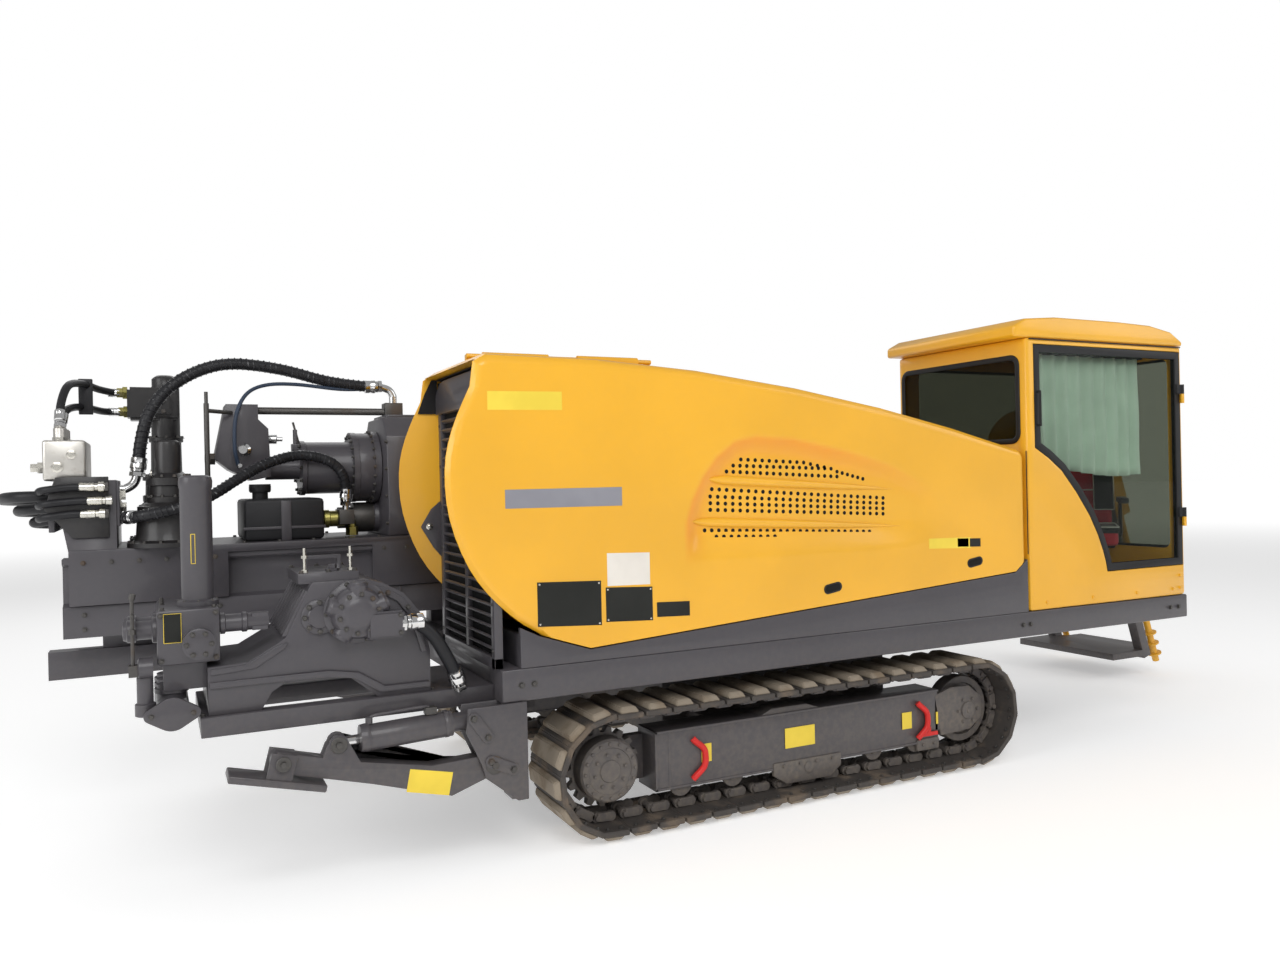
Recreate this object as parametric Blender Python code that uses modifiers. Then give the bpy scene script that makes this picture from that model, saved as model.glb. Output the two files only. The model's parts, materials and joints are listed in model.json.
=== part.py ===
"""Tracked horizontal drilling rig, built as separate named sub-parts.

Metres, +Z up. The origin is at ground level under the middle of the machine's
length and width. +X is the drilling end, beside the cab. -Y is the service lane
with the pump, the engine hood and the cab, and +Y is the lane of the drill mast.
"""
import math

import bmesh
import bpy
from mathutils import Matrix, Vector

# Overall sizes
HALF_LENGTH = 4.05
WIDTH = 2.25
GAP = 0.0004
RUN_GAP = 0.006

# Tracks
SHOE_WIDTH = 0.40
SHOE_COUNT = 44
SHOE_PLATE = 0.030
PAD_HEIGHT = 0.028
CHAIN_DEPTH = 0.060
CHAIN_WIDTH = 0.15
TRACK_RADIUS = 0.31
DRIVE_X = -1.45
IDLER_X = 0.825
TRACK_Y = (WIDTH - SHOE_WIDTH) / 2
ROLLER_RADIUS = 0.062
ROLLER_COUNT = 6
ROLLER_SPAN = (-1.05, 0.45)
FRAME_Y = (TRACK_Y - 0.095, TRACK_Y + 0.095)
FRAME_Z = (0.165, 0.455)
FRAME_X = (-1.19, 0.60)
YOKE = 0.03
HUB_RADIUS = 0.150
TOOTH_COUNT = 17
TOOTH_HEIGHT = 0.026
IDLER_WIDTH = 0.09
AXLE_RADIUS = 0.035

# Chassis
DECK_Z = (0.705, 0.850)
DECK_X = (-1.989, 2.690)
LANE_Y = -1.095
RAIL = 0.14
DECK_PLATE = 0.015
CRADLE_Y = (0.22, 0.78)
CROSS_MEMBERS_X = (-1.989, -1.15, 0.35, 1.20, 2.55)
BODY_X = (-0.95, 0.55)
BODY_HALF_WIDTH = 0.62
BODY_Z = (0.32, DECK_Z[0] - GAP)
CROSS_BEAMS_X = (-0.80, 0.15)
CROSS_BEAM = 0.26
CROSS_BEAM_Z = (0.20, 0.44)

# Engine hood, side outline
HOOD_Y = (LANE_Y, -0.15)
HOOD_SKIN = 0.03
HOOD_TOP = ((-2.031, 2.257), (-1.483, 2.250), (-0.950, 2.212), (-0.358, 2.138),
            (0.200, 2.043), (0.700, 1.936), (1.249, 1.800))
HOOD_NOSE = ((-1.993, 1.134), (-2.125, 1.305), (-2.208, 1.526), (-2.225, 1.742),
             (-2.191, 1.914), (-2.106, 2.110))
HOOD_LOW = ((1.249, 1.168), (1.149, 1.095), (-1.561, 0.911), (-1.808, 0.993))
HOOD_EDGE = 0.05
HOOD_CURVE_STEPS = 3
HOOD_TRIM = 0.15
SKIRT_FRONT = -1.90
HOOD_MID = (HOOD_Y[0] + HOOD_Y[1]) / 2
HINGE_Z = 2.300
HINGE_R = 0.012
HINGE_X = (-1.98, -0.98)
GRILLE_X = (-2.01, -1.97)
GRILLE_TOP = 2.205
GRILLE_PITCH = 0.088
VENT = ((-0.817, 1.843), (-0.968, 1.478), (-0.942, 1.403), (0.397, 1.590), (0.330, 1.700))
VENT_DEPTH = 0.012
ENGINE_X = (-0.95, 0.55)
ENGINE_Y = (-0.90, -0.35)
ENGINE_TOP = 1.62

# Cab
CAB_X = (1.265, 2.675)
CAB_Y = (LANE_Y, 0.0)
ROOF_TOP = 2.600
CAB_Z = (DECK_Z[1] + GAP, ROOF_TOP - 0.130)
CAB_WALL = 0.05
ROOF_EAVE = 0.10
DOOR_TOP = CAB_Z[1] - 0.040
DOOR_FOOT = 1.050
DOOR_CURVE = ((1.330, 1.820), (1.549, 1.681), (1.785, 1.402), (1.900, 1.180), (1.936, DOOR_FOOT))
DOOR_BORDER = 0.045
DOOR_THICK = 0.030
PANE = 0.008
HINGE_POST = (2.662, LANE_Y - 0.014)
HINGE_BARREL = 0.011
LEFT_WINDOW = ((-1.030, -0.045), (DOOR_TOP - 0.570, DOOR_TOP - 0.070))
RIGHT_WINDOW = ((-1.030, -0.065), (1.150, DOOR_TOP - 0.030))
FAR_WINDOW = ((1.40, 2.58), (1.35, DOOR_TOP - 0.030))
DOOR_HINGES_Z = (1.30, DOOR_TOP - 0.33)
HINGE_LENGTH = 0.06
SEAT_TOP = DOOR_TOP - 0.23
SEAT_Y = (-0.80, -0.32)

# Drill mast
MAST_Y = 0.50
MAST_X = (-3.75, 3.42)
MAST_Z = (0.98, 1.36)
BEAM = 0.14
MAST_HALF = 0.35
MAST_PIVOT = (2.85, 0.86)
SPINDLE_Z = 1.785
PIN_R = 0.030
PIN_SMALL = 0.018
MAST_STAYS_X = (-3.70, -2.70, -1.80, -0.95, 0.40, 1.60, 2.85, 3.30)
STAY = 0.12
SADDLE_X = -1.86
EAR = 0.035

# Mast lift cylinder
LIFT_BASE = (0.25, 0.775)
LIFT_EYE = (-0.95, 0.900)
LIFT_R = 0.052
LIFT_ROD_R = 0.030

# Carriage and power head
CARRIAGE_X = (-3.72, -1.90)
CARRIAGE_HALF = 0.37
CARRIAGE_PLATE = 0.04
MOTOR_Y = (0.23, 0.77)
MOTOR_X = -3.285
GEARBOX_X = (-2.20, -1.90)
GEARBOX_TOP = 2.06
MOTOR_Z = 1.50
SPINDLE_R = 0.062
SPINDLE_X = (GEARBOX_X[1] + GAP, -1.55)
HOSE_R = 0.028
MAIN_HOSE_R = 0.032
THIN_HOSE_R = 0.011
MOTOR_HOSE_R = 0.020
BULKHEAD_X = (-3.540, -3.515)
# Each feed drive's steps up from the carriage plate, as radius and height of its top
FEED_STEPS = {"near": ((0.190, 0.03), (0.145, 0.22), (0.100, 0.36), (0.060, 0.53)),
              "far": ((0.190, 0.03), (0.145, 0.22), (0.120, 0.36), (0.075, 0.91))}
FEED_HEAD = ((-0.185, 0.070), (-0.08, 0.08), (0.66, 0.84))
VALVE_TOP = 1.93
PORT_RISE = 0.06
PORT_PITCH = 0.12
ELBOW_TOP = 2.15
SIDE_PORT_X = (-2.44, -2.36)
SIDE_PORT_TOP = 1.55

# Pump on its platform
PLATFORM_X = (-3.20, DECK_X[0] - GAP)
PLATFORM_Y = (-0.975, -0.38)
PLATFORM_Z = (0.69, 0.77)
PUMP_Y = -0.70
CRANK_Y = (PLATFORM_Y[0] + 0.03, PLATFORM_Y[1] - 0.03)
CRANK_X = (-3.17, -2.27)
CRANK_TOP = 1.28
FLANK = ((-2.870, 1.060), (-2.770, 1.265))
FLANK_FINS = 8
FIN = 0.010
FLUID_X = (-3.35, -3.12)
FLUID_Z = (0.985, 1.205)
BOTTLE = (-3.195, PUMP_Y - 0.10)
BOTTLE_TOP = 1.74
DRIVE_AT = (-2.587, 1.146)
DRIVE_R = 0.105

# Stabiliser legs
LEG_Y = (0.985, 1.105)
LEG_PLATE = 0.014
LEG_PIVOT = (-2.035, 0.445)
LEG_FOOT = (-2.909, 0.582)
LEG_LUG = (-2.689, 0.620)
LEG_HEAD = (-2.110, 0.644)
LEG_BARREL_R = 0.040
LEG_PIN = 0.026
FOOT_PIN = 0.020
LEG_ROD_R = 0.022
FOOT_TILT = math.radians(14.4)
LEG_JACKET = (0.10, 0.465, 0.055)

# Drill end
BREAKOUT_X = (2.96, 3.20)
VISE_X = (3.22, 3.42)
VISE_BORE = 0.115
SLEEVE_R = 0.165
BREAKOUT_R = 0.39
ANCHOR_Y = (0.075, 0.925)
ANCHOR_FOOT = (3.985, 0.10)
ANCHOR_LEAN = math.radians(18.4)
ANCHOR_LENGTH = 1.75
GUIDE = 0.08

HELPERS = "construction_helpers"


def clear_scene():
    """Removes whatever the start-up file holds."""
    for obj in list(bpy.data.objects):
        bpy.data.objects.remove(obj)


def collection(name):
    found = bpy.data.collections.get(name) or bpy.data.collections.new(name)
    if name not in bpy.context.scene.collection.children:
        bpy.context.scene.collection.children.link(found)
    return found


def material(name, colour, roughness=0.5, metallic=0.0):
    found = bpy.data.materials.get(name)
    if found:
        return found
    found = bpy.data.materials.new(name)
    found.use_nodes = True
    shader = found.node_tree.nodes["Principled BSDF"]
    shader.inputs["Base Color"].default_value = (*colour, 1.0)
    shader.inputs["Roughness"].default_value = roughness
    shader.inputs["Metallic"].default_value = metallic
    return found


def yellow():
    return material("rig_yellow", (0.87, 0.48, 0.03), 0.35)


def grey():
    return material("frame_grey", (0.085, 0.082, 0.09), 0.5)


def dark():
    return material("track_steel", (0.05, 0.045, 0.042), 0.7, 0.4)


def black():
    return material("black_rubber", (0.015, 0.015, 0.017), 0.6)


def steel():
    return material("bright_steel", (0.6, 0.6, 0.6), 0.3, 1.0)


def glass():
    return material("tinted_glass", (0.08, 0.1, 0.09), 0.05)


def red():
    return material("seat_red", (0.35, 0.02, 0.03), 0.7)


def add(name, mesh, surface=None):
    """Links a mesh as an object of the rig."""
    obj = bpy.data.objects.new(name, mesh)
    collection("drilling_rig").objects.link(obj)
    if surface:
        mesh.materials.clear()
        mesh.materials.append(surface)
    return obj


def as_helper(obj):
    """Turns an object into a cutter or joining shape that isn't a part."""
    for holder in list(obj.users_collection):
        holder.objects.unlink(obj)
    collection(HELPERS).objects.link(obj)
    obj.hide_render = True
    obj.display_type = "WIRE"
    return obj


def boolean(obj, other, operation):
    step = obj.modifiers.new(operation.lower(), "BOOLEAN")
    step.operation = operation
    step.object = as_helper(other)
    step.solver = "EXACT"
    return obj


def fuse(obj, *others):
    """Joins other shapes to obj as one welded body."""
    for other in others:
        boolean(obj, other, "UNION")
    return obj


def cut(obj, *others):
    for other in others:
        boolean(obj, other, "DIFFERENCE")
    return obj


def bake(obj):
    """Applies the modifiers of obj to its own mesh."""
    graph = bpy.context.evaluated_depsgraph_get()
    graph.update()
    mesh = bpy.data.meshes.new_from_object(obj.evaluated_get(graph))
    obj.modifiers.clear()
    obj.data = mesh
    return obj


def box(name, low, high, surface=None, bevel=0.0, segments=2):
    """A block between two corners."""
    shape = bmesh.new()
    bmesh.ops.create_cube(shape, size=1.0)
    size = Vector(high) - Vector(low)
    bmesh.ops.scale(shape, vec=size, verts=shape.verts)
    bmesh.ops.translate(shape, vec=(Vector(low) + Vector(high)) / 2, verts=shape.verts)
    mesh = bpy.data.meshes.new(name)
    shape.to_mesh(mesh)
    shape.free()
    obj = add(name, mesh, surface)
    if bevel:
        edge = obj.modifiers.new("rounded", "BEVEL")
        edge.width = bevel
        edge.segments = segments
    return obj


def rod(name, start, end, radius, surface=None, sides=16, end_radius=None):
    """A round bar or cone between two points."""
    start, end = Vector(start), Vector(end)
    shape = bmesh.new()
    bmesh.ops.create_cone(
        shape, cap_ends=True, segments=sides, radius1=radius,
        radius2=radius if end_radius is None else end_radius,
        depth=(end - start).length)
    turn = (end - start).to_track_quat("Z", "Y").to_matrix().to_4x4()
    bmesh.ops.transform(
        shape, matrix=Matrix.Translation((start + end) / 2) @ turn, verts=shape.verts)
    mesh = bpy.data.meshes.new(name)
    shape.to_mesh(mesh)
    shape.free()
    obj = add(name, mesh, surface)
    obj.data.shade_smooth()
    obj.data.set_sharp_from_angle(angle=math.radians(40))
    return obj


# Where local x, y and z of a flat outline go, for a prism along each axis
PRISM_TURN = {
    "X": Matrix(((0, 0, 1, 0), (1, 0, 0, 0), (0, 1, 0, 0), (0, 0, 0, 1))),
    "Y": Matrix(((1, 0, 0, 0), (0, 0, -1, 0), (0, 1, 0, 0), (0, 0, 0, 1))),
    "Z": Matrix.Identity(4),
}


def prism(name, loops, axis, span, surface=None):
    """A flat outline, with holes if there are more loops, raised along an axis.

    The outline's points are (y, z) along X, (x, z) along Y and (x, y) along Z.
    """
    curve = bpy.data.curves.new(name, "CURVE")
    curve.dimensions = "2D"
    curve.fill_mode = "BOTH"
    curve.extrude = (span[1] - span[0]) / 2
    for loop in loops:
        spline = curve.splines.new("POLY")
        spline.points.add(len(loop) - 1)
        for point, (u, v) in zip(spline.points, loop):
            point.co = (u, v, 0, 1)
        spline.use_cyclic_u = True
    holder = bpy.data.objects.new(name + "_outline", curve)
    collection("drilling_rig").objects.link(holder)
    graph = bpy.context.evaluated_depsgraph_get()
    graph.update()
    mesh = bpy.data.meshes.new_from_object(holder.evaluated_get(graph))
    bpy.data.objects.remove(holder)
    shape = bmesh.new()
    shape.from_mesh(mesh)
    bmesh.ops.remove_doubles(shape, verts=shape.verts, dist=0.00001)
    if len(loops) == 1:
        bmesh.ops.dissolve_limit(shape, angle_limit=0.001, verts=shape.verts, edges=shape.edges)
    middle = (span[0] + span[1]) / 2
    offset = {"X": (middle, 0, 0), "Y": (0, middle, 0), "Z": (0, 0, middle)}[axis]
    bmesh.ops.transform(
        shape, matrix=Matrix.Translation(offset) @ PRISM_TURN[axis], verts=shape.verts)
    bmesh.ops.recalc_face_normals(shape, faces=shape.faces)
    shape.to_mesh(mesh)
    shape.free()
    return add(name, mesh, surface)


def pipe(name, points, radius, surface=None, smooth=True, sides=2, steps=4):
    """A bent round bar or hose through some points."""
    curve = bpy.data.curves.new(name, "CURVE")
    curve.dimensions = "3D"
    curve.bevel_depth = radius
    curve.bevel_resolution = sides
    curve.use_fill_caps = True
    spline = curve.splines.new("POLY")
    path = smooth_path(points, steps) if smooth else [Vector(p) for p in points]
    spline.points.add(len(path) - 1)
    for point, place in zip(spline.points, path):
        point.co = (*place, 1)
    holder = bpy.data.objects.new(name + "_line", curve)
    collection("drilling_rig").objects.link(holder)
    graph = bpy.context.evaluated_depsgraph_get()
    graph.update()
    mesh = bpy.data.meshes.new_from_object(holder.evaluated_get(graph))
    bpy.data.objects.remove(holder)
    shape = bmesh.new()
    shape.from_mesh(mesh)
    bmesh.ops.remove_doubles(shape, verts=shape.verts, dist=0.00001)
    bmesh.ops.recalc_face_normals(shape, faces=shape.faces)
    shape.to_mesh(mesh)
    shape.free()
    return add(name, mesh, surface)


def smooth_path(points, steps=4):
    """Points of a Catmull-Rom curve through the given points."""
    given = [Vector(p) for p in points]
    ends = [given[0] * 2 - given[1]] + given + [given[-1] * 2 - given[-2]]
    path = []
    for a, b, c, d in zip(ends, ends[1:], ends[2:], ends[3:]):
        for step in range(steps):
            t = step / steps
            path.append(0.5 * (2 * b + (c - a) * t + (2 * a - 5 * b + 4 * c - d) * t * t
                               + (3 * b - a - 3 * c + d) * t ** 3))
    return path + [given[-1]]


def rounded_path(points, steps):
    """Points of a smooth flat curve through the given points."""
    path = smooth_path([(x, 0.0, z) for x, z in points], steps)
    return [(point[0], point[2]) for point in path]


def arc(centre, radius, start, end, steps=8):
    """Points of an arc from start to end, in degrees."""
    return [(centre[0] + radius * math.cos(math.radians(start + (end - start) * i / steps)),
             centre[1] + radius * math.sin(math.radians(start + (end - start) * i / steps)))
            for i in range(steps + 1)]


def rectangle(low, high):
    return [(low[0], low[1]), (high[0], low[1]), (high[0], high[1]), (low[0], high[1])]


def mirrored(side, y_near, y_far):
    """The span between two distances from the middle, on side -1 or 1."""
    return tuple(sorted((side * y_near, side * y_far)))


SIDES = (("near", -1), ("far", 1))


def inset(loop, distance):
    """The loop moved inwards by a distance, or outwards if it is negative."""
    points = [Vector(p) for p in loop]
    area = sum(a.x * b.y - b.x * a.y for a, b in zip(points, points[1:] + points[:1]))
    sign = 1 if area > 0 else -1
    moved = []
    for before, point, after in zip(points[-1:] + points, points, points[1:] + points[:1]):
        first = (point - before).normalized()
        second = (after - point).normalized()
        inward_a = Vector((-first.y, first.x)) * sign
        inward_b = Vector((-second.y, second.x)) * sign
        reach = distance / (1 + inward_a.dot(inward_b))
        moved.append(tuple(point + (inward_a + inward_b) * reach))
    return moved


def tube(name, start, end, radius, bore, surface, sides=24):
    """A round bar with a round hole through its length."""
    start, end = Vector(start), Vector(end)
    beyond = (end - start).normalized() * 0.01
    body = rod(name, start, end, radius, surface, sides)
    return cut(body, rod(name + "_bore", start - beyond, end + beyond, bore, sides=sides))


def hole_radius(radius, sides=16):
    """The radius of a faceted hole that clears a round bar."""
    return (radius + GAP) / math.cos(math.pi / sides)


def along(start, end, distance):
    """The point at a distance from start on the line to end, as (x, z)."""
    start, end = Vector(start), Vector(end)
    return tuple(start + (end - start).normalized() * distance)


def at(point, y):
    """A point of the side view at a place across the machine."""
    return (point[0], y, point[1])


def pivot(name, joint, place, children):
    """An empty on a joint's axis that carries the pieces that turn with it."""
    empty = bpy.data.objects.new(name + "_" + joint, None)
    collection("drilling_rig").objects.link(empty)
    empty.location = place
    for child in children:
        child.parent = empty
        child.matrix_parent_inverse = Matrix.Translation(-Vector(place))
    return empty


# Tracks

def loop_point(distance, radius):
    """A point of the track's loop, going over the top towards the idler."""
    straight = IDLER_X - DRIVE_X
    bend = math.pi * TRACK_RADIUS
    distance %= 2 * (straight + bend)
    if distance < straight:
        return DRIVE_X + distance, TRACK_RADIUS + radius
    distance -= straight
    if distance < bend:
        angle = math.pi / 2 - distance / TRACK_RADIUS
        return IDLER_X + radius * math.cos(angle), TRACK_RADIUS + radius * math.sin(angle)
    distance -= bend
    if distance < straight:
        return IDLER_X - distance, TRACK_RADIUS - radius
    angle = -math.pi / 2 - (distance - straight) / TRACK_RADIUS
    return DRIVE_X + radius * math.cos(angle), TRACK_RADIUS + radius * math.sin(angle)


def stadium(radius, steps=12):
    """A smooth loop round the two end wheels."""
    return (arc((IDLER_X, TRACK_RADIUS), radius, -90, 90, steps)
            + arc((DRIVE_X, TRACK_RADIUS), radius, 90, 270, steps))


def make_track(name, side):
    """The shoes and chain of one side, as one closed loop."""
    pitch = 2 * (IDLER_X - DRIVE_X + math.pi * TRACK_RADIUS) / SHOE_COUNT
    base = TRACK_RADIUS - PAD_HEIGHT
    inner = base - SHOE_PLATE
    width = mirrored(side, TRACK_Y - SHOE_WIDTH / 2, TRACK_Y + SHOE_WIDTH / 2)
    band = prism(f"track_{name}", (stadium(base), stadium(inner)), "Y", width, dark())
    shape = ((-0.42, base - 0.006), (-0.28, TRACK_RADIUS), (0.28, TRACK_RADIUS), (0.42, base - 0.006))
    pads = prism("pads", [[loop_point((shoe + 0.5 + share) * pitch, radius) for share, radius in shape]
                          for shoe in range(SHOE_COUNT)], "Y", (width[0] + 0.001, width[1] - 0.001))
    chain = prism("chain", (stadium(inner + SHOE_PLATE / 2, 9), stadium(inner - CHAIN_DEPTH)), "Y",
                  mirrored(side, TRACK_Y - CHAIN_WIDTH / 2, TRACK_Y + CHAIN_WIDTH / 2))
    return fuse(band, pads, chain)


CHAIN_INSIDE = TRACK_RADIUS - PAD_HEIGHT - SHOE_PLATE - CHAIN_DEPTH
WHEEL_RADIUS = CHAIN_INSIDE * math.cos(math.pi / 24) - GAP


def make_track_frame(name, side):
    """The side beam with its rollers, its drive hub and the idler's axle."""
    y_in, y_out = FRAME_Y
    beam = box(f"track_frame_{name}", (FRAME_X[0], min(side * y_in, side * y_out), FRAME_Z[0]),
               (FRAME_X[1], max(side * y_in, side * y_out), FRAME_Z[1]), grey(), 0.02)
    axle = TRACK_RADIUS
    extra = []
    for low, high in ((y_in + 0.002, y_in + YOKE), (y_out - YOKE, y_out - 0.002)):
        span = mirrored(side, low, high)
        extra.append(prism("yoke", (((FRAME_X[1] - 0.1, axle - 0.10), (IDLER_X, axle - 0.06),
                                     (IDLER_X + 0.06, axle), (IDLER_X, axle + 0.06),
                                     (FRAME_X[1] - 0.1, axle + 0.10)),), "Y", span))
    span = mirrored(side, y_in + 0.002, y_in + 0.06)
    extra.append(prism("drive_plate", (((DRIVE_X, axle - 0.12), (FRAME_X[0] + 0.1, axle - 0.13),
                                        (FRAME_X[0] + 0.1, axle + 0.13), (DRIVE_X, axle + 0.12)),),
                       "Y", span))
    extra.append(rod("hub", (DRIVE_X, side * (y_in + 0.004), axle), (DRIVE_X, side * (y_out + 0.02), axle),
                     HUB_RADIUS, sides=24))
    extra.append(rod("idler_axle", (IDLER_X, side * (y_in + 0.01), axle),
                     (IDLER_X, side * (y_out - 0.01), axle), AXLE_RADIUS))
    extra.append(rod("idler", (IDLER_X, side * (TRACK_Y - IDLER_WIDTH / 2), axle),
                     (IDLER_X, side * (TRACK_Y + IDLER_WIDTH / 2), axle), WHEEL_RADIUS, sides=24))
    roller_z = TRACK_RADIUS - CHAIN_INSIDE + GAP + ROLLER_RADIUS
    for index in range(ROLLER_COUNT):
        share = index / (ROLLER_COUNT - 1)
        x = ROLLER_SPAN[0] + (ROLLER_SPAN[1] - ROLLER_SPAN[0]) * share
        extra.append(rod("roller", (x, side * (y_in + 0.02), roller_z),
                         (x, side * (y_out - 0.02), roller_z), ROLLER_RADIUS, sides=16))
    top_roller = (FRAME_Z[1] - 0.015 + TRACK_RADIUS + CHAIN_INSIDE - GAP) / 2
    radius = TRACK_RADIUS + CHAIN_INSIDE - GAP - top_roller
    extra.append(rod("top_roller", (-0.35, side * (y_in + 0.03), top_roller),
                     (-0.35, side * (y_out - 0.03), top_roller), radius, sides=16))
    return fuse(beam, *extra)


def make_sprocket(name, side):
    """The toothed drive ring round the hub."""
    tip = WHEEL_RADIUS
    outline = []
    for tooth in range(TOOTH_COUNT):
        for share, radius in ((0, tip - TOOTH_HEIGHT), (0.35, tip - TOOTH_HEIGHT),
                              (0.5, tip), (0.85, tip)):
            angle = 2 * math.pi * (tooth + share) / TOOTH_COUNT
            outline.append((DRIVE_X + radius * math.cos(angle),
                            TRACK_RADIUS + radius * math.sin(angle)))
    bore = arc((DRIVE_X, TRACK_RADIUS), hole_radius(HUB_RADIUS, 36), 0, 350, 35)
    return prism(f"sprocket_{name}", (outline, bore), "Y",
                 mirrored(side, TRACK_Y - 0.02, TRACK_Y + 0.02), steel())


# Chassis

def make_car_body():
    """The block between the tracks, with the beams out to the track frames."""
    half = BODY_HALF_WIDTH
    body = box("car_body", (BODY_X[0], -half, BODY_Z[0]), (BODY_X[1], half, BODY_Z[1]), grey())
    reach = FRAME_Y[0] - GAP
    beams = [box("cross_beam", (x, -reach, CROSS_BEAM_Z[0]), (x + CROSS_BEAM, reach, CROSS_BEAM_Z[1]))
             for x in CROSS_BEAMS_X]
    return fuse(body, *beams)


def make_deck():
    """The rails under hood and cab, the mast's cradle and its pivot ears."""
    low, high = DECK_Z
    front, rear = DECK_X
    deck = box("deck_frame", (front, LANE_Y, low), (rear, LANE_Y + RAIL, high), grey(), 0.008)
    lane_in = HOOD_Y[1]
    extra = [box("inner_rail", (front, lane_in, low), (rear, lane_in + RAIL, high)),
             box("floor", (front, LANE_Y + 0.01, high - DECK_PLATE), (rear, lane_in + 0.01, high))]
    for y in (CRADLE_Y[0], CRADLE_Y[1] - RAIL):
        extra.append(box("cradle_rail", (front, y, low), (rear, y + RAIL, high)))
    for x in CROSS_MEMBERS_X:
        far = LEG_Y[1] if x == front else CRADLE_Y[1]
        base = low if x == front else low + 0.01
        extra.append(box("cross_member", (x, LANE_Y + 0.01, base), (x + RAIL, far, high - 0.002)))
    x, z = MAST_PIVOT
    for y, inner in ((CRADLE_Y[0], 1), (CRADLE_Y[1] - EAR, -1)):
        extra.append(prism("pivot_ear", ([(rear - 0.2, low), (rear - 0.02, low), (x + 0.075, z - 0.04)]
                                         + arc((x, z), 0.075, 0, 140, 8)
                                         + [(rear - 0.2, high + 0.01)],), "Y", (y, y + EAR)))
    extra.append(rod("pivot_pin", (x, CRADLE_Y[0] + 0.01, z), (x, CRADLE_Y[1] - 0.01, z), PIN_R))
    for y in (CRADLE_Y[0], CRADLE_Y[1] - RAIL):
        extra.append(box("saddle", (SADDLE_X, y + 0.01, high - 0.01),
                         (SADDLE_X + 0.12, y + RAIL - 0.01, MAST_Z[0] - RUN_GAP)))
    extra += clevis(LIFT_BASE, (0.42, high - 0.02), MAST_Y, 0.04, 0.045)
    return fuse(deck, *extra)


def clevis(pin, back, y, half_gap, radius, plate=0.022, with_pin=True):
    """Two ears from a point behind to a pin, on either side of a place across."""
    shapes = []
    lean = math.degrees(math.atan2(pin[1] - back[1], pin[0] - back[0]))
    outline = arc(pin, radius, lean - 90, lean + 90, 10)
    sideways = Vector((-math.sin(math.radians(lean)), math.cos(math.radians(lean)))) * radius
    outline += [tuple(Vector(back) + sideways), tuple(Vector(back) - sideways)]
    for low, high in ((y - half_gap - plate, y - half_gap), (y + half_gap, y + half_gap + plate)):
        shapes.append(prism("ear", (outline,), "Y", (low, high)))
    if with_pin:
        shapes.append(rod("pin", (pin[0], y - half_gap - plate + 0.003, pin[1]),
                          (pin[0], y + half_gap + plate - 0.003, pin[1]), PIN_SMALL))
    return shapes


def make_barrel(name, head, eye, y, length, radius, bore, eye_radius, half_width, pin, start, jacket=None):
    """A cylinder's barrel with its eye on the head's pin, and a wider jacket where it has one."""
    barrel = rod(name, at(along(head, eye, start), y), at(along(head, eye, length), y), radius, grey(), 20)
    if jacket:
        first, last, wide = jacket
        fuse(barrel, rod("jacket", at(along(head, eye, first), y), at(along(head, eye, last), y), wide, sides=20))
    fuse(barrel, rod("neck", at(head, y), at(along(head, eye, start + 0.02), y), half_width * 0.9),
         rod("eye", (head[0], y - half_width, head[1]), (head[0], y + half_width, head[1]),
                     eye_radius))
    cut(barrel, rod("pin_hole", (head[0], y - 0.2, head[1]), (head[0], y + 0.2, head[1]),
                    hole_radius(pin)))
    return cut(barrel, rod("rod_bore", at(along(head, eye, length * 0.35), y),
                           at(along(head, eye, length + 0.05), y), hole_radius(bore)))


def make_rod(name, head, eye, y, start, radius, eye_radius, half_width):
    """A cylinder's rod, out to the eye at its end."""
    bar = rod(name, at(along(head, eye, start), y), at(eye, y), radius, steel(), 16)
    return fuse(bar, rod("eye", (eye[0], y - half_width, eye[1]), (eye[0], y + half_width, eye[1]),
                         eye_radius))


def make_lift_cylinder():
    barrel = make_barrel("mast_lift_barrel", LIFT_BASE, LIFT_EYE, MAST_Y, 0.95, LIFT_R,
                         LIFT_ROD_R, 0.042, 0.036, PIN_SMALL, 0.06)
    bar = make_rod("mast_lift_rod", LIFT_BASE, LIFT_EYE, MAST_Y, 0.42, LIFT_ROD_R, 0.034, 0.034)
    place = (LIFT_BASE[0], MAST_Y, LIFT_BASE[1])
    hinge = pivot("mast_lift", "swing", place, [barrel])
    slide = pivot("mast_lift", "stroke", place, [bar])
    slide.parent = hinge
    slide.matrix_parent_inverse = Matrix.Translation(-Vector(place))


def make_legs():
    """A stabiliser leg on each front corner, with its cylinder and foot."""
    for name, side in SIDES:
        make_leg(name, side)


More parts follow.
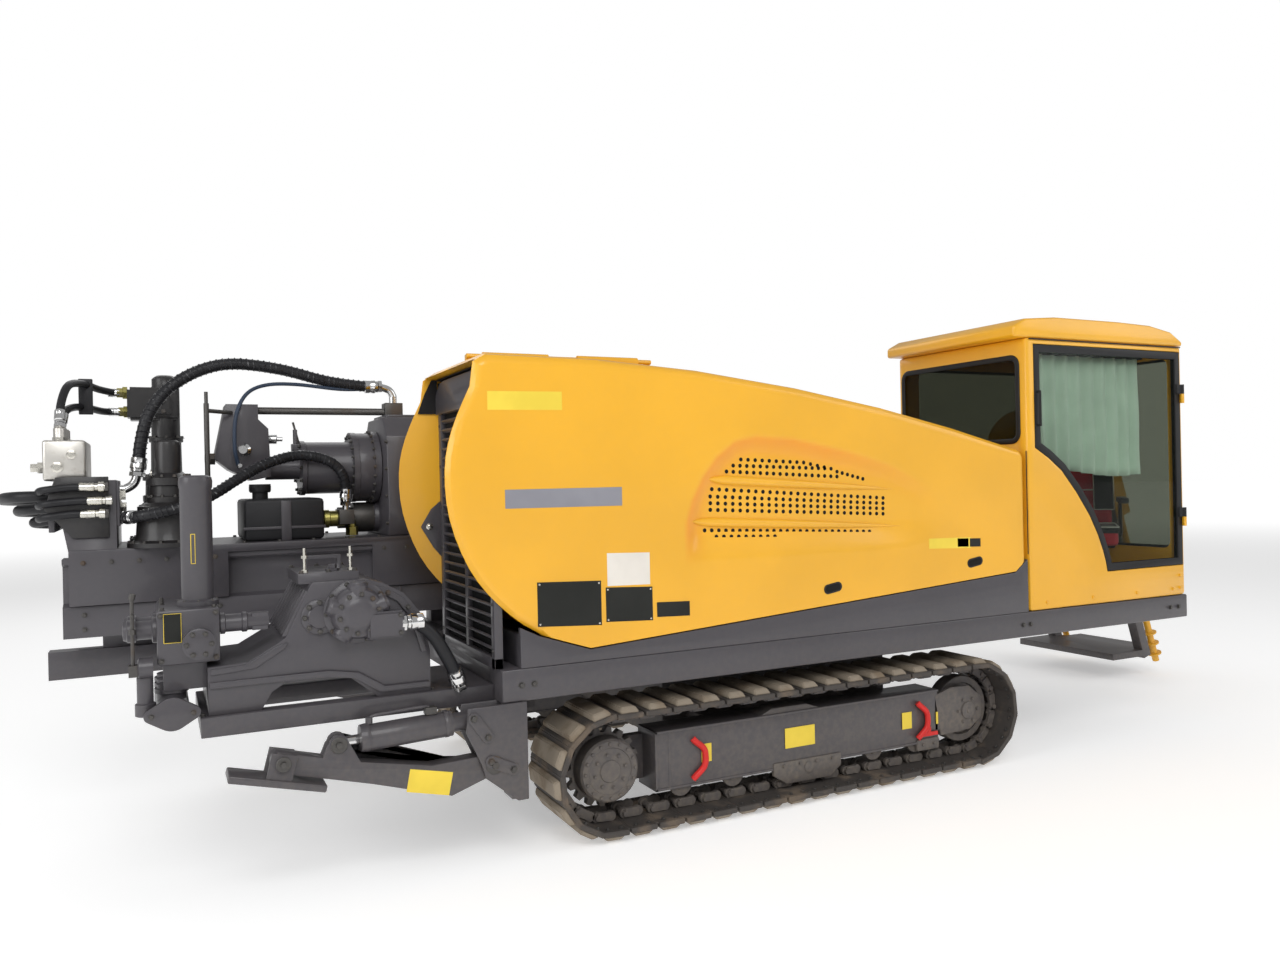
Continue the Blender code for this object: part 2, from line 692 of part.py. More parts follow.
def make_leg(name, side):
    y_in, y_out = LEG_Y
    middle = side * (y_in + y_out) / 2
    half = (y_out - y_in) / 2 - LEG_PLATE
    top = DECK_Z[0] - GAP
    plate = ((DECK_X[0] + 0.11, top), (DECK_X[0] - 0.16, top), (DECK_X[0] - 0.17, 0.60),
             (LEG_PIVOT[0] - 0.055, LEG_PIVOT[1]), (LEG_PIVOT[0] - 0.04, 0.39),
             (DECK_X[0] + 0.06, 0.27), (DECK_X[0] + 0.11, 0.27))
    bracket = box(f"leg_bracket_{name}", (DECK_X[0] + 0.03, min(side * y_in, side * y_out), 0.28),
                  (DECK_X[0] + 0.10, max(side * y_in, side * y_out), top), grey())
    extra = []
    for low, high in ((y_in, y_in + LEG_PLATE), (y_out - LEG_PLATE, y_out)):
        extra.append(prism("bracket_plate", (plate,), "Y", mirrored(side, low, high)))
    for pin, radius in ((LEG_PIVOT, LEG_PIN), (LEG_HEAD, PIN_SMALL)):
        extra.append(rod("pin", (pin[0], side * (y_in + 0.004), pin[1]),
                         (pin[0], side * (y_out - 0.004), pin[1]), radius))
    fuse(bracket, *extra)

    reach = half - 0.005
    span = (middle - reach, middle + reach)
    outline = (arc(LEG_PIVOT, 0.045, -80, 80, 8)
               + [(-2.307, 0.478), (-2.640, 0.545), (-2.840, 0.600)]
               + arc(LEG_FOOT, 0.045, 110, 260, 8)
               + [(-2.560, 0.440), (-2.223, 0.335)])
    arm = prism(f"leg_arm_{name}", (outline,), "Y", span, grey())
    lug = 0.014
    ears = [prism("lug", (((-2.76, 0.56), (-2.735, 0.62)) + tuple(arc(LEG_LUG, 0.04, 170, 10, 6))
                          + ((-2.60, 0.53),),), "Y", side_span)
            for side_span in ((middle - reach, middle - reach + lug),
                              (middle + reach - lug, middle + reach))]
    fuse(arm, *ears)
    cut(arm, rod("pivot_hole", at(LEG_PIVOT, middle - 0.1), at(LEG_PIVOT, middle + 0.1), hole_radius(LEG_PIN)),
        rod("foot_hole", at(LEG_FOOT, middle - 0.1), at(LEG_FOOT, middle + 0.1), hole_radius(FOOT_PIN)))
    eye_half = reach - lug - 0.004
    barrel = make_barrel(f"leg_barrel_{name}", LEG_HEAD, LEG_LUG, middle, LEG_JACKET[1] + 0.012, LEG_BARREL_R,
                         LEG_ROD_R, 0.036, eye_half, PIN_SMALL, 0.03, LEG_JACKET)
    bar = make_rod(f"leg_rod_{name}", LEG_HEAD, LEG_LUG, middle, 0.22, LEG_ROD_R, 0.032, eye_half)

    foot = box(f"leg_foot_{name}", (-0.19, middle - 0.075, -0.095), (0.19, middle + 0.075, -0.065),
               grey(), 0.006)
    cheeks = [box("cheek", (-0.05, min(y, y + 0.012), -0.07), (0.05, max(y, y + 0.012), 0.035))
              for y in (middle - reach - 0.018, middle + reach + 0.006)]
    pin = rod("foot_pin", (0, middle - reach - 0.012, 0), (0, middle + reach + 0.012, 0), FOOT_PIN)
    fuse(foot, *cheeks, pin)
    bake(foot)
    foot.data.transform(Matrix.Translation(at(LEG_FOOT, 0)) @ Matrix.Rotation(FOOT_TILT, 4, "Y"))
    swing = pivot(f"leg_{name}", "swing", at(LEG_PIVOT, middle), [arm])
    toe = pivot(f"leg_{name}", "foot_pivot", at(LEG_FOOT, middle), [foot])
    toe.parent = swing
    toe.matrix_parent_inverse = Matrix.Translation(-Vector(at(LEG_PIVOT, middle)))
    head = pivot(f"leg_{name}", "barrel_pivot", at(LEG_HEAD, middle), [barrel])
    stroke = pivot(f"leg_{name}", "stroke", at(LEG_HEAD, middle), [bar])
    stroke.parent = head
    stroke.matrix_parent_inverse = Matrix.Translation(-Vector(at(LEG_HEAD, middle)))


# Engine hood

def hood_outline():
    """The hood's side view, carried on below its lower edge to be trimmed there."""
    below = [(x, z - HOOD_TRIM) for x, z in HOOD_LOW[:3]]
    front = rounded_path((HOOD_LOW[2], HOOD_LOW[3]) + HOOD_NOSE + HOOD_TOP[:2], HOOD_CURVE_STEPS)
    return list(HOOD_TOP) + below + front[HOOD_CURVE_STEPS:-HOOD_CURVE_STEPS - 1]


def skirt_outline(gap):
    """The grey wall between the deck and the hood's lower edge."""
    floor = DECK_Z[1] + GAP
    edge = [(x, z - gap) for x, z in HOOD_LOW]
    return [(SKIRT_FRONT, floor), (HOOD_LOW[0][0], floor)] + edge + [(SKIRT_FRONT, HOOD_LOW[3][1] + 0.04)]


def hood_half(name, low, high, keep, surface):
    """One half of the hood: a side wall and its part of the top, open in front."""
    shell = prism(name, (hood_outline(),), "Y", (low, high), surface)
    edge = shell.modifiers.new("rounded", "BEVEL")
    edge.width = HOOD_EDGE
    edge.segments = 3
    edge.limit_method = "ANGLE"
    edge.angle_limit = math.radians(60)
    front, rear = HOOD_NOSE[3][0] - 0.1, HOOD_LOW[0][0] - HOOD_SKIN
    inner = [(x, z - HOOD_SKIN) for x, z in HOOD_TOP[:-1]] + [(rear, hood_height(rear) - HOOD_SKIN)]
    inner = [(front, inner[0][1])] + inner + [(rear, 0.7), (front, 0.7)]
    room = prism("room", (inner,), "Y", (HOOD_Y[0] + HOOD_SKIN, HOOD_Y[1] - HOOD_SKIN))
    beyond = box("beyond", (-3, keep[0], 0), (2, keep[1], 3))
    corner_x = HOOD_LOW[0][0] + 0.2
    trim = prism("trim", ([(corner_x, HOOD_LOW[0][1])] + list(HOOD_LOW)
                          + [(HOOD_LOW[3][0] - 0.05, 0.6), (corner_x, 0.6)],), "Y", (-2, 2))
    cut(shell, room, beyond, trim)
    return shell


def make_hood():
    """Fixed far half, hinged near half, and the grey walls under them."""
    low, high = HOOD_Y
    gap = RUN_GAP / 2
    near = hood_half("hood_panel_near", low, high + 0.3, (HOOD_MID - gap, 2), yellow())
    far = hood_half("hood_panel_far", low - 0.3, high, (-2, HOOD_MID + gap), yellow())
    start, end = HINGE_X
    leaf = 0.03
    brackets = []
    for x in (start, (start + end) / 2 - leaf / 2, end - leaf):
        top = hood_height(x + leaf / 2)
        brackets.append(box("bracket", (x, HOOD_MID + 0.004, top - 0.02),
                            (x + leaf, HOOD_MID + 0.03, HINGE_Z + 0.006)))
        brackets.append(box("bracket_eye", (x, HOOD_MID - 0.008, HINGE_Z - 0.008),
                            (x + leaf, HOOD_MID + 0.02, HINGE_Z + 0.008)))
    brackets.append(rod("hinge_rod", (start, HOOD_MID, HINGE_Z), (end, HOOD_MID, HINGE_Z), HINGE_R))
    fuse(far, *brackets)
    knuckles = []
    length = (end - start) / 2
    for x in (start + 0.08, start + length + 0.08):
        stop = x + length - 0.16
        knuckles.append(rod("knuckle", (x, HOOD_MID, HINGE_Z), (stop, HOOD_MID, HINGE_Z), 0.021))
        knuckles.append(box("leaf", (x, HOOD_MID - 0.020, hood_height(stop) - 0.02),
                            (stop, HOOD_MID - gap, HINGE_Z)))
    fuse(near, *knuckles)
    cut(near, rod("hinge_hole", (start - 0.1, HOOD_MID, HINGE_Z), (end + 0.1, HOOD_MID, HINGE_Z),
                  hole_radius(HINGE_R)))
    cut(near, prism("vent", (VENT,), "Y", (low - 0.1, low + VENT_DEPTH)))
    pivot("hood", "swing", (0, HOOD_MID, HINGE_Z), [near])

    floor = DECK_Z[1] + GAP
    skirt = prism("hood_skirt", (skirt_outline(RUN_GAP),), "Y", (low, low + HOOD_SKIN), grey())
    fuse(skirt, prism("far_wall", (skirt_outline(GAP),), "Y", (high - HOOD_SKIN, high)),
         box("front_wall", (SKIRT_FRONT, low + 0.01, floor), (SKIRT_FRONT + 0.03, high - 0.01, 1.00)),
         box("rear_wall", (HOOD_LOW[0][0] - 0.03, low + 0.01, floor),
             (HOOD_LOW[0][0], high - 0.01, HOOD_LOW[0][1] - 0.04)))
    make_grille(floor)


def hood_height(x):
    """The height of the hood's top at a place along it."""
    for (x0, z0), (x1, z1) in zip(HOOD_TOP, HOOD_TOP[1:]):
        if x0 <= x <= x1:
            return z0 + (z1 - z0) * (x - x0) / (x1 - x0)
    return HOOD_TOP[0][1]


def make_grille(floor):
    """The slatted front, set back between the hood's cheeks."""
    low, high = HOOD_Y[0] + HOOD_SKIN + RUN_GAP, HOOD_Y[1] - HOOD_SKIN - RUN_GAP
    border = 0.05
    frame = [(low, floor), (high, floor), (high, GRILLE_TOP), (low, GRILLE_TOP)]
    holes = []
    z = floor + border
    while z + GRILLE_PITCH < GRILLE_TOP - border:
        holes.append(rectangle((low + border, z), (high - border, z + GRILLE_PITCH * 0.55)))
        z += GRILLE_PITCH
    prism("hood_grille", [frame] + holes, "X", GRILLE_X, grey())


def make_engine():
    """The engine, as one plain block on its two feet."""
    floor = DECK_Z[1] + GAP
    block = box("engine_block", (ENGINE_X[0], ENGINE_Y[0], floor + 0.06),
                (ENGINE_X[1], ENGINE_Y[1], ENGINE_TOP), grey(), 0.03)
    feet = [box("foot", (x, ENGINE_Y[0] + 0.04, floor), (x + 0.10, ENGINE_Y[1] - 0.04, floor + 0.08))
            for x in (ENGINE_X[0] + 0.15, ENGINE_X[1] - 0.25)]
    fuse(block, *feet)


# Cab

def door_outline():
    """The door's side view, cut away in a curve at its foot."""
    return ([(DOOR_CURVE[0][0], DOOR_TOP)] + rounded_path(DOOR_CURVE, 2)
            + [(CAB_X[1] - 0.02, DOOR_FOOT), (CAB_X[1] - 0.02, DOOR_TOP)])


def make_cab():
    """The hollow shell with its roof, fixed windows and glass door."""
    (x0, x1), (y0, y1), (z0, z1) = CAB_X, CAB_Y, CAB_Z
    wall = CAB_WALL
    door = door_outline()
    shell = box("cab_shell", (x0, y0, z0), (x1, y1, z1), yellow(), 0.02)
    cuts = [box("room", (x0 + wall, y0 + wall, z0 + wall), (x1 - wall, y1 - wall, z1 + 0.1)),
            prism("doorway", (inset(door, -0.005),), "Y", (y0 - 0.1, y0 + wall + 0.01))]
    panes = []
    (y_a, y_b), (z_a, z_b) = LEFT_WINDOW
    panes.append(("window_left", "X", (y_a, y_b), (z_a, z_b), (x0 + 0.006, x0 + 0.006 + PANE)))
    (y_a, y_b), (z_a, z_b) = RIGHT_WINDOW
    panes.append(("window_right", "X", (y_a, y_b), (z_a, z_b), (x1 - 0.006 - PANE, x1 - 0.006)))
    (x_a, x_b), (z_a, z_b) = FAR_WINDOW
    panes.append(("window_far", "Y", (x_a, x_b), (z_a, z_b), (y1 - 0.006 - PANE, y1 - 0.006)))
    for name, axis, span, height, depth in panes:
        low, high = (span[0], height[0]), (span[1], height[1])
        hole = rounded_rectangle(low, high, 0.05)
        cuts.append(prism(name + "_hole", (hole,), axis, (depth[0] - 0.2, depth[1] + 0.2)))
        prism("cab_" + name, (inset(hole, GAP),), axis, depth, glass())
    cut(shell, *cuts)
    post_x, post_y = HINGE_POST
    rests = []
    for z in DOOR_HINGES_Z:
        rests.append(rod("barrel", (post_x, post_y, z), (post_x, post_y, z + HINGE_LENGTH), HINGE_BARREL))
        rests.append(box("leaf", (post_x - 0.004, post_y, z), (x1 - 0.005, y0 + 0.01, z + HINGE_LENGTH)))
    fuse(shell, *rests)

    roof = prism("cab_roof", (((x0 - ROOF_EAVE, z1 + GAP), (x1 + 0.01, z1 + GAP), (x1 + 0.01, z1 + 0.03),
                               (x1 - 0.10, z1 + 0.09), (x1 - 0.30, ROOF_TOP - 0.008),
                               (x1 - 0.60, ROOF_TOP), (x0 + 0.25, ROOF_TOP), (x0, ROOF_TOP - 0.02),
                               (x0 - ROOF_EAVE, z1 + 0.06)),), "Y", (y0 - 0.005, y1 + 0.005), yellow())
    edge = roof.modifiers.new("rounded", "BEVEL")
    edge.width = 0.012
    edge.segments = 2
    edge.limit_method = "ANGLE"
    edge.angle_limit = math.radians(50)

    frame = prism("cab_door_frame", (door, inset(door, DOOR_BORDER)), "Y",
                  (y0, y0 + DOOR_THICK), black())
    hinges = []
    for base in DOOR_HINGES_Z:
        z, tip = base + HINGE_LENGTH + GAP, base + 2 * HINGE_LENGTH + GAP
        hinges.append(rod("barrel", (post_x, post_y, z), (post_x, post_y, tip), HINGE_BARREL))
        hinges.append(box("leaf", (post_x - 0.05, post_y, z), (post_x, post_y + 0.008, tip)))
        hinges.append(box("leaf_foot", (post_x - 0.05, post_y, z), (post_x - 0.02, y0 + 0.01, tip)))
    x, low, high = door[0][0] + 0.025, DOOR_TOP - 0.48, DOOR_TOP - 0.28
    handle = pipe_shape("handle", ((x, y0 + 0.01, low), (x, y0 - 0.02, low),
                                   (x, y0 - 0.02, high), (x, y0 + 0.01, high)), 0.008)
    fuse(frame, *hinges, handle)
    pane = prism("cab_door_glass", (inset(door, DOOR_BORDER + GAP),), "Y",
                 (y0 + 0.010, y0 + 0.010 + PANE), glass())
    pivot("cab_door", "swing", (post_x, post_y, DOOR_FOOT), [frame, pane])


def pipe_shape(name, points, radius):
    return pipe(name, points, radius, black(), smooth=False)


def rounded_rectangle(low, high, radius):
    corners = ((high[0], high[1], 0), (low[0], high[1], 90), (low[0], low[1], 180), (high[0], low[1], 270))
    points = []
    for u, v, start in corners:
        centre = (u - radius if u == high[0] else u + radius, v - radius if v == high[1] else v + radius)
        points += arc(centre, radius, start, start + 90, 4)
    return points


def make_cab_inside():
    """The seat on its base, and the lever console before it."""
    floor = CAB_Z[0] + CAB_WALL + GAP
    y0, y1 = SEAT_Y
    top, shoulder = SEAT_TOP, SEAT_TOP - 0.18
    seat = box("operator_seat", (1.96, y0, 1.33), (2.44, y1, 1.45), red(), 0.04)
    back = prism("back", (((2.48, 1.40), (2.34, 1.38), (2.44, shoulder), (2.56, shoulder - 0.02)),), "Y",
                 (y0 + 0.01, y1 - 0.01))
    head = prism("head", (((2.56, top - 0.19), (2.46, top - 0.19), (2.49, top), (2.58, top - 0.01)),), "Y",
                 (y0 + 0.12, y1 - 0.12))
    post = box("post", (2.495, y0 + 0.20, top - 0.25), (2.525, y1 - 0.20, top - 0.10))
    arms = [box("arm", (2.09, y, 1.60), (2.44, y + 0.07, 1.66), bevel=0.01) for y in (y0 - 0.08, y1 + 0.01)]
    links = [box("link", (2.34, y, 1.38), (2.41, y + 0.03, 1.62)) for y in (y0 - 0.04, y1 + 0.01)]
    tie = box("tie", (2.34, y0 - 0.03, 1.36), (2.41, y1 + 0.02, 1.42))
    fuse(seat, back, head, post, *arms, *links, tie)
    box("seat_base", (2.02, y0 + 0.06, floor), (2.38, y1 - 0.06, 1.33 - GAP), black(), 0.02)
    console = prism("control_console", (((1.52, floor), (1.34, floor), (1.34, 1.62), (1.50, 1.52)),),
                    "Y", (y0 - 0.05, y1 + 0.07), black())
    levers = [rod("lever", (1.42, y, 1.50), (1.47, y, 1.78), 0.010, sides=10)
              for y in (y0 + 0.08, y0 + 0.20, y0 + 0.30, y0 + 0.42)]
    fuse(console, *levers)


# Drill mast

def make_mast():
    """The two side beams with their stays, the racks, and what hangs on them."""
    low, high = MAST_Z
    start, end = MAST_X
    beams = []
    for side in (-1, 1):
        outer = MAST_Y + side * MAST_HALF
        inner = outer - side * BEAM
        groove = outer - side * 0.045
        outline = ((outer, low), (outer, low + 0.150), (groove, low + 0.165), (groove, high - 0.040),
                   (outer, high - 0.025), (outer, high), (inner, high), (inner, low))
        beams.append(prism("mast_frame", (outline,), "X", (start, end), grey()))
    mast = beams[0]
    extra = [beams[1]]
    half = MAST_HALF - BEAM + 0.01
    for x in MAST_STAYS_X:
        extra.append(box("stay", (x, MAST_Y - half, low + 0.01), (x + STAY, MAST_Y + half, low + 0.10)))
    x, z = MAST_PIVOT
    for y in (CRADLE_Y[0] + EAR + RUN_GAP, CRADLE_Y[1] - 2 * EAR - RUN_GAP):
        ear = prism("ear", (arc((x, z), 0.07, 180, 360, 10) + [(x + 0.11, low + 0.02), (x - 0.11, low + 0.02)],),
                    "Y", (y, y + EAR))
        extra.append(ear)
    eye_x, eye_z = LIFT_EYE
    extra += clevis(LIFT_EYE, (eye_x + 0.04, low + 0.05), MAST_Y, 0.039, 0.034, with_pin=False)
    extra.append(box("hook_web", (-3.60, MAST_Y - 0.02, 0.86), (-3.30, MAST_Y + 0.02, low + 0.03)))
    extra.append(box("hook_beam", (-3.84, MAST_Y - 0.05, 0.74), (-3.10, MAST_Y + 0.05, 0.88)))
    extra.append(box("hook_stay", (-3.62, MAST_Y - half, low + 0.01), (-3.28, MAST_Y + half, low + 0.06)))
    for y in (MAST_Y - MAST_HALF + BEAM - 0.005, MAST_Y + MAST_HALF - BEAM - 0.025):
        extra.append(box("rack", (start + 0.05, y, low + 0.20), (BREAKOUT_X[0] - 0.10, y + 0.03, high - 0.03)))
    fuse(mast, *extra)
    cut(mast, rod("pivot_hole", (x, CRADLE_Y[0] - 0.1, z), (x, CRADLE_Y[1] + 0.1, z), hole_radius(PIN_R)))
    return mast


def make_carriage():
    """The sliding frame under the power head, with its guides and bulkhead."""
    (start, end), high = CARRIAGE_X, MAST_Z[1] + GAP
    low_y, high_y = MAST_Y - CARRIAGE_HALF, MAST_Y + CARRIAGE_HALF
    top = high + CARRIAGE_PLATE
    frame = box("carriage_frame", (start, low_y, high), (end, high_y, top), grey(), 0.004)
    extra = []
    side = 0.014
    for y in (low_y, high_y - side):
        for x0, x1 in ((start, -3.02), (-2.30, end)):
            extra.append(box("side_guide", (x0, y, MAST_Z[0] + 0.155), (x1, y + side, top - 0.01)))
    for y in (low_y + 0.01, high_y - 0.03):
        outline = ((-3.72, top - 0.01), (-3.52, top - 0.01), (-3.52, 1.72), (-3.70, 1.72), (-3.76, 1.62))
        extra.append(prism("cheek", (outline,), "Y", (y, y + 0.02)))
    extra.append(box("bulkhead", (BULKHEAD_X[0], low_y + 0.01, top - 0.01), (BULKHEAD_X[1], high_y - 0.01, 1.73)))
    extra.append(box("shelf", (-3.72, low_y + 0.01, 1.715), (-3.515, high_y - 0.01, 1.735)))
    return fuse(frame, *extra)


def make_feed_drives():
    """The two feed motors, each a stack on its own round base."""
    base = MAST_Z[1] + GAP + CARRIAGE_PLATE + GAP
    drives = []
    for (name, steps), y in zip(FEED_STEPS.items(), MOTOR_Y):
        level = 0.0
        stack = []
        for radius, rise in steps:
            foot = base + max(level - 0.01, 0.0)
            stack.append(rod(f"feed_motor_{name}", (MOTOR_X, y, foot), (MOTOR_X, y, base + rise), radius,
                             grey(), 20))
            level = rise
        if name == "far":
            (x0, x1), (y0, y1), (z0, z1) = FEED_HEAD
            stack.append(box("head", (MOTOR_X + x0, y + y0, base + z0), (MOTOR_X + x1, y + y1, base + z1)))
        drives.append(fuse(*stack))
    return drives


def make_power_head():
    """The gearbox with its motor, spindle housing, swivel and tank."""
    top = MAST_Z[1] + GAP + CARRIAGE_PLATE + GAP
    (start, end), y = GEARBOX_X, MAST_Y
    outline = ((y - 0.30, top), (y + 0.30, top), (y + 0.33, 1.55), (y + 0.30, 1.95), (y + 0.20, GEARBOX_TOP),
               (y - 0.20, GEARBOX_TOP), (y - 0.30, 1.95), (y - 0.33, 1.55))
    gearbox = prism("rotary_gearbox", (outline,), "X", (start, end), grey())
    boss = rod("boss", (end - 0.02, y, SPINDLE_Z), (end + 0.08, y, SPINDLE_Z), 0.16, sides=32)
    hollow = rod("hollow", (end, y, SPINDLE_Z), (end + 0.1, y, SPINDLE_Z), 0.115, sides=32)
    cover = rod("cover", (start - 0.03, y, MOTOR_Z), (start + 0.01, y, MOTOR_Z), 0.085, sides=24)
    fuse(gearbox, boss, cover)
    cut(gearbox, hollow)

    housing = rod("spindle_housing", (start - 0.15, y, SPINDLE_Z), (start - GAP, y, SPINDLE_Z), 0.195,
                  grey(), 32)
    body = rod("body", (-2.62, y, SPINDLE_Z), (start - 0.14, y, SPINDLE_Z), 0.145, sides=32)
    neck = rod("neck", (-2.80, y, SPINDLE_Z), (-2.61, y, SPINDLE_Z), 0.062, sides=24)
    head = prism("head", (((-3.06, 1.84), (-2.99, 1.78), (-2.88, 1.72), (-2.78, 1.74), (-2.79, 2.00),
                           (-2.84, 2.05), (-2.84, 2.13), (-3.00, 2.13)),), "Y", (y - 0.11, y + 0.11))
    bolt = rod("bolt", (-2.64, y, 1.9), (-2.64, y, 2.00), 0.012, sides=10)
    bolt_seat = box("bolt_seat", (-2.66, y - 0.03, 1.88), (-2.60, y + 0.03, 1.92))
    lift = box("lift", (-2.64, y - 0.03, 1.80), (-2.58, y + 0.03, 1.90))
    fuse(housing, body, neck, head, bolt, bolt_seat, lift)

    tie = rod("swivel_tie", (-2.84 + GAP, y - 0.05, 2.10), (-2.14, y - 0.05, 2.10), 0.020, steel(), 14)
    elbow = box("elbow", (-2.16, y - 0.10, GEARBOX_TOP + GAP), (-2.06, y, ELBOW_TOP))
    fuse(tie, elbow)

    motor = rod("rotation_motor", (start - 0.03 - GAP, y, MOTOR_Z), (start - 0.14, y, MOTOR_Z), 0.085,
                grey(), 24)
    fuse(motor, rod("neck", (start - 0.13, y, MOTOR_Z), (start - 0.22, y, MOTOR_Z), 0.060),
         rod("cap", (start - 0.21, y, MOTOR_Z), (start - 0.27, y, MOTOR_Z), 0.042, sides=6),
         box("port", (SIDE_PORT_X[0], y - 0.19, MOTOR_Z - 0.03), (SIDE_PORT_X[1], y - 0.05, SIDE_PORT_TOP)))

    tank = box("oil_tank", (-2.93, y - 0.26, top), (-2.53, y + 0.26, 1.62), black(), 0.02)
    fuse(tank, rod("filler", (-2.84, y - 0.12, 1.60), (-2.84, y - 0.12, 1.67), 0.035, sides=16),
         rod("cap", (-2.84, y - 0.12, 1.66), (-2.84, y - 0.12, 1.70), 0.055, sides=16))

    valve = box("valve_block", (-3.82, y - 0.34, 1.735 + GAP), (-3.64, y + 0.10, VALVE_TOP),
                material("aluminium", (0.62, 0.6, 0.56), 0.4, 0.9), 0.012)
    ports = [rod("port", (-3.75, port_y(index), VALVE_TOP - 0.01), (-3.75, port_y(index), VALVE_TOP + PORT_RISE),
                 0.028, sides=12) for index in range(3)]
    fuse(valve, *ports)

    spindle = rod("spindle", (SPINDLE_X[0], y, SPINDLE_Z), (SPINDLE_X[1], y, SPINDLE_Z), SPINDLE_R, steel(), 28)
    flange = rod("flange", (SPINDLE_X[0], y, SPINDLE_Z), (SPINDLE_X[0] + 0.06, y, SPINDLE_Z), 0.105, sides=28)
    key = box("drive_flat", (SPINDLE_X[1] - 0.13, y - 0.078, SPINDLE_Z - 0.05),
              (SPINDLE_X[1] - 0.05, y + 0.078, SPINDLE_Z + 0.05))
    fuse(spindle, flange, key)
    return [gearbox, housing, tie, motor, tank, valve], spindle


def port_y(index):
    """Where the valve block's top port of that number lies across the machine."""
    return MAST_Y - 0.28 + PORT_PITCH * index


def make_swivel_hoses():
    """The long hose over the power head, the one to its motor and a thin one, from one plate."""
    plate = BULKHEAD_X[1] + GAP
    end = plate + 0.015
    block = box("swivel_hoses", (plate, 0.15, 1.51), (end, 0.36, 1.728), black())
    start = end - 0.004
    main = ((start, 0.300, 1.690), (-3.475, 0.300, 1.692), (-3.435, 0.300, 1.725), (-3.418, 0.305, 1.80),
            (-3.405, 0.315, 1.92), (-3.365, 0.330, 2.070), (-3.275, 0.350, 2.200), (-3.130, 0.380, 2.300),
            (-2.960, 0.400, 2.345), (-2.720, 0.420, 2.325), (-2.480, 0.440, 2.270), (-2.280, 0.450, 2.246),
            (-2.190, 0.450, 2.244), (-2.130, 0.450, 2.227), (-2.107, 0.450, 2.195), (-2.105, 0.450, 2.180),
            (-2.105, 0.450, 2.165), (-2.105, 0.450, ELBOW_TOP + GAP))
    low = ((start, 0.185, 1.550), (-3.480, 0.184, 1.550), (-3.447, 0.130, 1.553), (-3.385, 0.066, 1.562),
           (-3.285, 0.044, 1.580), (-3.190, 0.052, 1.605), (-3.080, 0.090, 1.655), (-2.960, 0.160, 1.730),
           (-2.830, 0.235, 1.800), (-2.690, 0.295, 1.845), (-2.570, 0.308, 1.845), (-2.470, 0.308, 1.805),
           (-2.415, 0.315, 1.735), (-2.400, 0.338, 1.650), (-2.400, 0.346, 1.600), (-2.400, 0.347, 1.580),
           (-2.400, 0.347, 1.565),           (-2.400, 0.347, SIDE_PORT_TOP + GAP))
    thin = ((-2.940, MAST_Y - 0.11 - GAP, 1.80), (-2.940, 0.380, 1.80), (-2.940, 0.372, 1.80),
            (-2.950, 0.345, 1.815), (-2.965, 0.318, 1.90), (-2.955, 0.330, 2.06),
            (-2.900, 0.370, 2.18), (-2.800, 0.400, 2.235), (-2.640, 0.420, 2.245), (-2.400, 0.440, 2.225),
            (-2.220, 0.450, 2.232))
    return fuse(block, pipe("main", main, MAIN_HOSE_R, steps=3), pipe("low", low, HOSE_R, steps=3),
                pipe("thin", thin, THIN_HOSE_R, steps=2))


def make_motor_hoses():
    """The two hoses from the valve block over to the far feed motor, with their clamp."""
    base = MAST_Z[1] + GAP + CARRIAGE_PLATE + GAP
    face = MOTOR_X + FEED_HEAD[0][0] - GAP
    foot = VALVE_TOP + PORT_RISE + GAP
    first, second = port_y(0), port_y(1)
    high = base + 0.81
    low = base + 0.71
    above = ((-3.750, first, foot), (-3.750, first, foot + 0.015), (-3.750, first, foot + 0.03),
             (-3.745, 0.28, high - 0.09),
             (-3.720, 0.38, high), (-3.670, 0.54, high + 0.025), (-3.600, 0.68, high + 0.01),
             (-3.530, 0.748, high), (-3.505, 0.750, high),
             (-3.490, 0.750, high), (face, 0.750, high))
    below = ((-3.750, second, foot), (-3.750, second, foot + 0.015), (-3.750, second, foot + 0.03),
             (-3.740, 0.41, low - 0.03),
             (-3.710, 0.50, low), (-3.660, 0.64, low + 0.01), (-3.590, 0.76, low), (-3.530, 0.788, low),
             (-3.505, 0.790, low), (-3.490, 0.790, low), (face, 0.790, low))
    clamp = box("clamp", (-3.690, 0.575, low - 0.03), (-3.625, 0.595, high + 0.055))
    return fuse(pipe("motor_hoses", above, MOTOR_HOSE_R, black(), steps=2),
                pipe("below", below, MOTOR_HOSE_R, steps=2), clamp)


def make_carriage_hoses():
    """Three feed hoses in a flat loop, from the bulkhead and back to the far side."""
    plate = BULKHEAD_X[0] - GAP
    hoses = []
    for index, (y, z) in enumerate(((0.22, 1.66), (0.34, 1.60), (0.46, 1.54))):
        reach = HALF_LENGTH - HOSE_R - index * 0.065
        back = 0.80 - index * 0.075
        route = ((plate, y, z), (plate - 0.04, y, z), (plate - 0.10, y, z), (-reach + 0.10, y + 0.03, z + 0.002),
                 (-reach, (y + back) / 2, z - 0.01), (-reach + 0.10, back - 0.03, z - 0.02),
                 (plate - 0.10, back, z - 0.02), (plate - 0.04, back, z - 0.02), (plate, back, z - 0.02))
        hoses.append(pipe("carriage_hoses", route, HOSE_R, black(), steps=3))
    clamp = box("clamp", (-3.80, 0.16, 1.49), (-3.775, 0.84, 1.70))
    return fuse(hoses[0], hoses[1], hoses[2], clamp)


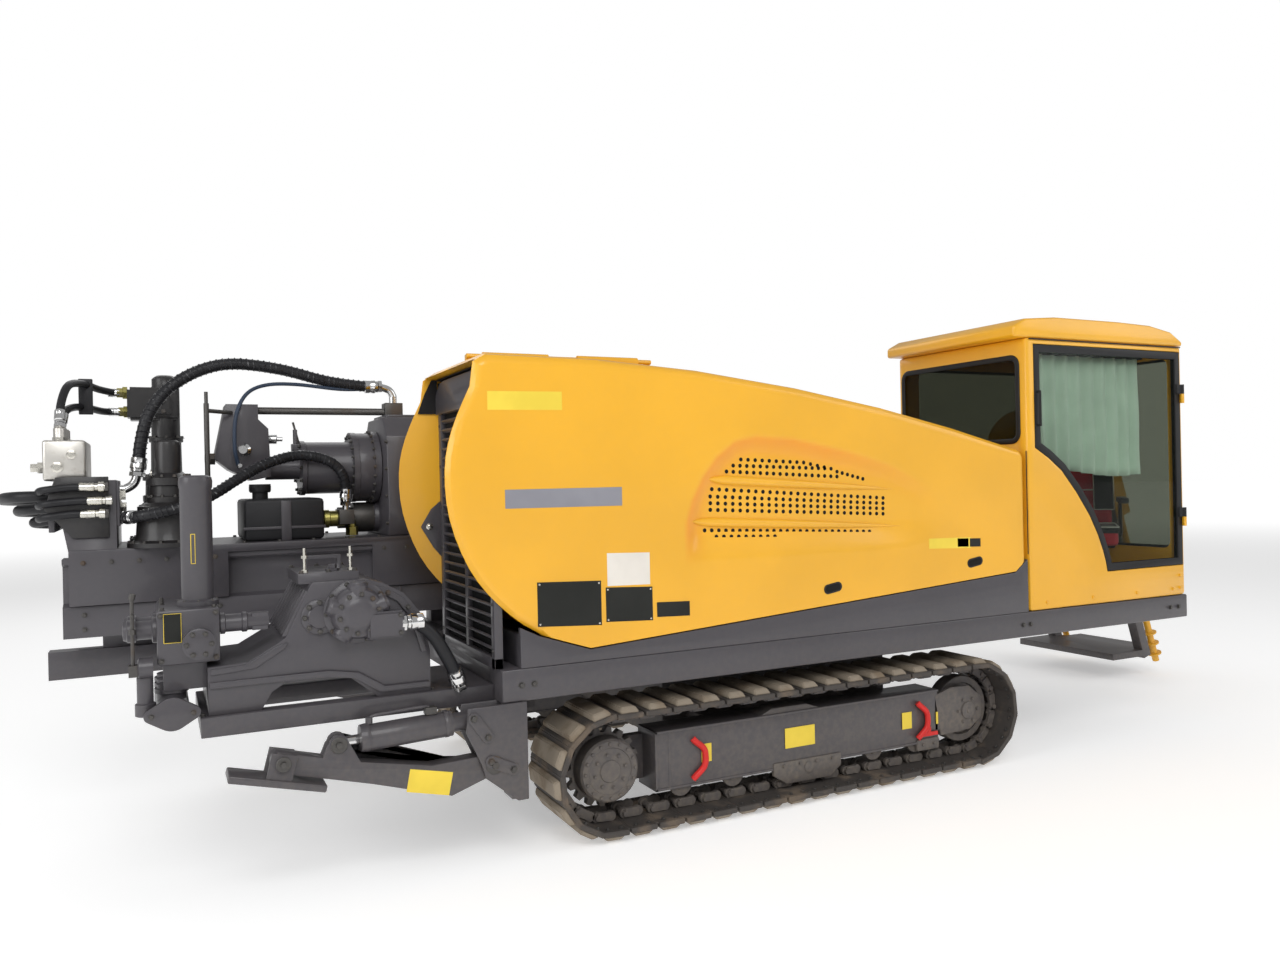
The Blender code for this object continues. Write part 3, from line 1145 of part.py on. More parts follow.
def make_drill_end():
    """The two vises, the anchor guides with their foot, and the two anchors."""
    top = MAST_Z[1] + GAP
    y = MAST_Y
    (v0, v1), (b0, b1) = VISE_X, BREAKOUT_X
    outline = ((y - 0.33, top), (y + 0.33, top), (y + 0.33, 2.02), (y + 0.22, 2.14), (y - 0.22, 2.14),
               (y - 0.33, 2.02))
    bore = arc((y, SPINDLE_Z), VISE_BORE, 0, 350, 35)
    vise = prism("clamp_vise", (outline, bore), "X", (v0, v1), grey())
    sleeve = tube("sleeve", (b0 + 0.02, y, SPINDLE_Z), (v0 + 0.02, y, SPINDLE_Z), SLEEVE_R, VISE_BORE,
                  None, 32)
    jaws = [rod("jaw", ((v0 + v1) / 2, y + side * 0.30, SPINDLE_Z), ((v0 + v1) / 2, y + side * 0.355, SPINDLE_Z),
                0.07, sides=20) for side in (-1, 1)]
    fuse(vise, sleeve, *jaws)
    lobes = []
    for start in (30, 210):
        lobes += arc((y, SPINDLE_Z), BREAKOUT_R, start, start + 120, 12)
    wrench = prism("breakout_vise", (lobes, arc((y, SPINDLE_Z), hole_radius(SLEEVE_R, 36), 0, 350, 35)), "X",
                   (b0, b1), yellow())
    pivot("breakout", "swing", ((b0 + b1) / 2, y, SPINDLE_Z), [wrench])

    make_anchors()
    return vise, wrench


def anchor_point(distance, ahead):
    """A point up the leaning anchor from its tip, and ahead of it, as (x, z)."""
    up = Vector((-math.sin(ANCHOR_LEAN), math.cos(ANCHOR_LEAN)))
    out = Vector((math.cos(ANCHOR_LEAN), math.sin(ANCHOR_LEAN)))
    return tuple(Vector(ANCHOR_FOOT) + up * distance + out * ahead)


def anchor_slab(low, high, back, front):
    return (anchor_point(low, back), anchor_point(low, front), anchor_point(high, front),
            anchor_point(high, back))


def make_anchors():
    """Leaning guides either side of the mast's end, with a driven anchor on each."""
    guides = []
    for y in ANCHOR_Y:
        guides.append(prism("anchor_guides", (anchor_slab(0.10, ANCHOR_LENGTH, -0.17, -0.09),), "Y",
                            (y - GUIDE / 2, y + GUIDE / 2), grey()))
    frame = guides[0]
    y0, y1 = ANCHOR_Y[0] - GUIDE / 2, ANCHOR_Y[1] + GUIDE / 2
    tie_x = MAST_X[1] + GAP
    extra = [guides[1],
             box("tie", (tie_x, y0, 1.10), (3.49, y1, 1.30)),
             box("foot", (3.42, y0, 0.16), (3.86, y1, 0.21)),
             box("toe", (3.80, y0 + GUIDE + 0.03, 0.16), (HALF_LENGTH, y1 - GUIDE - 0.03, 0.21))]
    fuse(frame, *extra)
    for name, y in zip(("near", "far"), ANCHOR_Y):
        anchor = prism(f"anchor_{name}", (anchor_slab(1.28, 1.62, -0.09 + GAP, 0.06),), "Y",
                       (y - 0.055, y + 0.055), yellow())
        bar = rod("bar", at(anchor_point(0, 0), y), at(anchor_point(1.30, 0), y), 0.026, sides=16)
        motor = rod("motor", at(anchor_point(1.60, 0), y), at(anchor_point(1.80, 0), y), 0.05, sides=20)
        flights = [rod("flight", at(anchor_point(0.06 + 0.09 * i, 0), y),
                       at(anchor_point(0.072 + 0.09 * i, 0), y), 0.055, sides=16) for i in range(3)]
        fuse(anchor, bar, motor, *flights)
        pivot(f"anchor_{name}", "feed", at(anchor_point(0, 0), y), [anchor])


# Pump

def make_pump():
    """The mud pump with its drive motor, on the platform ahead of the hood."""
    (x0, x1), (y0, y1), (z0, z1) = PLATFORM_X, PLATFORM_Y, PLATFORM_Z
    frame = [(x0, y0), (x1, y0), (x1, y1), (x0, y1)]
    hole = rectangle((x0 + 0.10, y0 + 0.09), (-2.36, y1 - 0.09))
    prism("pump_platform", (frame, hole), "Z", (z0, z1), grey())
    floor = z1 + GAP
    (c0, c1), (near, far) = CRANK_X, CRANK_Y
    side = ((c0, floor), (-2.97, floor), (-2.93, 0.84), (-2.88, 0.87), (-2.62, 0.87), (-2.50, floor),
            (c1, floor), (c1, 0.95), (-2.31, 1.12), (-2.38, 1.21), (-2.47, 1.26), (-2.54, CRANK_TOP),
            (FLANK[1][0] + 0.01, CRANK_TOP), FLANK[1], FLANK[0], (-2.89, 1.045), (-3.02, 0.972), (c0, 0.965))
    crank = prism("pump_crankcase", (side,), "Y", (near, far), grey())
    cover = box("cover", (-2.81, PUMP_Y - 0.19, CRANK_TOP - 0.01), (-2.56, PUMP_Y + 0.19, CRANK_TOP + 0.035))
    top = CRANK_TOP + 0.022
    handle = prism("handle", (((-2.765, top), (-2.765, top + 0.075), (-2.605, top + 0.075), (-2.605, top),
                               (-2.623, top), (-2.623, top + 0.057), (-2.747, top + 0.057), (-2.747, top)),),
                   "Y", (PUMP_Y - 0.01, PUMP_Y + 0.01))
    (foot_x, foot_z), (head_x, head_z) = FLANK
    fin_side = ((foot_x + 0.030, foot_z + 0.004), (head_x + 0.030, head_z - 0.012),
                (head_x - 0.018, head_z - 0.020), (foot_x - 0.016, foot_z + 0.003))
    pitch = (far - near - FIN - 0.02) / (FLANK_FINS - 1)
    fins = [prism("fin", (fin_side,), "Y", (near + 0.01 + pitch * index, near + 0.01 + pitch * index + FIN))
            for index in range(FLANK_FINS)]
    fuse(crank, cover, handle, *fins)

    (f0, f1), (g0, g1) = FLUID_X, FLUID_Z
    low_x = c0 - GAP
    fluid = box("pump_fluid_end", (f0, PUMP_Y - 0.23, g0), (f1, PUMP_Y + 0.20, g1), grey(), 0.010)
    body = box("body", (f0 + 0.02, PUMP_Y - 0.20, 0.88), (low_x, PUMP_Y + 0.18, g0 + 0.01))
    pots = [rod("valve_pot", (-3.30, PUMP_Y + dy, 0.80), (-3.30, PUMP_Y + dy, 0.90), 0.055, sides=18)
            for dy in (-0.13, 0, 0.13)]
    flange = rod("suction", (-3.30, PUMP_Y - 0.26, 0.80), (-3.30, PUMP_Y + 0.20, 0.80), 0.065, sides=20)
    plate = rod("suction_flange", (-3.30, PUMP_Y - 0.275, 0.80), (-3.30, PUMP_Y - 0.255, 0.80), 0.10, sides=20)
    outlet = rod("outlet", (-3.20, PUMP_Y - 0.19, 1.07), (-3.20, PUMP_Y - 0.30, 1.07), 0.05, sides=18)
    glands = [rod("gland", (f0 + 0.02, PUMP_Y + dy, 1.12), (f0 - 0.11, PUMP_Y + dy, 1.12), 0.038, sides=16)
              for dy in (-0.12, 0.02)]
    relief = rod("relief", (f1 - 0.02, PUMP_Y - 0.17, 1.13), (f1 + 0.19, PUMP_Y - 0.17, 1.13), 0.036, sides=16)
    fuse(fluid, body, *pots, flange, plate, outlet, *glands, relief)
    x, y = BOTTLE
    damper = rod("pulsation_damper", (x, y, g1 + GAP), (x, y, g1 + 0.025), 0.080, grey(), 24)
    fuse(damper, rod("bottle", (x, y, g1 + 0.015), (x, y, BOTTLE_TOP - 0.03), 0.060, sides=28),
         rod("cap", (x, y, BOTTLE_TOP - 0.04), (x, y, BOTTLE_TOP), 0.064, sides=28))

    face = near - GAP
    drive_x, drive_z = DRIVE_AT
    motor = rod("pump_motor", (drive_x, face, drive_z), (drive_x, face - 0.03, drive_z), DRIVE_R + 0.025,
                grey(), 32)
    fuse(motor, rod("case", (drive_x, face - 0.02, drive_z), (drive_x, face - 0.12, drive_z), DRIVE_R, sides=20),
         box("ports", (drive_x + 0.05, face - 0.11, 1.03), (-2.40, face - 0.04, 1.15)))
    y = face - 0.075
    route = ((-2.40 + GAP, y, 1.09), (-2.385, y, 1.09), (-2.37, y, 1.09), (-2.34, y, 1.083), (-2.27, y + 0.01, 1.02),
             (-2.21, y + 0.02, 0.92), (-2.17, y + 0.035, 0.84), (-2.155, y + 0.045, 0.80))
    pipe("pump_hose", route, 0.030, black())


def main():
    clear_scene()
    for name, side in SIDES:
        make_track(name, side)
        make_track_frame(name, side)
        make_sprocket(name, side)
    make_car_body()
    make_deck()
    make_hood()
    make_engine()
    make_cab()
    make_cab_inside()
    make_legs()
    make_pump()
    mast = make_mast()
    make_lift_cylinder()
    pivot("mast", "tilt", at(MAST_PIVOT, MAST_Y), [mast])
    head, spindle = make_power_head()
    riders = [make_carriage(), *make_feed_drives(), *head, make_carriage_hoses(), make_swivel_hoses(),
              make_motor_hoses()]
    pivot("carriage", "feed", (MOTOR_X, MAST_Y, MAST_Z[1]), riders)
    pivot("spindle", "turn", (SPINDLE_X[1], MAST_Y, SPINDLE_Z), [spindle])
    make_drill_end()


main()
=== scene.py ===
"""The looks of a tracked horizontal drilling rig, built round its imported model.

Every sub-assembly is a class that holds its sizes and dresses its own pieces. All
places are metres in the model's own frame: +X is the drilling end, -Y the service
lane with pump, hood and cab, +Z is up.
"""
from __future__ import annotations

import json
import logging
import math
from dataclasses import dataclass
from enum import Enum
from typing import Iterable, Sequence

import bmesh
import bpy
from mathutils import Matrix, Vector

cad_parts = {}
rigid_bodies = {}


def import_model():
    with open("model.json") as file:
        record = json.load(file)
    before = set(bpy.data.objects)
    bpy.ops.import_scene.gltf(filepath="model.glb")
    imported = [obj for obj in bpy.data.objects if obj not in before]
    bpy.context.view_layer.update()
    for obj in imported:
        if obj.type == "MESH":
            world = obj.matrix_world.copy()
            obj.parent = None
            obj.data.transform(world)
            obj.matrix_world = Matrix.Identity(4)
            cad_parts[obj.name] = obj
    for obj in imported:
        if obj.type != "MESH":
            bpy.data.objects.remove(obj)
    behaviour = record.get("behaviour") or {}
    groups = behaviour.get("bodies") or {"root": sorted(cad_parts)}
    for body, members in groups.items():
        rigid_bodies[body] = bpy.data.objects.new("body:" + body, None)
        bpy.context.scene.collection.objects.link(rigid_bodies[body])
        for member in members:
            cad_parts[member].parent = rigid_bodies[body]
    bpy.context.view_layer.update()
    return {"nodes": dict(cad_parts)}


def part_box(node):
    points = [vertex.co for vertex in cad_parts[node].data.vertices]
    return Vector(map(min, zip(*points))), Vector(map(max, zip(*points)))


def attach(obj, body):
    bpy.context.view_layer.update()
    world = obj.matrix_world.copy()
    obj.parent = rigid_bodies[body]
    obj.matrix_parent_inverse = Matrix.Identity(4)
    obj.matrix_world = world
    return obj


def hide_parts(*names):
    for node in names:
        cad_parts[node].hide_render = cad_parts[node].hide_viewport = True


LOG = logging.getLogger("drilling_rig")

Point = Sequence[float]
Colour = tuple[float, float, float]
Place = tuple[Point, Point]

UP: Point = (0, 0, 1)
DOWN: Point = (0, 0, -1)
AHEAD: Point = (1, 0, 0)
BACK: Point = (-1, 0, 0)
NEAR: Point = (0, -1, 0)
FAR: Point = (0, 1, 0)
ORIGIN: Point = (0, 0, 0)


class Sock:
    """A shader socket that does arithmetic by adding Math nodes."""

    def __init__(self, shade: "Shade", socket: bpy.types.NodeSocket) -> None:
        """Keeps the socket and the tree it is in."""
        self.shade = shade
        self.socket = socket

    def _math(self, operation: str, *values: object) -> "Sock":
        """Adds one Math node on the given values."""
        return self.shade.node("ShaderNodeMath", {"operation": operation}, dict(enumerate(values)))

    def __add__(self, other: object) -> "Sock":
        """Sum."""
        return self._math("ADD", self, other)

    __radd__ = __add__

    def __sub__(self, other: object) -> "Sock":
        """Difference."""
        return self._math("SUBTRACT", self, other)

    def __rsub__(self, other: object) -> "Sock":
        """Difference, from the other side."""
        return self._math("SUBTRACT", other, self)

    def __mul__(self, other: object) -> "Sock":
        """Product."""
        return self._math("MULTIPLY", self, other)

    __rmul__ = __mul__

    def sine(self) -> "Sock":
        """Sine of an angle in radians."""
        return self._math("SINE", self)

    def between(self, low: float, high: float) -> "Sock":
        """A smooth step from nought at low to one at high."""
        settings = {"interpolation_type": "SMOOTHSTEP"}
        return self.shade.node("ShaderNodeMapRange", settings, {0: self, 1: low, 2: high})


class Shade:
    """One material's node tree, with the calls that the finishes are written in."""

    def __init__(self, name: str) -> None:
        """Starts an empty material with its Principled shader.

        Args:
            name: The material's name.
        """
        self.material = bpy.data.materials.new(name)
        self.material.use_nodes = True
        self.tree = self.material.node_tree
        self.shader = self.tree.nodes["Principled BSDF"]

    def node(self, kind: str, settings: dict[str, object], values: dict[object, object],
             output: object = 0) -> Sock:
        """Adds any node.

        Args:
            kind: The node's type name.
            settings: Its own settings, set first.
            values: Numbers, colours or sockets by input name or index.
            output: The name or index of the output wanted.

        Returns:
            The wanted output.
        """
        made = self.tree.nodes.new(kind)
        for key, value in settings.items():
            setattr(made, key, value)
        for key, value in values.items():
            self.feed(made.inputs[key], value)
        return Sock(self, made.outputs[output])

    def feed(self, target: bpy.types.NodeSocket, value: object) -> None:
        """Links a socket to an input, or sets the input's own value.

        Args:
            target: The input.
            value: A socket, or a number or colour.
        """
        if isinstance(value, Sock):
            self.tree.links.new(value.socket, target)
        else:
            target.default_value = value

    def place(self) -> Sock:
        """Object coordinates."""
        return self.node("ShaderNodeTexCoord", {}, {}, "Object")

    def axes(self) -> tuple[Sock, Sock, Sock]:
        """The three object coordinates as numbers.

        Returns:
            One socket for each axis.
        """
        first = self.node("ShaderNodeSeparateXYZ", {}, {0: self.place()})
        outs = first.socket.node.outputs
        return Sock(self, outs[0]), Sock(self, outs[1]), Sock(self, outs[2])

    def noise(self, scale: float, detail: float = 3.0) -> Sock:
        """Smooth noise of about the given number of blotches to a metre."""
        return self.node("ShaderNodeTexNoise", {}, {"Vector": self.place(), "Scale": scale, "Detail": detail})

    def blend(self, amount: object, first: object, second: object) -> Sock:
        """Colour that goes from first to second by an amount."""
        return self.node("ShaderNodeMix", {"data_type": "RGBA"}, {0: amount, 6: first, 7: second}, 2)

    def bump(self, height: Sock, strength: float, distance: float) -> Sock:
        """A normal from a height."""
        return self.node("ShaderNodeBump", {}, {"Height": height, "Strength": strength,
                                                "Distance": distance})

    def set(self, **values: object) -> None:
        """Feeds the Principled shader's inputs, with spaces written as underscores."""
        for key, value in values.items():
            self.feed(self.shader.inputs[key.replace("_", " ")], value)


def rgba(colour: Colour) -> tuple[float, float, float, float]:
    """A colour with full alpha."""
    return (*colour, 1.0)


def scaled(colour: Colour, factor: float) -> Colour:
    """A lighter or darker version of a colour."""
    return tuple(channel * factor for channel in colour)


@dataclass(frozen=True)
class Enamel:
    """Sprayed machine enamel with fine orange peel, faint dust and rubbed patches."""

    name: str
    colour: Colour
    roughness: float = 0.36
    coat: float = 0.35
    dust: float = 0.18
    dust_colour: Colour = (0.34, 0.28, 0.20)
    dust_top: float = 1.0
    peel: float = 0.12
    # painted shade: when given, a deeper orange that stands in for the shade along a pressing's rim
    hollow: Colour | None = None

    def build(self) -> bpy.types.Material:
        """Makes the material.

        Returns:
            The finished material.
        """
        shade = Shade(self.name)
        _, _, height = shade.axes()
        cloud = shade.noise(1.7, 4.0)
        speck = shade.noise(38.0, 5.0)
        tone = shade.blend(cloud.between(0.3, 0.7), rgba(scaled(self.colour, 0.95)),
                           rgba(scaled(self.colour, 1.04)))
        # painted shade: the deeper orange is blended in by the piece's own attribute, where the pressing's
        # rim lies in shade
        if self.hollow:
            painted_shade_share = shade.node("ShaderNodeAttribute", {"attribute_name": "hollow"}, {}, "Fac")
            tone = shade.blend(painted_shade_share, tone, rgba(self.hollow))
        low = 1.0 - height.between(0.15, self.dust_top)
        settled = (low * self.dust * 0.5 + 0.02) * speck.between(0.25, 0.85) + low * self.dust * 0.25
        shade.set(Base_Color=shade.blend(settled, tone, rgba(self.dust_colour)),
                  Roughness=(settled * 0.5 + self.roughness + shade.noise(9.0) * 0.08),
                  Normal=shade.bump(shade.noise(420.0, 2.0), self.peel, 0.0006),
                  Coat_Weight=self.coat, Coat_Roughness=0.12)
        return shade.material


@dataclass(frozen=True)
class CastSteel:
    """Bare or darkly scaled steel, with grain and rust-brown patches."""

    name: str
    colour: Colour
    rust: Colour
    share: float = 0.4
    roughness: float = 0.55
    metallic: float = 0.6
    grain: float = 0.35

    def build(self) -> bpy.types.Material:
        """Makes the material.

        Returns:
            The finished material.
        """
        shade = Shade(self.name)
        patch = shade.noise(7.0, 6.0).between(0.62 - self.share * 0.3, 0.80 - self.share * 0.2)
        fine = shade.noise(160.0, 4.0)
        colour = shade.blend(patch, rgba(self.colour), rgba(self.rust))
        shade.set(Base_Color=shade.blend(fine * 0.35, colour, rgba(scaled(self.colour, 0.5))),
                  Roughness=patch * 0.3 + self.roughness + fine * 0.1,
                  Metallic=self.metallic - patch * self.metallic * 0.8,
                  Normal=shade.bump(fine, self.grain, 0.0012))
        return shade.material


@dataclass(frozen=True)
class Plated:
    """Zinc or chrome plate with turning marks."""

    name: str
    colour: Colour
    roughness: float = 0.22
    tarnish: Colour = (0.30, 0.27, 0.22)

    def build(self) -> bpy.types.Material:
        """Makes the material.

        Returns:
            The finished material.
        """
        shade = Shade(self.name)
        film = shade.noise(24.0, 4.0).between(0.5, 0.8)
        shade.set(Base_Color=shade.blend(film * 0.5, rgba(self.colour), rgba(self.tarnish)),
                  Roughness=film * 0.2 + self.roughness, Metallic=1.0,
                  Normal=shade.bump(shade.noise(300.0, 2.0), 0.08, 0.0005))
        return shade.material


@dataclass(frozen=True)
class Moulded:
    """Rubber or moulded plastic with a fine even grain."""

    name: str
    colour: Colour
    roughness: float = 0.6
    grain_scale: float = 500.0
    grain: float = 0.25
    shine: float = 0.30

    def build(self) -> bpy.types.Material:
        """Makes the material.

        Returns:
            The finished material.
        """
        shade = Shade(self.name)
        cloud = shade.noise(6.0, 3.0)
        shade.set(Base_Color=shade.blend(cloud.between(0.3, 0.8), rgba(self.colour),
                                         rgba(tuple(channel * 1.12 + 0.004 for channel in self.colour))),
                  Roughness=cloud * 0.15 + self.roughness - 0.07, Specular_IOR_Level=self.shine,
                  Normal=shade.bump(shade.noise(self.grain_scale, 2.0), self.grain, 0.0005))
        return shade.material


@dataclass(frozen=True)
class Glazing:
    """Tinted safety glass that shows the cab behind it."""

    name: str
    tint: Colour
    clear: float
    passing: Colour

    def build(self) -> bpy.types.Material:
        """Makes the material.

        Returns:
            The finished material.
        """
        shade = Shade(self.name)
        smear = shade.noise(3.0, 3.0)
        shade.set(Base_Color=rgba(self.tint), Roughness=smear.between(0.45, 0.9) * 0.06 + 0.02,
                  Specular_IOR_Level=0.6)
        see = shade.node("ShaderNodeBsdfTransparent", {}, {"Color": rgba(self.passing)})
        mixed = shade.node("ShaderNodeMixShader", {}, {0: self.clear, 1: Sock(shade, shade.shader.outputs[0]),
                                                       2: see})
        shade.tree.links.new(mixed.socket, shade.tree.nodes["Material Output"].inputs["Surface"])
        shade.material.surface_render_method = "BLENDED"
        return shade.material


@dataclass(frozen=True)
class Cloth:
    """Woven cloth with threads both ways."""

    name: str
    colour: Colour
    thread: float = 900.0
    roughness: float = 0.85
    fade: float = 0.85

    def build(self) -> bpy.types.Material:
        """Makes the material.

        Returns:
            The finished material.
        """
        shade = Shade(self.name)
        x, y, z = shade.axes()
        weave = ((x + y) * self.thread).sine() * (z * self.thread).sine()
        cloud = shade.noise(5.0, 3.0)
        shade.set(Base_Color=shade.blend(cloud.between(0.3, 0.8), rgba(scaled(self.colour, self.fade)),
                                         rgba(self.colour)),
                  Roughness=weave * 0.05 + self.roughness, Normal=shade.bump(weave, 0.25, 0.0006),
                  Sheen_Weight=0.3)
        return shade.material


class Finish(Enum):
    """The named finishes of the rig."""

    YELLOW = Enamel("rig_yellow", (0.83, 0.420, 0.015), dust=0.08)
    # painted shade: the pressing's yellow, with a deeper orange painted along its rim where it lies in shade
    PRESSED = Enamel("pressed_yellow", (0.83, 0.420, 0.015), dust=0.08, hollow=(0.84, 0.290, 0.003))
    GREY = Enamel("frame_grey", (0.056, 0.052, 0.060), 0.42, 0.25, 0.20)
    BLACK = Enamel("drive_black", (0.010, 0.009, 0.010), 0.42, 0.2, 0.12)
    UNDERCARRIAGE = Enamel("undercarriage_grey", (0.068, 0.063, 0.068), 0.5, 0.1, 0.45, dust_top=0.8)
    SHOE = CastSteel("track_shoe", (0.075, 0.066, 0.060), (0.17, 0.13, 0.095), 0.55, 0.6, 0.30)
    PAD = CastSteel("worn_pad", (0.30, 0.25, 0.19), (0.20, 0.15, 0.10), 0.6, 0.7, 0.1)
    STEEL = CastSteel("dark_steel", (0.11, 0.105, 0.10), (0.10, 0.07, 0.05), 0.3, 0.45, 0.8)
    CHROME = Plated("chrome_rod", (0.72, 0.72, 0.72), 0.12)
    ZINC = Plated("zinc_fitting", (0.66, 0.64, 0.58), 0.26)
    BRASS = Plated("brass_fitting", (0.42, 0.38, 0.12), 0.35)
    ALUMINIUM = Plated("milled_aluminium", (0.62, 0.60, 0.56), 0.38)
    RUBBER = Moulded("hose_rubber", (0.012, 0.012, 0.014), 0.42)
    GUARD = Moulded("hose_guard", (0.020, 0.020, 0.023), 0.22, 300.0, 0.1)
    THIN_HOSE = Moulded("thin_hose_jacket", (0.030, 0.045, 0.075), 0.40, 90.0)
    SEAL = Moulded("window_seal", (0.010, 0.010, 0.011), 0.5)
    PLASTIC = Moulded("black_plastic", (0.016, 0.016, 0.018), 0.5)
    # painted shade: a near-black matte that stands in for the shade inside holes and pockets and behind the
    # grille's slats
    SHADOW = Moulded("bay_dark", (0.006, 0.006, 0.006), 0.9)
    GLASS = Glazing("tinted_glass", (0.010, 0.014, 0.012), 0.88, (0.84, 0.87, 0.84))
    DARK_GLASS = Glazing("dark_glass", (0.012, 0.014, 0.010), 0.86, (0.46, 0.47, 0.42))
    RED = Moulded("handle_red", (0.62, 0.025, 0.022), 0.35, 200.0, 0.05)
    DECAL_YELLOW = Moulded("blank_label", (0.78, 0.58, 0.060), 0.4, 200.0, 0.03)
    DECAL_BLACK = Moulded("blank_plate", (0.010, 0.011, 0.009), 0.45, 200.0, 0.03)
    DECAL_WHITE = Moulded("blank_sheet", (0.70, 0.66, 0.60), 0.5, 200.0, 0.03)
    DECAL_GREY = Moulded("grey_stripe", (0.24, 0.24, 0.27), 0.35, 200.0, 0.03)
    SEAT_RED = Cloth("seat_red", (0.55, 0.025, 0.045))
    SEAT_BLACK = Cloth("seat_black", (0.020, 0.019, 0.021))
    PIPING = Cloth("seat_piping", (0.66, 0.64, 0.60), 1400.0)
    BLIND = Cloth("pleated_blind", (0.78, 0.93, 0.81), 1200.0)


MADE: dict[Finish, bpy.types.Material] = {}


def paint(finish: Finish) -> bpy.types.Material:
    """The material of a finish, built the first time it is asked for.

    Args:
        finish: The finish.

    Returns:
        Its material.
    """
    if finish not in MADE:
        MADE[finish] = finish.value.build()
    return MADE[finish]


def link(name: str, mesh: bpy.types.Mesh) -> bpy.types.Object:
    """Links a mesh as an object of the scene.

    Args:
        name: The object's name.
        mesh: The mesh.

    Returns:
        The object.
    """
    made = bpy.data.objects.new(name, mesh)
    bpy.context.scene.collection.objects.link(made)
    return made


def mesh_of(name: str, shape: bmesh.types.BMesh, smooth: float = 35.0) -> bpy.types.Mesh:
    """Turns a bmesh into a mesh with its rounds shaded smooth.

    Args:
        name: The mesh's name.
        shape: The bmesh, which is freed.
        smooth: Edges sharper than this many degrees stay sharp.

    Returns:
        The mesh.
    """
    mesh = bpy.data.meshes.new(name)
    shape.to_mesh(mesh)
    shape.free()
    mesh.shade_smooth()
    mesh.set_sharp_from_angle(angle=math.radians(smooth))
    return mesh


def settle(made: bpy.types.Object) -> bpy.types.Object:
    """Applies an object's modifiers to a plain mesh of its own.

    Args:
        made: The object.

    Returns:
        The same object.
    """
    graph = bpy.context.evaluated_depsgraph_get()
    graph.update()
    mesh = bpy.data.meshes.new_from_object(made.evaluated_get(graph))
    made.modifiers.clear()
    made.data = mesh
    return made


def cut(made: bpy.types.Object, knife: bpy.types.Object) -> None:
    """Takes the knife's shape off an object.

    Args:
        made: The object, which is settled.
        knife: The object that cuts, which is removed.
    """
    step = made.modifiers.new("cut", "BOOLEAN")
    step.object = knife
    step.solver = "EXACT"
    settle(made)
    bpy.data.objects.remove(knife)


def soften(made: bpy.types.Object, width: float, segments: int = 2, angle: float = 30.0) -> bpy.types.Object:
    """Rounds an object's sharp edges and settles it.

    Args:
        made: The object.
        width: The width of the rounding.
        segments: How many facets it has.
        angle: Edges sharper than this many degrees are rounded.

    Returns:
        The same object.
    """
    edge = made.modifiers.new("rounded", "BEVEL")
    edge.width = width
    edge.segments = segments
    edge.limit_method = "ANGLE"
    edge.angle_limit = math.radians(angle)
    settle(made)
    made.data.shade_smooth()
    made.data.set_sharp_from_angle(angle=math.radians(40))
    return made


def dress(made: bpy.types.Object, finish: Finish, body: str, *nodes: str) -> bpy.types.Object:
    """Gives a piece its finish and its body, and hides the nodes it stands for.

    Args:
        made: The piece.
        finish: Its finish.
        body: The body it rides on.
        nodes: The model's nodes that it replaces.

    Returns:
        The same piece.
    """
    made.data.materials.clear()
    made.data.materials.append(paint(finish))
    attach(made, body)
    if nodes:
        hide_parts(*nodes)
    LOG.info("%s rides on %s", made.name, body)
    return made


def refine(node: str, finish: Finish, body: str, width: float = 0.004) -> bpy.types.Object:
    """Replaces a node by a copy with softly rounded edges.

    Args:
        node: The node's name.
        finish: The finish of the copy.
        body: The body it rides on.
        width: The width of the rounding.

    Returns:
        The new piece.
    """
    shape = bmesh.new()
    shape.from_mesh(FRAME["nodes"][node].data)
    shape.transform(FRAME["nodes"][node].matrix_world)
    bmesh.ops.remove_doubles(shape, verts=shape.verts, dist=0.00002)
    bmesh.ops.dissolve_limit(shape, angle_limit=math.radians(0.5), verts=shape.verts, edges=shape.edges)
    made = link(node + "_skin", mesh_of(node, shape))
    soften(made, width)
    return dress(made, finish, body, node)


def block(low: Point, high: Point) -> bmesh.types.BMesh:
    """A block between two corners.

    Args:
        low: The corner with the lowest coordinates.
        high: The corner with the highest.

    Returns:
        The closed shape.
    """
    shape = bmesh.new()
    bmesh.ops.create_cube(shape, size=1.0)
    size = Vector(high) - Vector(low)
    bmesh.ops.scale(shape, vec=size, verts=shape.verts)
    bmesh.ops.translate(shape, vec=(Vector(low) + Vector(high)) / 2, verts=shape.verts)
    return shape


def bevel_edges(shape: bmesh.types.BMesh, width: float, segments: int = 2) -> None:
    """Bevels all edges of a shape."""
    bmesh.ops.bevel(shape, geom=shape.edges[:], offset=width, segments=segments, affect="EDGES")


def turned(start: Point, direction: Point, profile: Sequence[tuple[float, float]],
           sides: int = 24) -> bmesh.types.BMesh:
    """A solid of revolution.

    Args:
        start: The point on its axis that the profile is measured from.
        direction: The axis.
        profile: Pairs of distance along the axis and radius, from one end to the other.
        sides: How many faces go round.

    Returns:
        The closed shape.
    """
    shape = bmesh.new()
    rings = []
    for distance, radius in profile:
        rings.append([shape.verts.new((radius * math.cos(2 * math.pi * k / sides),
                                       radius * math.sin(2 * math.pi * k / sides), distance))
                      for k in range(sides)])
    for ring, after in zip(rings, rings[1:]):
        for k in range(sides):
            shape.faces.new((ring[k], ring[(k + 1) % sides], after[(k + 1) % sides], after[k]))
    shape.faces.new(list(reversed(rings[0])))
    shape.faces.new(rings[-1])
    turn = Vector(direction).to_track_quat("Z", "Y").to_matrix().to_4x4()
    bmesh.ops.transform(shape, matrix=Matrix.Translation(start) @ turn, verts=shape.verts)
    return shape


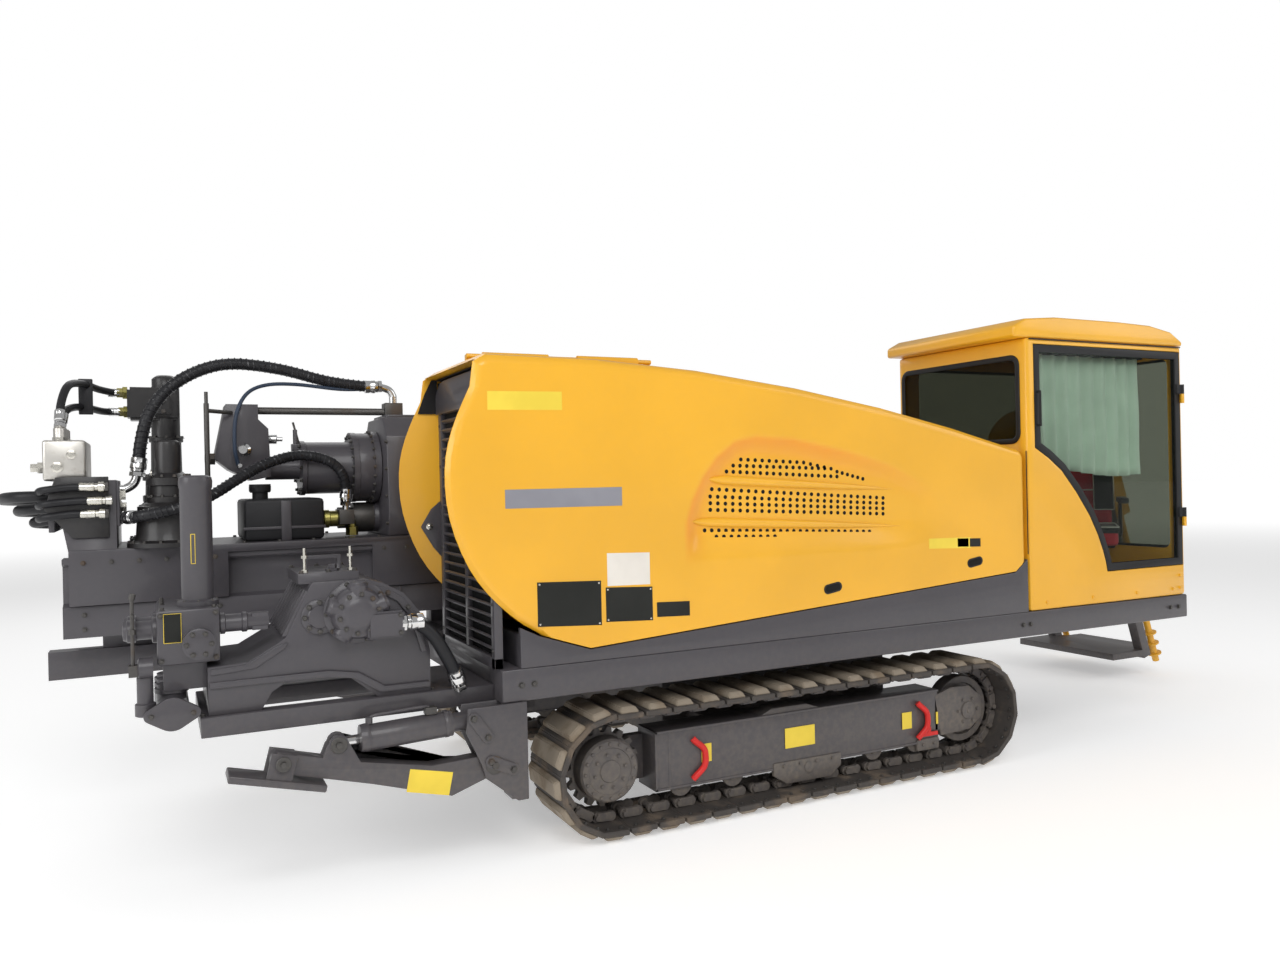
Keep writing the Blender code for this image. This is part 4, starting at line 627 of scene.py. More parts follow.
def gather(name: str, shapes: Iterable[bmesh.types.BMesh], smooth: float = 35.0) -> bpy.types.Object:
    """Joins several shapes as one object.

    Args:
        name: The object's name.
        shapes: The shapes, which are freed.
        smooth: Edges sharper than this many degrees stay sharp.

    Returns:
        The object.
    """
    whole = bmesh.new()
    for shape in shapes:
        part = bpy.data.meshes.new("part")
        shape.to_mesh(part)
        shape.free()
        whole.from_mesh(part)
        bpy.data.meshes.remove(part)
    return link(name, mesh_of(name, whole, smooth))


def flow(points: Sequence[Point], steps: int = 8) -> list[Vector]:
    """Points of a smooth curve through the given points.

    Args:
        points: The points that it goes through.
        steps: How many stretches each gap between them is divided into.

    Returns:
        The curve's points.
    """
    given = [Vector(p) for p in points]
    ends = [given[0] * 2 - given[1]] + given + [given[-1] * 2 - given[-2]]
    path = []
    for a, b, c, d in zip(ends, ends[1:], ends[2:], ends[3:]):
        for step in range(steps):
            t = step / steps
            path.append(0.5 * (2 * b + (c - a) * t + (2 * a - 5 * b + 4 * c - d) * t * t
                               + (3 * b - a - 3 * c + d) * t ** 3))
    return path + [given[-1]]


def curve_of(name: str, path: Sequence[Vector], radius: float = 0.0, sides: int = 3) -> bpy.types.Object:
    """A poly curve, with a round section if it has a radius.

    Args:
        name: The object's name.
        path: The curve's points.
        radius: The section's radius.
        sides: The section's resolution.

    Returns:
        The curve object.
    """
    curve = bpy.data.curves.new(name, "CURVE")
    curve.dimensions = "3D"
    curve.bevel_depth = radius
    curve.bevel_resolution = sides
    curve.use_fill_caps = True
    spline = curve.splines.new("POLY")
    spline.points.add(len(path) - 1)
    for point, place in zip(spline.points, path):
        point.co = (*place, 1.0)
    made = bpy.data.objects.new(name, curve)
    bpy.context.scene.collection.objects.link(made)
    return made


def flatten(made: bpy.types.Object) -> bpy.types.Object:
    """Turns a curve object into a welded mesh object of the same name.

    Args:
        made: The curve object, which is removed.

    Returns:
        The mesh object.
    """
    graph = bpy.context.evaluated_depsgraph_get()
    graph.update()
    shape = bmesh.new()
    shape.from_mesh(bpy.data.meshes.new_from_object(made.evaluated_get(graph)))
    bmesh.ops.remove_doubles(shape, verts=shape.verts, dist=0.00001)
    bmesh.ops.recalc_face_normals(shape, faces=shape.faces)
    name = made.name
    bpy.data.objects.remove(made)
    return link(name, mesh_of(name, shape, 50.0))


class Repeater:
    """A Geometry Nodes tree that sets one unit on points."""

    def __init__(self) -> None:
        """Builds the tree once."""
        self.on_points = self._tree("set_on_points")

    @staticmethod
    def _tree(name: str) -> bpy.types.NodeTree:
        """Builds a tree that instances a unit and realizes it.

        Args:
            name: The tree's name.

        Returns:
            The tree.
        """
        tree = bpy.data.node_groups.new(name, "GeometryNodeTree")
        face = tree.interface
        face.new_socket("Geometry", in_out="INPUT", socket_type="NodeSocketGeometry")
        face.new_socket("Unit", in_out="INPUT", socket_type="NodeSocketObject")
        face.new_socket("Size", in_out="INPUT", socket_type="NodeSocketFloat").default_value = 1.0
        face.new_socket("Finish", in_out="INPUT", socket_type="NodeSocketMaterial")
        face.new_socket("Geometry", in_out="OUTPUT", socket_type="NodeSocketGeometry")
        nodes, join = tree.nodes, tree.links.new
        source = nodes.new("NodeGroupInput")
        unit = nodes.new("GeometryNodeObjectInfo")
        setter = nodes.new("GeometryNodeInstanceOnPoints")
        real = nodes.new("GeometryNodeRealizeInstances")
        colour = nodes.new("GeometryNodeSetMaterial")
        sink = nodes.new("NodeGroupOutput")
        join(source.outputs["Unit"], unit.inputs["Object"])
        join(unit.outputs["Geometry"], setter.inputs["Instance"])
        join(source.outputs["Size"], setter.inputs["Scale"])
        turn = nodes.new("GeometryNodeInputNamedAttribute")
        turn.data_type = "FLOAT_VECTOR"
        turn.inputs["Name"].default_value = "turn"
        euler = nodes.new("FunctionNodeEulerToRotation")
        join(source.outputs["Geometry"], setter.inputs["Points"])
        join(turn.outputs["Attribute"], euler.inputs["Euler"])
        join(euler.outputs["Rotation"], setter.inputs["Rotation"])
        join(setter.outputs["Instances"], real.inputs["Geometry"])
        join(real.outputs["Geometry"], colour.inputs["Geometry"])
        join(source.outputs["Finish"], colour.inputs["Material"])
        join(colour.outputs["Geometry"], sink.inputs["Geometry"])
        return tree

    def _run(self, made: bpy.types.Object, tree: bpy.types.NodeTree, unit: bpy.types.Object,
             values: dict[str, object]) -> bpy.types.Object:
        """Runs a tree on an object and settles the result as a plain mesh.

        Args:
            made: The object with the points, which is removed.
            tree: The tree.
            unit: The object that is repeated, which is removed.
            values: The tree's inputs by name.

        Returns:
            The new object, under the first one's name.
        """
        step = made.modifiers.new("repeat", "NODES")
        step.node_group = tree
        for item in tree.interface.items_tree:
            if item.in_out == "INPUT" and item.name in values:
                step[item.identifier] = values[item.name]
        graph = bpy.context.evaluated_depsgraph_get()
        graph.update()
        mesh = bpy.data.meshes.new_from_object(made.evaluated_get(graph))
        name = made.name
        bpy.data.objects.remove(made)
        bpy.data.objects.remove(unit)
        mesh.shade_smooth()
        mesh.set_sharp_from_angle(angle=math.radians(35))
        return link(name, mesh)

    def points(self, name: str, places: Sequence[tuple[Point, Point]], unit: bmesh.types.BMesh,
               finish: Finish, size: float = 1.0) -> bpy.types.Object:
        """Sets a unit on places.

        Args:
            name: The new object's name.
            places: Pairs of a point and the direction that the unit's own Z takes there.
            unit: The unit's shape, round its own origin.
            finish: The finish of all the copies.
            size: A scale for the unit.

        Returns:
            One plain mesh object.
        """
        mesh = bpy.data.meshes.new(name)
        mesh.from_pydata([tuple(place) for place, _ in places], [], [])
        turns = mesh.attributes.new("turn", "FLOAT_VECTOR", "POINT")
        for index, (_, direction) in enumerate(places):
            if isinstance(direction, Matrix):
                turns.data[index].vector = direction.to_euler()
            else:
                turns.data[index].vector = Vector(direction).to_track_quat("Z", "Y").to_euler()
        return self._run(link(name, mesh), self.on_points, gather(name + "_unit", [unit]),
                         {"Unit": bpy.data.objects[name + "_unit"], "Size": size, "Finish": paint(finish)})


def strew(name: str, places: Sequence[Place], unit: bmesh.types.BMesh, finish: Finish, body: str,
          *nodes: str) -> bpy.types.Object:
    """Sets a unit on places and dresses the result as one piece.

    Args:
        name: The piece's name.
        places: Pairs of a point and the direction that the unit's own Z takes there.
        unit: The unit's shape, round its own origin.
        finish: The finish.
        body: The body it rides on.
        nodes: The model's nodes that it replaces.

    Returns:
        The piece.
    """
    return dress(REPEAT.points(name, places, unit, finish), finish, body, *nodes)


def hex_bolt(radius: float, height: float) -> bmesh.types.BMesh:
    """A hexagon head on its washer, standing on its own origin."""
    profile = ((-0.002, radius * 1.5), (0.0015, radius * 1.5), (0.0016, radius), (height, radius),
               (height + 0.0015, radius * 0.8))
    return turned(ORIGIN, UP, profile, 6)


def circle(centre: Point, normal: Point, radius: float, count: int, start: float = 0.0) -> list[Place]:
    """Places evenly round a circle, all facing along its normal.

    Args:
        centre: The circle's middle.
        normal: The direction across its plane.
        radius: Its radius.
        count: How many places there are.
        start: The angle of the first, in radians.

    Returns:
        Pairs of a place and the normal.
    """
    turn = Vector(normal).to_track_quat("Z", "Y")
    found = []
    for index in range(count):
        angle = start + 2 * math.pi * index / count
        offset = turn @ Vector((radius * math.cos(angle), radius * math.sin(angle), 0))
        found.append((tuple(Vector(centre) + offset), tuple(normal)))
    return found


def row(first: Point, last: Point, count: int, normal: Point) -> list[Place]:
    """Places evenly from first to last, all facing along the normal.

    Args:
        first: The first place.
        last: The last place.
        count: How many there are.
        normal: The direction they face.

    Returns:
        Pairs of a place and the normal.
    """
    a, b = Vector(first), Vector(last)
    return [(tuple(a.lerp(b, index / max(count - 1, 1))), tuple(normal)) for index in range(count)]


def panel(name: str, loop: Sequence[tuple[float, float]], axis: str, low: float, high: float,
          rounded: float = 0.0) -> bpy.types.Object:
    """A flat outline with thickness.

    Args:
        name: The object's name.
        loop: The outline, (x, z) for axis Y, (y, z) for axis X and (x, y) for axis Z.
        axis: The axis of its thickness.
        low: Where the thickness starts.
        high: Where it ends.
        rounded: The width of its edges' rounding.

    Returns:
        The object.
    """
    places = {"X": lambda u, v, w: (w, u, v), "Y": lambda u, v, w: (u, w, v), "Z": lambda u, v, w: (u, v, w)}
    shape = bmesh.new()
    base = [shape.verts.new(places[axis](u, v, low)) for u, v in loop]
    top = [shape.verts.new(places[axis](u, v, high)) for u, v in loop]
    count = len(loop)
    shape.faces.new(list(reversed(base)))
    shape.faces.new(top)
    for index in range(count):
        after = (index + 1) % count
        shape.faces.new((base[index], base[after], top[after], top[index]))
    bmesh.ops.recalc_face_normals(shape, faces=shape.faces)
    made = link(name, mesh_of(name, shape))
    return soften(made, rounded) if rounded else made


def lozenge(middle: tuple[float, float], hub: float, ear: float, reach: float) -> list[tuple[float, float]]:
    """The outline of a two-bolt flange: a hub between two ears, joined by their tangents.

    Args:
        middle: The hub's middle.
        hub: The hub's radius.
        ear: The ears' radius.
        reach: How far each ear's middle lies from the hub's.

    Returns:
        The outline's points, anticlockwise.
    """
    lean = math.degrees(math.acos((hub - ear) / reach))
    arcs = ((reach, ear, -lean, lean), (0.0, hub, lean, 180 - lean),
            (-reach, ear, 180 - lean, 180 + lean), (0.0, hub, 180 + lean, 360 - lean))
    loop = []
    for across, radius, first, last in arcs:
        for step in range(7):
            angle = math.radians(first + (last - first) * step / 6)
            loop.append((middle[0] + across + radius * math.cos(angle), middle[1] + radius * math.sin(angle)))
    return loop


def oblong(low: Point, high: Point, radius: float, steps: int = 4) -> list[tuple[float, float]]:
    """A rectangle with round corners.

    Args:
        low: Its lower left corner.
        high: Its upper right corner.
        radius: The radius of the corners.
        steps: How many stretches each corner has.

    Returns:
        The outline's points.
    """
    corners = ((high[0] - radius, high[1] - radius, 0), (low[0] + radius, high[1] - radius, 90),
               (low[0] + radius, low[1] + radius, 180), (high[0] - radius, low[1] + radius, 270))
    return [(u + radius * math.cos(math.radians(start + 90 * k / steps)),
             v + radius * math.sin(math.radians(start + 90 * k / steps)))
            for u, v, start in corners for k in range(steps + 1)]


@dataclass
class Studio:
    """Floor, lamps and the camera at the photograph's angle."""

    place: Colour = (-3.34, -5.225, 1.69)
    yaw: float = 26.4
    pitch: float = -0.13
    roll: float = -1.25
    lens: float = 27.42
    key: float = 540.0
    fill: float = 190.0

    def camera(self) -> None:
        """Creates the camera and sets it."""
        yaw, pitch, roll = (math.radians(angle) for angle in (self.yaw, self.pitch, self.roll))
        ahead = Vector((math.sin(yaw) * math.cos(pitch), math.cos(yaw) * math.cos(pitch), math.sin(pitch)))
        level = Vector((math.cos(yaw), -math.sin(yaw), 0))
        above = level.cross(ahead)
        right = level * math.cos(roll) + above * math.sin(roll)
        up = above * math.cos(roll) - level * math.sin(roll)
        data = bpy.data.cameras.new("photo_camera")
        data.lens = self.lens
        data.sensor_width = 36.0
        data.sensor_fit = "HORIZONTAL"
        data.clip_end = 500.0
        made = bpy.data.objects.new("photo_camera", data)
        turn = Matrix((right, up, -ahead)).transposed().to_4x4()
        made.matrix_world = Matrix.Translation(self.place) @ turn
        bpy.context.scene.collection.objects.link(made)
        bpy.context.scene.camera = made

    def lamp(self, name: str, place: Point, size: float, energy: float) -> None:
        """A soft square lamp that faces the middle of the rig.

        Args:
            name: The lamp's name.
            place: Where it stands.
            size: The length of its sides.
            energy: Its power in watts.
        """
        data = bpy.data.lights.new(name, "AREA")
        data.size = size
        data.energy = energy
        made = bpy.data.objects.new(name, data)
        aim = Vector((0.0, 0.0, 1.0)) - Vector(place)
        made.matrix_world = Matrix.Translation(place) @ aim.to_track_quat("-Z", "Y").to_matrix().to_4x4()
        bpy.context.scene.collection.objects.link(made)

    def world(self) -> None:
        """An even sky that shows white behind the rig and in its metal."""
        world = bpy.data.worlds.new("studio")
        world.use_nodes = True
        bpy.context.scene.world = world
        tree = world.node_tree
        ground = tree.nodes["Background"]
        path = tree.nodes.new("ShaderNodeLightPath")
        seen = tree.nodes.new("ShaderNodeMath")
        seen.operation = "MAXIMUM"
        level = tree.nodes.new("ShaderNodeMapRange")
        level.inputs[3].default_value = 0.40
        level.inputs[4].default_value = 1.0
        tree.links.new(path.outputs["Is Camera Ray"], seen.inputs[0])
        tree.links.new(path.outputs["Is Transmission Ray"], seen.inputs[1])
        tree.links.new(seen.outputs[0], level.inputs[0])
        tree.links.new(level.outputs[0], ground.inputs["Strength"])
        ground.inputs["Color"].default_value = (1.0, 1.0, 1.0, 1.0)

    def floor(self) -> None:
        """A wide pale floor that keeps the rig's shadow and glows with painted light, brighter farther from
        the rig.
        """
        shade = Shade("studio_floor")
        shade.set(Base_Color=rgba((0.86, 0.86, 0.86)), Roughness=0.9, Specular_IOR_Level=0.1)
        # painted light: the floor glows dimmer near the rig's middle and brighter farther out, so the far
        # floor reads white
        across, along, _ = shade.axes()
        far = (across * across + along * along).between(70.0, 900.0)
        shade.set(Emission_Color=shade.blend(far, rgba((0.36, 0.36, 0.36)), rgba((0.66, 0.66, 0.66))),
                  Emission_Strength=1.0)
        made = gather("studio_floor", [turned((0, 0, -0.006), UP, ((-0.01, 120.0), (0.0, 120.0)), 64)])
        made.data.materials.append(shade.material)

    def build(self) -> None:
        """Makes everything that isn't the rig."""
        self.camera()
        self.world()
        self.floor()
        self.lamp("key_lamp", (-4.0, -9.5, 8.5), 6.0, self.key)
        self.lamp("left_lamp", (-9.0, -3.0, 4.0), 4.0, self.fill)
        self.lamp("side_lamp", (8.0, -6.0, 6.0), 6.0, self.fill)
        self.lamp("back_lamp", (-2.0, 9.0, 8.0), 7.0, self.fill)


@dataclass
class Hood:
    """The gull-wing hood with its vent, its blank plates and the slatted front.

    Places are pairs of x and z on the near wall. Each of the bands is a row of holes: the place of
    its first hole, the place of its last hole, and their number.
    """

    wall: float = -1.095
    press_depth: float = 0.032
    press_width: float = 0.090
    press_x: tuple[float, float] = (-1.16, 0.66)
    press_low: float = 1.25
    press_top: Sequence[tuple[float, float]] = ((-1.16, 1.965), (0.10, 1.965), (0.66, 1.855))
    hole: float = 0.0105
    slant: float = 0.16
    rim: Sequence[tuple[float, float]] = (
        (-1.060, 1.200), (-1.053, 1.469), (-1.018, 1.579), (-0.956, 1.690), (-0.872, 1.792), (-0.760, 1.871),
        (-0.635, 1.895), (-0.403, 1.881), (-0.036, 1.809), (0.222, 1.740), (0.395, 1.664), (0.70, 1.50))
    bands: Sequence[tuple[float, float, float, float, int]] = (
        (-0.706, 1.771, -0.322, 1.751, 10), (-0.752, 1.741, -0.188, 1.718, 15),
        (-0.792, 1.712, -0.109, 1.674, 18), (-0.279, 1.742, -0.147, 1.716, 4),
        (-0.108, 1.700, 0.063, 1.658, 6), (-0.879, 1.626, 0.197, 1.552, 26),
        (-0.889, 1.590, 0.196, 1.523, 26), (-0.889, 1.557, 0.195, 1.495, 26),
        (-0.890, 1.524, 0.195, 1.466, 26), (-0.925, 1.424, 0.094, 1.374, 26),
        (-0.861, 1.390, -0.516, 1.376, 9))

    def skins(self) -> None:
        """Softly rounded copies of the panels, the near one with its pressing let in."""
        near = refine("hood_panel_near", Finish.YELLOW, "hood", 0.006)
        refine("hood_panel_far", Finish.YELLOW, "chassis", 0.006)
        refine("hood_skirt", Finish.GREY, "chassis", 0.004)
        low = [(x, self.press_low) for x in reversed(self.press_x)]
        knife = panel("press_knife", (*self.press_top, *low), "Y", self.wall - 0.05, self.wall + 0.06)
        cut(near, knife)
        near.data.shade_smooth()
        near.data.set_sharp_from_angle(angle=math.radians(40))
        flat = near.modifiers.new("flat_faces", "WEIGHTED_NORMAL")
        flat.weight = 100
        flat.keep_sharp = True
        settle(near)
        self.pressing()

    def depth(self, x: float, z: float) -> float:
        """How deep the pressing lies under the wall at a place.

        Args:
            x: The place along the hood.
            z: Its height.

        Returns:
            The depth in metres, none outside the rim.
        """
        nearest = self.within(x, z)
        eased = 1.0
        for share in (nearest / self.press_width, (z - self.press_low - 0.02) / 0.16,
                      (self.press_x[1] - 0.04 - x) / 0.50):
            share = min(1.0, max(0.0, share))
            eased *= share * share * (3.0 - 2.0 * share)
        return self.press_depth * eased

    def within(self, x: float, z: float) -> float:
        """How far inside the pressing's rim a point of the panel lies.

        Args:
            x: The place along the hood.
            z: Its height.

        Returns:
            The distance from the rim in metres, none outside it.
        """
        nearest, inside = 10.0, False
        for (x0, z0), (x1, z1) in zip(self.rim, self.rim[1:]):
            along = Vector((x1 - x0, z1 - z0))
            to = Vector((x - x0, z - z0))
            share = min(1.0, max(0.0, to.dot(along) / along.length_squared))
            gap = (to - along * share).length
            if gap < nearest:
                nearest, inside = gap, along.x * to.y - along.y * to.x < 0
        return nearest if inside else 0.0

    def painted_rim_shade(self, x: float, z: float) -> float:
        """The share of painted shade along the pressing's rim, which is strong at the rim and fades inwards.

        Args:
            x: The place along the hood.
            z: Its height.

        Returns:
            A share from none to full.
        """
        inner = self.within(x, z) / self.press_width
        if inner <= 0.0:
            return 0.0
        fade = max(0.0, 1.0 - inner / 1.5) ** 0.8 * min(1.0, inner / 0.22)
        ends = min(1.0, (self.press_x[1] - 0.10 - x) / 0.75) * min(1.0, (z - self.press_low) / 0.16)
        return 0.9 * fade * max(0.0, ends)

    def upper_edge(self, x: float) -> float:
        """The height of the pressing's upper edge.

        Args:
            x: The place along the hood.

        Returns:
            The height there.
        """
        spans = zip(self.press_top, self.press_top[1:])
        (x0, z0), (x1, z1) = next(span for span in spans if span[0][0] <= x <= span[1][0] + 0.0001)
        return z0 + (z1 - z0) * (x - x0) / (x1 - x0)

    def pressing(self) -> None:
        """The smoothly sunken sheet round the vent, with painted shade along its rim."""
        columns, rows = 110, 48
        shape = bmesh.new()
        grid = []
        for i in range(columns + 1):
            x = self.press_x[0] + (self.press_x[1] - self.press_x[0]) * i / columns
            top = self.upper_edge(x)
            heights = [self.press_low + (top - self.press_low) * j / rows for j in range(rows + 1)]
            grid.append([shape.verts.new((x, self.wall + self.depth(x, z), z)) for z in heights])
        for left, right in zip(grid, grid[1:]):
            for j in range(rows):
                shape.faces.new((left[j], right[j], right[j + 1], left[j + 1]))
        for face in shape.faces:
            face.normal_update()
            if face.normal.y > 0:
                face.normal_flip()
        made = link("vent_pressing", mesh_of("vent_pressing", shape, 60.0))
        # painted shade: each vertex gets its share of the deeper orange that stands in for shade along the
        # rim
        painted_shade_share = made.data.attributes.new("hollow", "FLOAT", "POINT")
        for vert, value in zip(made.data.vertices, painted_shade_share.data):
            value.value = self.painted_rim_shade(vert.co.x, vert.co.z)
        thick = made.modifiers.new("thick", "SOLIDIFY")
        thick.thickness = 0.004
        thick.offset = -1.0
        settle(made)
        made.data.shade_smooth()
        made.data.set_sharp_from_angle(angle=math.radians(50))
        dress(made, Finish.PRESSED, "hood")

    def vent(self) -> None:
        """Rows of round holes, drawn as near-black discs of painted shade, between two long ribs."""
        places = []
        for x0, z0, x1, z1, count in self.bands:
            for index in range(count):
                share = index / (count - 1)
                x, z = x0 + (x1 - x0) * share, z0 + (z1 - z0) * share
                places.append(((x, self.wall + self.depth(x, z) - 0.0002, z), NEAR))
        unit = turned(ORIGIN, UP, ((-0.003, self.hole), (0.0006, self.hole),
                                              (0.0006, self.hole * 0.8)), 12)
        # painted shade: each hole is a near-black disc
        strew("vent_holes", places, unit, Finish.SHADOW, "hood")
        for name, a, b in (("upper", (-0.905, 1.676), (0.30, 1.597)),
                           ("lower", (-1.005, 1.470), (0.34, 1.393))):
            self.rib("vent_rib_" + name, a, b)

    def rib(self, name: str, start: tuple[float, float], end: tuple[float, float]) -> None:
        """A long pressed rib that swells in front and runs out flat behind.

        Args:
            name: The piece's name.
            start: The place of its front end along the hood, and the height there.
            end: The same for its rear end.
        """
        shape = bmesh.new()
        rings = []
        count, section = 36, 8
        for index in range(count + 1):
            share = index / count
            x = start[0] + (end[0] - start[0]) * share
            z = start[1] + (end[1] - start[1]) * share
            face = self.wall + self.depth(x, z) + 0.003
            swell = min(1.0, share * 12.0) ** 0.5 * (1.0 - share ** 3) + 0.02
            half, height = 0.024 * swell, 0.027 * swell + 0.001
            rings.append([shape.verts.new((x, face - height * math.sin(math.pi * k / section),
                                           z - half * math.cos(math.pi * k / section)))
                          for k in range(section + 1)])
        for ring, after in zip(rings, rings[1:]):
            for k in range(section):
                shape.faces.new((ring[k], ring[k + 1], after[k + 1], after[k]))
            shape.faces.new((ring[-1], ring[0], after[0], after[-1]))
        shape.faces.new(rings[0])
        shape.faces.new(rings[-1])
        bmesh.ops.recalc_face_normals(shape, faces=shape.faces)
        dress(link(name, mesh_of(name, shape, 60.0)), Finish.YELLOW, "hood")

    def plates(self) -> None:
        """The blank data plates, labels and stripes, all free of words and signs."""
        face = self.wall
        sheets = (("maker_plate_a", ((-1.817, 1.030), (-1.503, 1.012), (-1.503, 1.218), (-1.817, 1.230)),
                   Finish.DECAL_BLACK),
                  ("maker_plate_b", ((-1.480, 1.024), (-1.237, 1.012), (-1.237, 1.172), (-1.480, 1.184)),
                   Finish.DECAL_BLACK),
                  ("maker_plate_c", ((-1.214, 1.025), (-1.036, 1.018), (-1.036, 1.088), (-1.214, 1.095)),
                   Finish.DECAL_BLACK),
                  ("service_sheet", ((-1.470, 1.190), (-1.248, 1.184), (-1.248, 1.335), (-1.470, 1.343)),
                   Finish.DECAL_WHITE),
                  ("label_front", ((-2.030, 2.003), (-1.678, 2.006), (-1.678, 2.090), (-2.030, 2.086)),
                   Finish.DECAL_YELLOW),
                  ("label_rear", ((0.49, 1.262), (0.80, 1.250), (0.80, 1.312), (0.49, 1.318)),
                   Finish.DECAL_YELLOW),
                  ("small_plate_a", ((0.700, 1.262), (0.782, 1.259), (0.782, 1.306), (0.700, 1.309)),
                   Finish.DECAL_BLACK),
                  ("small_plate_b", ((0.792, 1.258), (0.874, 1.255), (0.874, 1.302), (0.792, 1.305)),
                   Finish.DECAL_BLACK),
                  ("grey_band", ((-1.958, 1.566), (-1.386, 1.562), (-1.386, 1.649), (-1.958, 1.650)),
                   Finish.DECAL_GREY))
        for index, (name, loop, finish) in enumerate(sheets):
            lift = 0.0008 + 0.0004 * (index % 3 if "small" in name or "maker" in name else 0)
            dress(panel(name, loop, "Y", face - lift, face + 0.001), finish, "hood")
        screws = [((x, face - 0.001, z), NEAR)
                  for x, z in ((-1.806, 1.040), (-1.514, 1.022), (-1.514, 1.208), (-1.806, 1.219),
                               (-1.470, 1.033), (-1.247, 1.022), (-1.247, 1.162), (-1.470, 1.174))]
        unit = turned(ORIGIN, UP, ((-0.001, 0.0045), (0.001, 0.0045), (0.002, 0.002)), 10)
        strew("plate_rivets", screws, unit, Finish.ZINC, "hood")

    def catch(self, x: float, z: float, half: float, tall: float) -> list[tuple[float, float]]:
        """The oblong outline of a catch, leant with the hood's lower edge.

        Args:
            x: The place of its middle along the hood.
            z: The middle's height.
            half: Half its length.
            tall: Half its height.

        Returns:
            The outline's points.
        """
        slant = self.slant
        return [(x + u - v * slant, z + v + u * slant)
                for u, v in oblong((-half, -tall), (half, tall), tall, 6)]

    def latches(self) -> None:
        """Two oblong catch slots, each with a rim and a near-black cup of painted shade."""
        wall = self.wall
        for name, x, z in (("front", -0.175, 1.091), ("rear", 0.829, 1.169)):
            rim = panel(f"catch_rim_{name}", self.catch(x, z, 0.058, 0.025), "Y", wall - 0.0022,
                        wall + 0.002, 0.001)
            dress(rim, Finish.SEAL, "hood")
            # painted shade: the cup is a near-black plate that stands in for the shade inside the slot
            cup = panel(f"catch_cup_{name}", self.catch(x, z, 0.047, 0.017), "Y", wall - 0.003,
                        wall + 0.002, 0.0006)
            dress(cup, Finish.SHADOW, "hood")

    def slats(self) -> None:
        """The slatted front: a frame, leant slats and a near-black sheet of painted shade behind them."""
        low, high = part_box("hood_grille")
        (x0, y0, z0), (x1, y1, z1) = low, high
        rails = [block((x0, y0, z0), (x1, y0 + 0.045, z1)), block((x0, y1 - 0.045, z0), (x1, y1, z1)),
                 block((x0, y0, z0), (x1, y1, z0 + 0.05)), block((x0, y0, z1 - 0.045), (x1, y1, z1)),
                 block((x0 + 0.004, (y0 + y1) / 2 - 0.02, z0), (x1, (y0 + y1) / 2 + 0.02, z1))]
        frame = soften(gather("grille_frame", rails), 0.003)
        dress(frame, Finish.GREY, "chassis", "hood_grille")
        places = [((x0 + 0.014, (y0 + y1) / 2, z), Matrix.Identity(3).to_4x4()) for z in
                  [z0 + 0.085 + 0.0485 * k for k in range(int((z1 - z0 - 0.15) / 0.0485) + 1)]]
        slat = block((-0.011, -(y1 - y0) / 2 + 0.02, -0.006), (0.011, (y1 - y0) / 2 - 0.02, 0.006))
        bmesh.ops.rotate(slat, cent=ORIGIN, matrix=Matrix.Rotation(math.radians(38), 3, "Y"),
                         verts=slat.verts)
        bevel_edges(slat, 0.002, 1)
        strew("grille_slats", places, slat, Finish.GREY, "chassis")
        # painted shade: a near-black sheet behind the slats stands in for the shade inside the grille
        screen = gather("radiator_screen",
                        [block((x1 - 0.012, y0 + 0.02, z0 + 0.02), (x1 - 0.006, y1 - 0.02, z1 - 0.02))])
        dress(screen, Finish.SHADOW, "chassis")
        places = [((x0 + 0.004, y, z), BACK) for y in (y0 + 0.022, y1 - 0.022)
                  for z in [z0 + 0.08 + 0.21 * k for k in range(6)]]
        strew("grille_bolts", places, hex_bolt(0.009, 0.007), Finish.STEEL, "chassis")

    def brow(self) -> None:
        """The dark liner under the hood's brow, a dark plate of painted shade under its roof and the catch
        plate on the far cheek.
        """
        far = -0.186
        low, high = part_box("hood_grille")
        x0, y0, y1, z1 = low[0], low[1], high[1], high[2]
        arc = [(y1 - 0.17 + 0.17 * math.cos(a), z1 - 0.10 + 0.10 * math.sin(a)) for a in
               [math.pi / 2 * k / 8 for k in range(9)]]
        cap = panel("brow_cap", ((y0, z1 - 0.165), (y1, z1 - 0.165), *arc, (y0, z1)), "X", x0 - 0.014,
                    x0 - 0.0005, 0.003)
        dress(cap, Finish.GREY, "chassis")
        liner = panel("brow_liner",
                      ((-2.118, 2.045), (-2.014, 2.045), (-2.014, 2.222), (-2.043, 2.222), (-2.082, 2.145)),
                      "Y", far - 0.004, far - 0.0004)
        dress(liner, Finish.SEAL, "chassis")
        # painted shade: a dark plate under the brow's roof, where its underside lies in shadow
        roof = gather("brow_roof",
                      [block((-2.028, y0 + 0.004, z1 + 0.010), (x0 + 0.05, y1 - 0.004, z1 + 0.0135))])
        dress(roof, Finish.SEAL, "chassis")
        plate = panel("catch_plate",
                      ((-2.00, 1.60), (-2.06, 1.55), (-2.115, 1.46), (-2.05, 1.35), (-2.00, 1.29)), "Y",
                      far - 0.006, far - 0.0005, 0.002)
        dress(plate, Finish.GREY, "chassis")
        knob = gather("catch_knob",
                      [turned((-2.07, far - 0.005, 1.46), NEAR,
                              ((0, 0.018), (0.004, 0.018), (0.006, 0.010), (0.012, 0.010), (0.014, 0.006)),
                              18)])
        dress(knob, Finish.ZINC, "chassis")

    def build(self) -> None:
        """Makes the hood's pieces in order."""
        for step in (self.skins, self.vent, self.plates, self.latches, self.slats, self.brow):
            step()


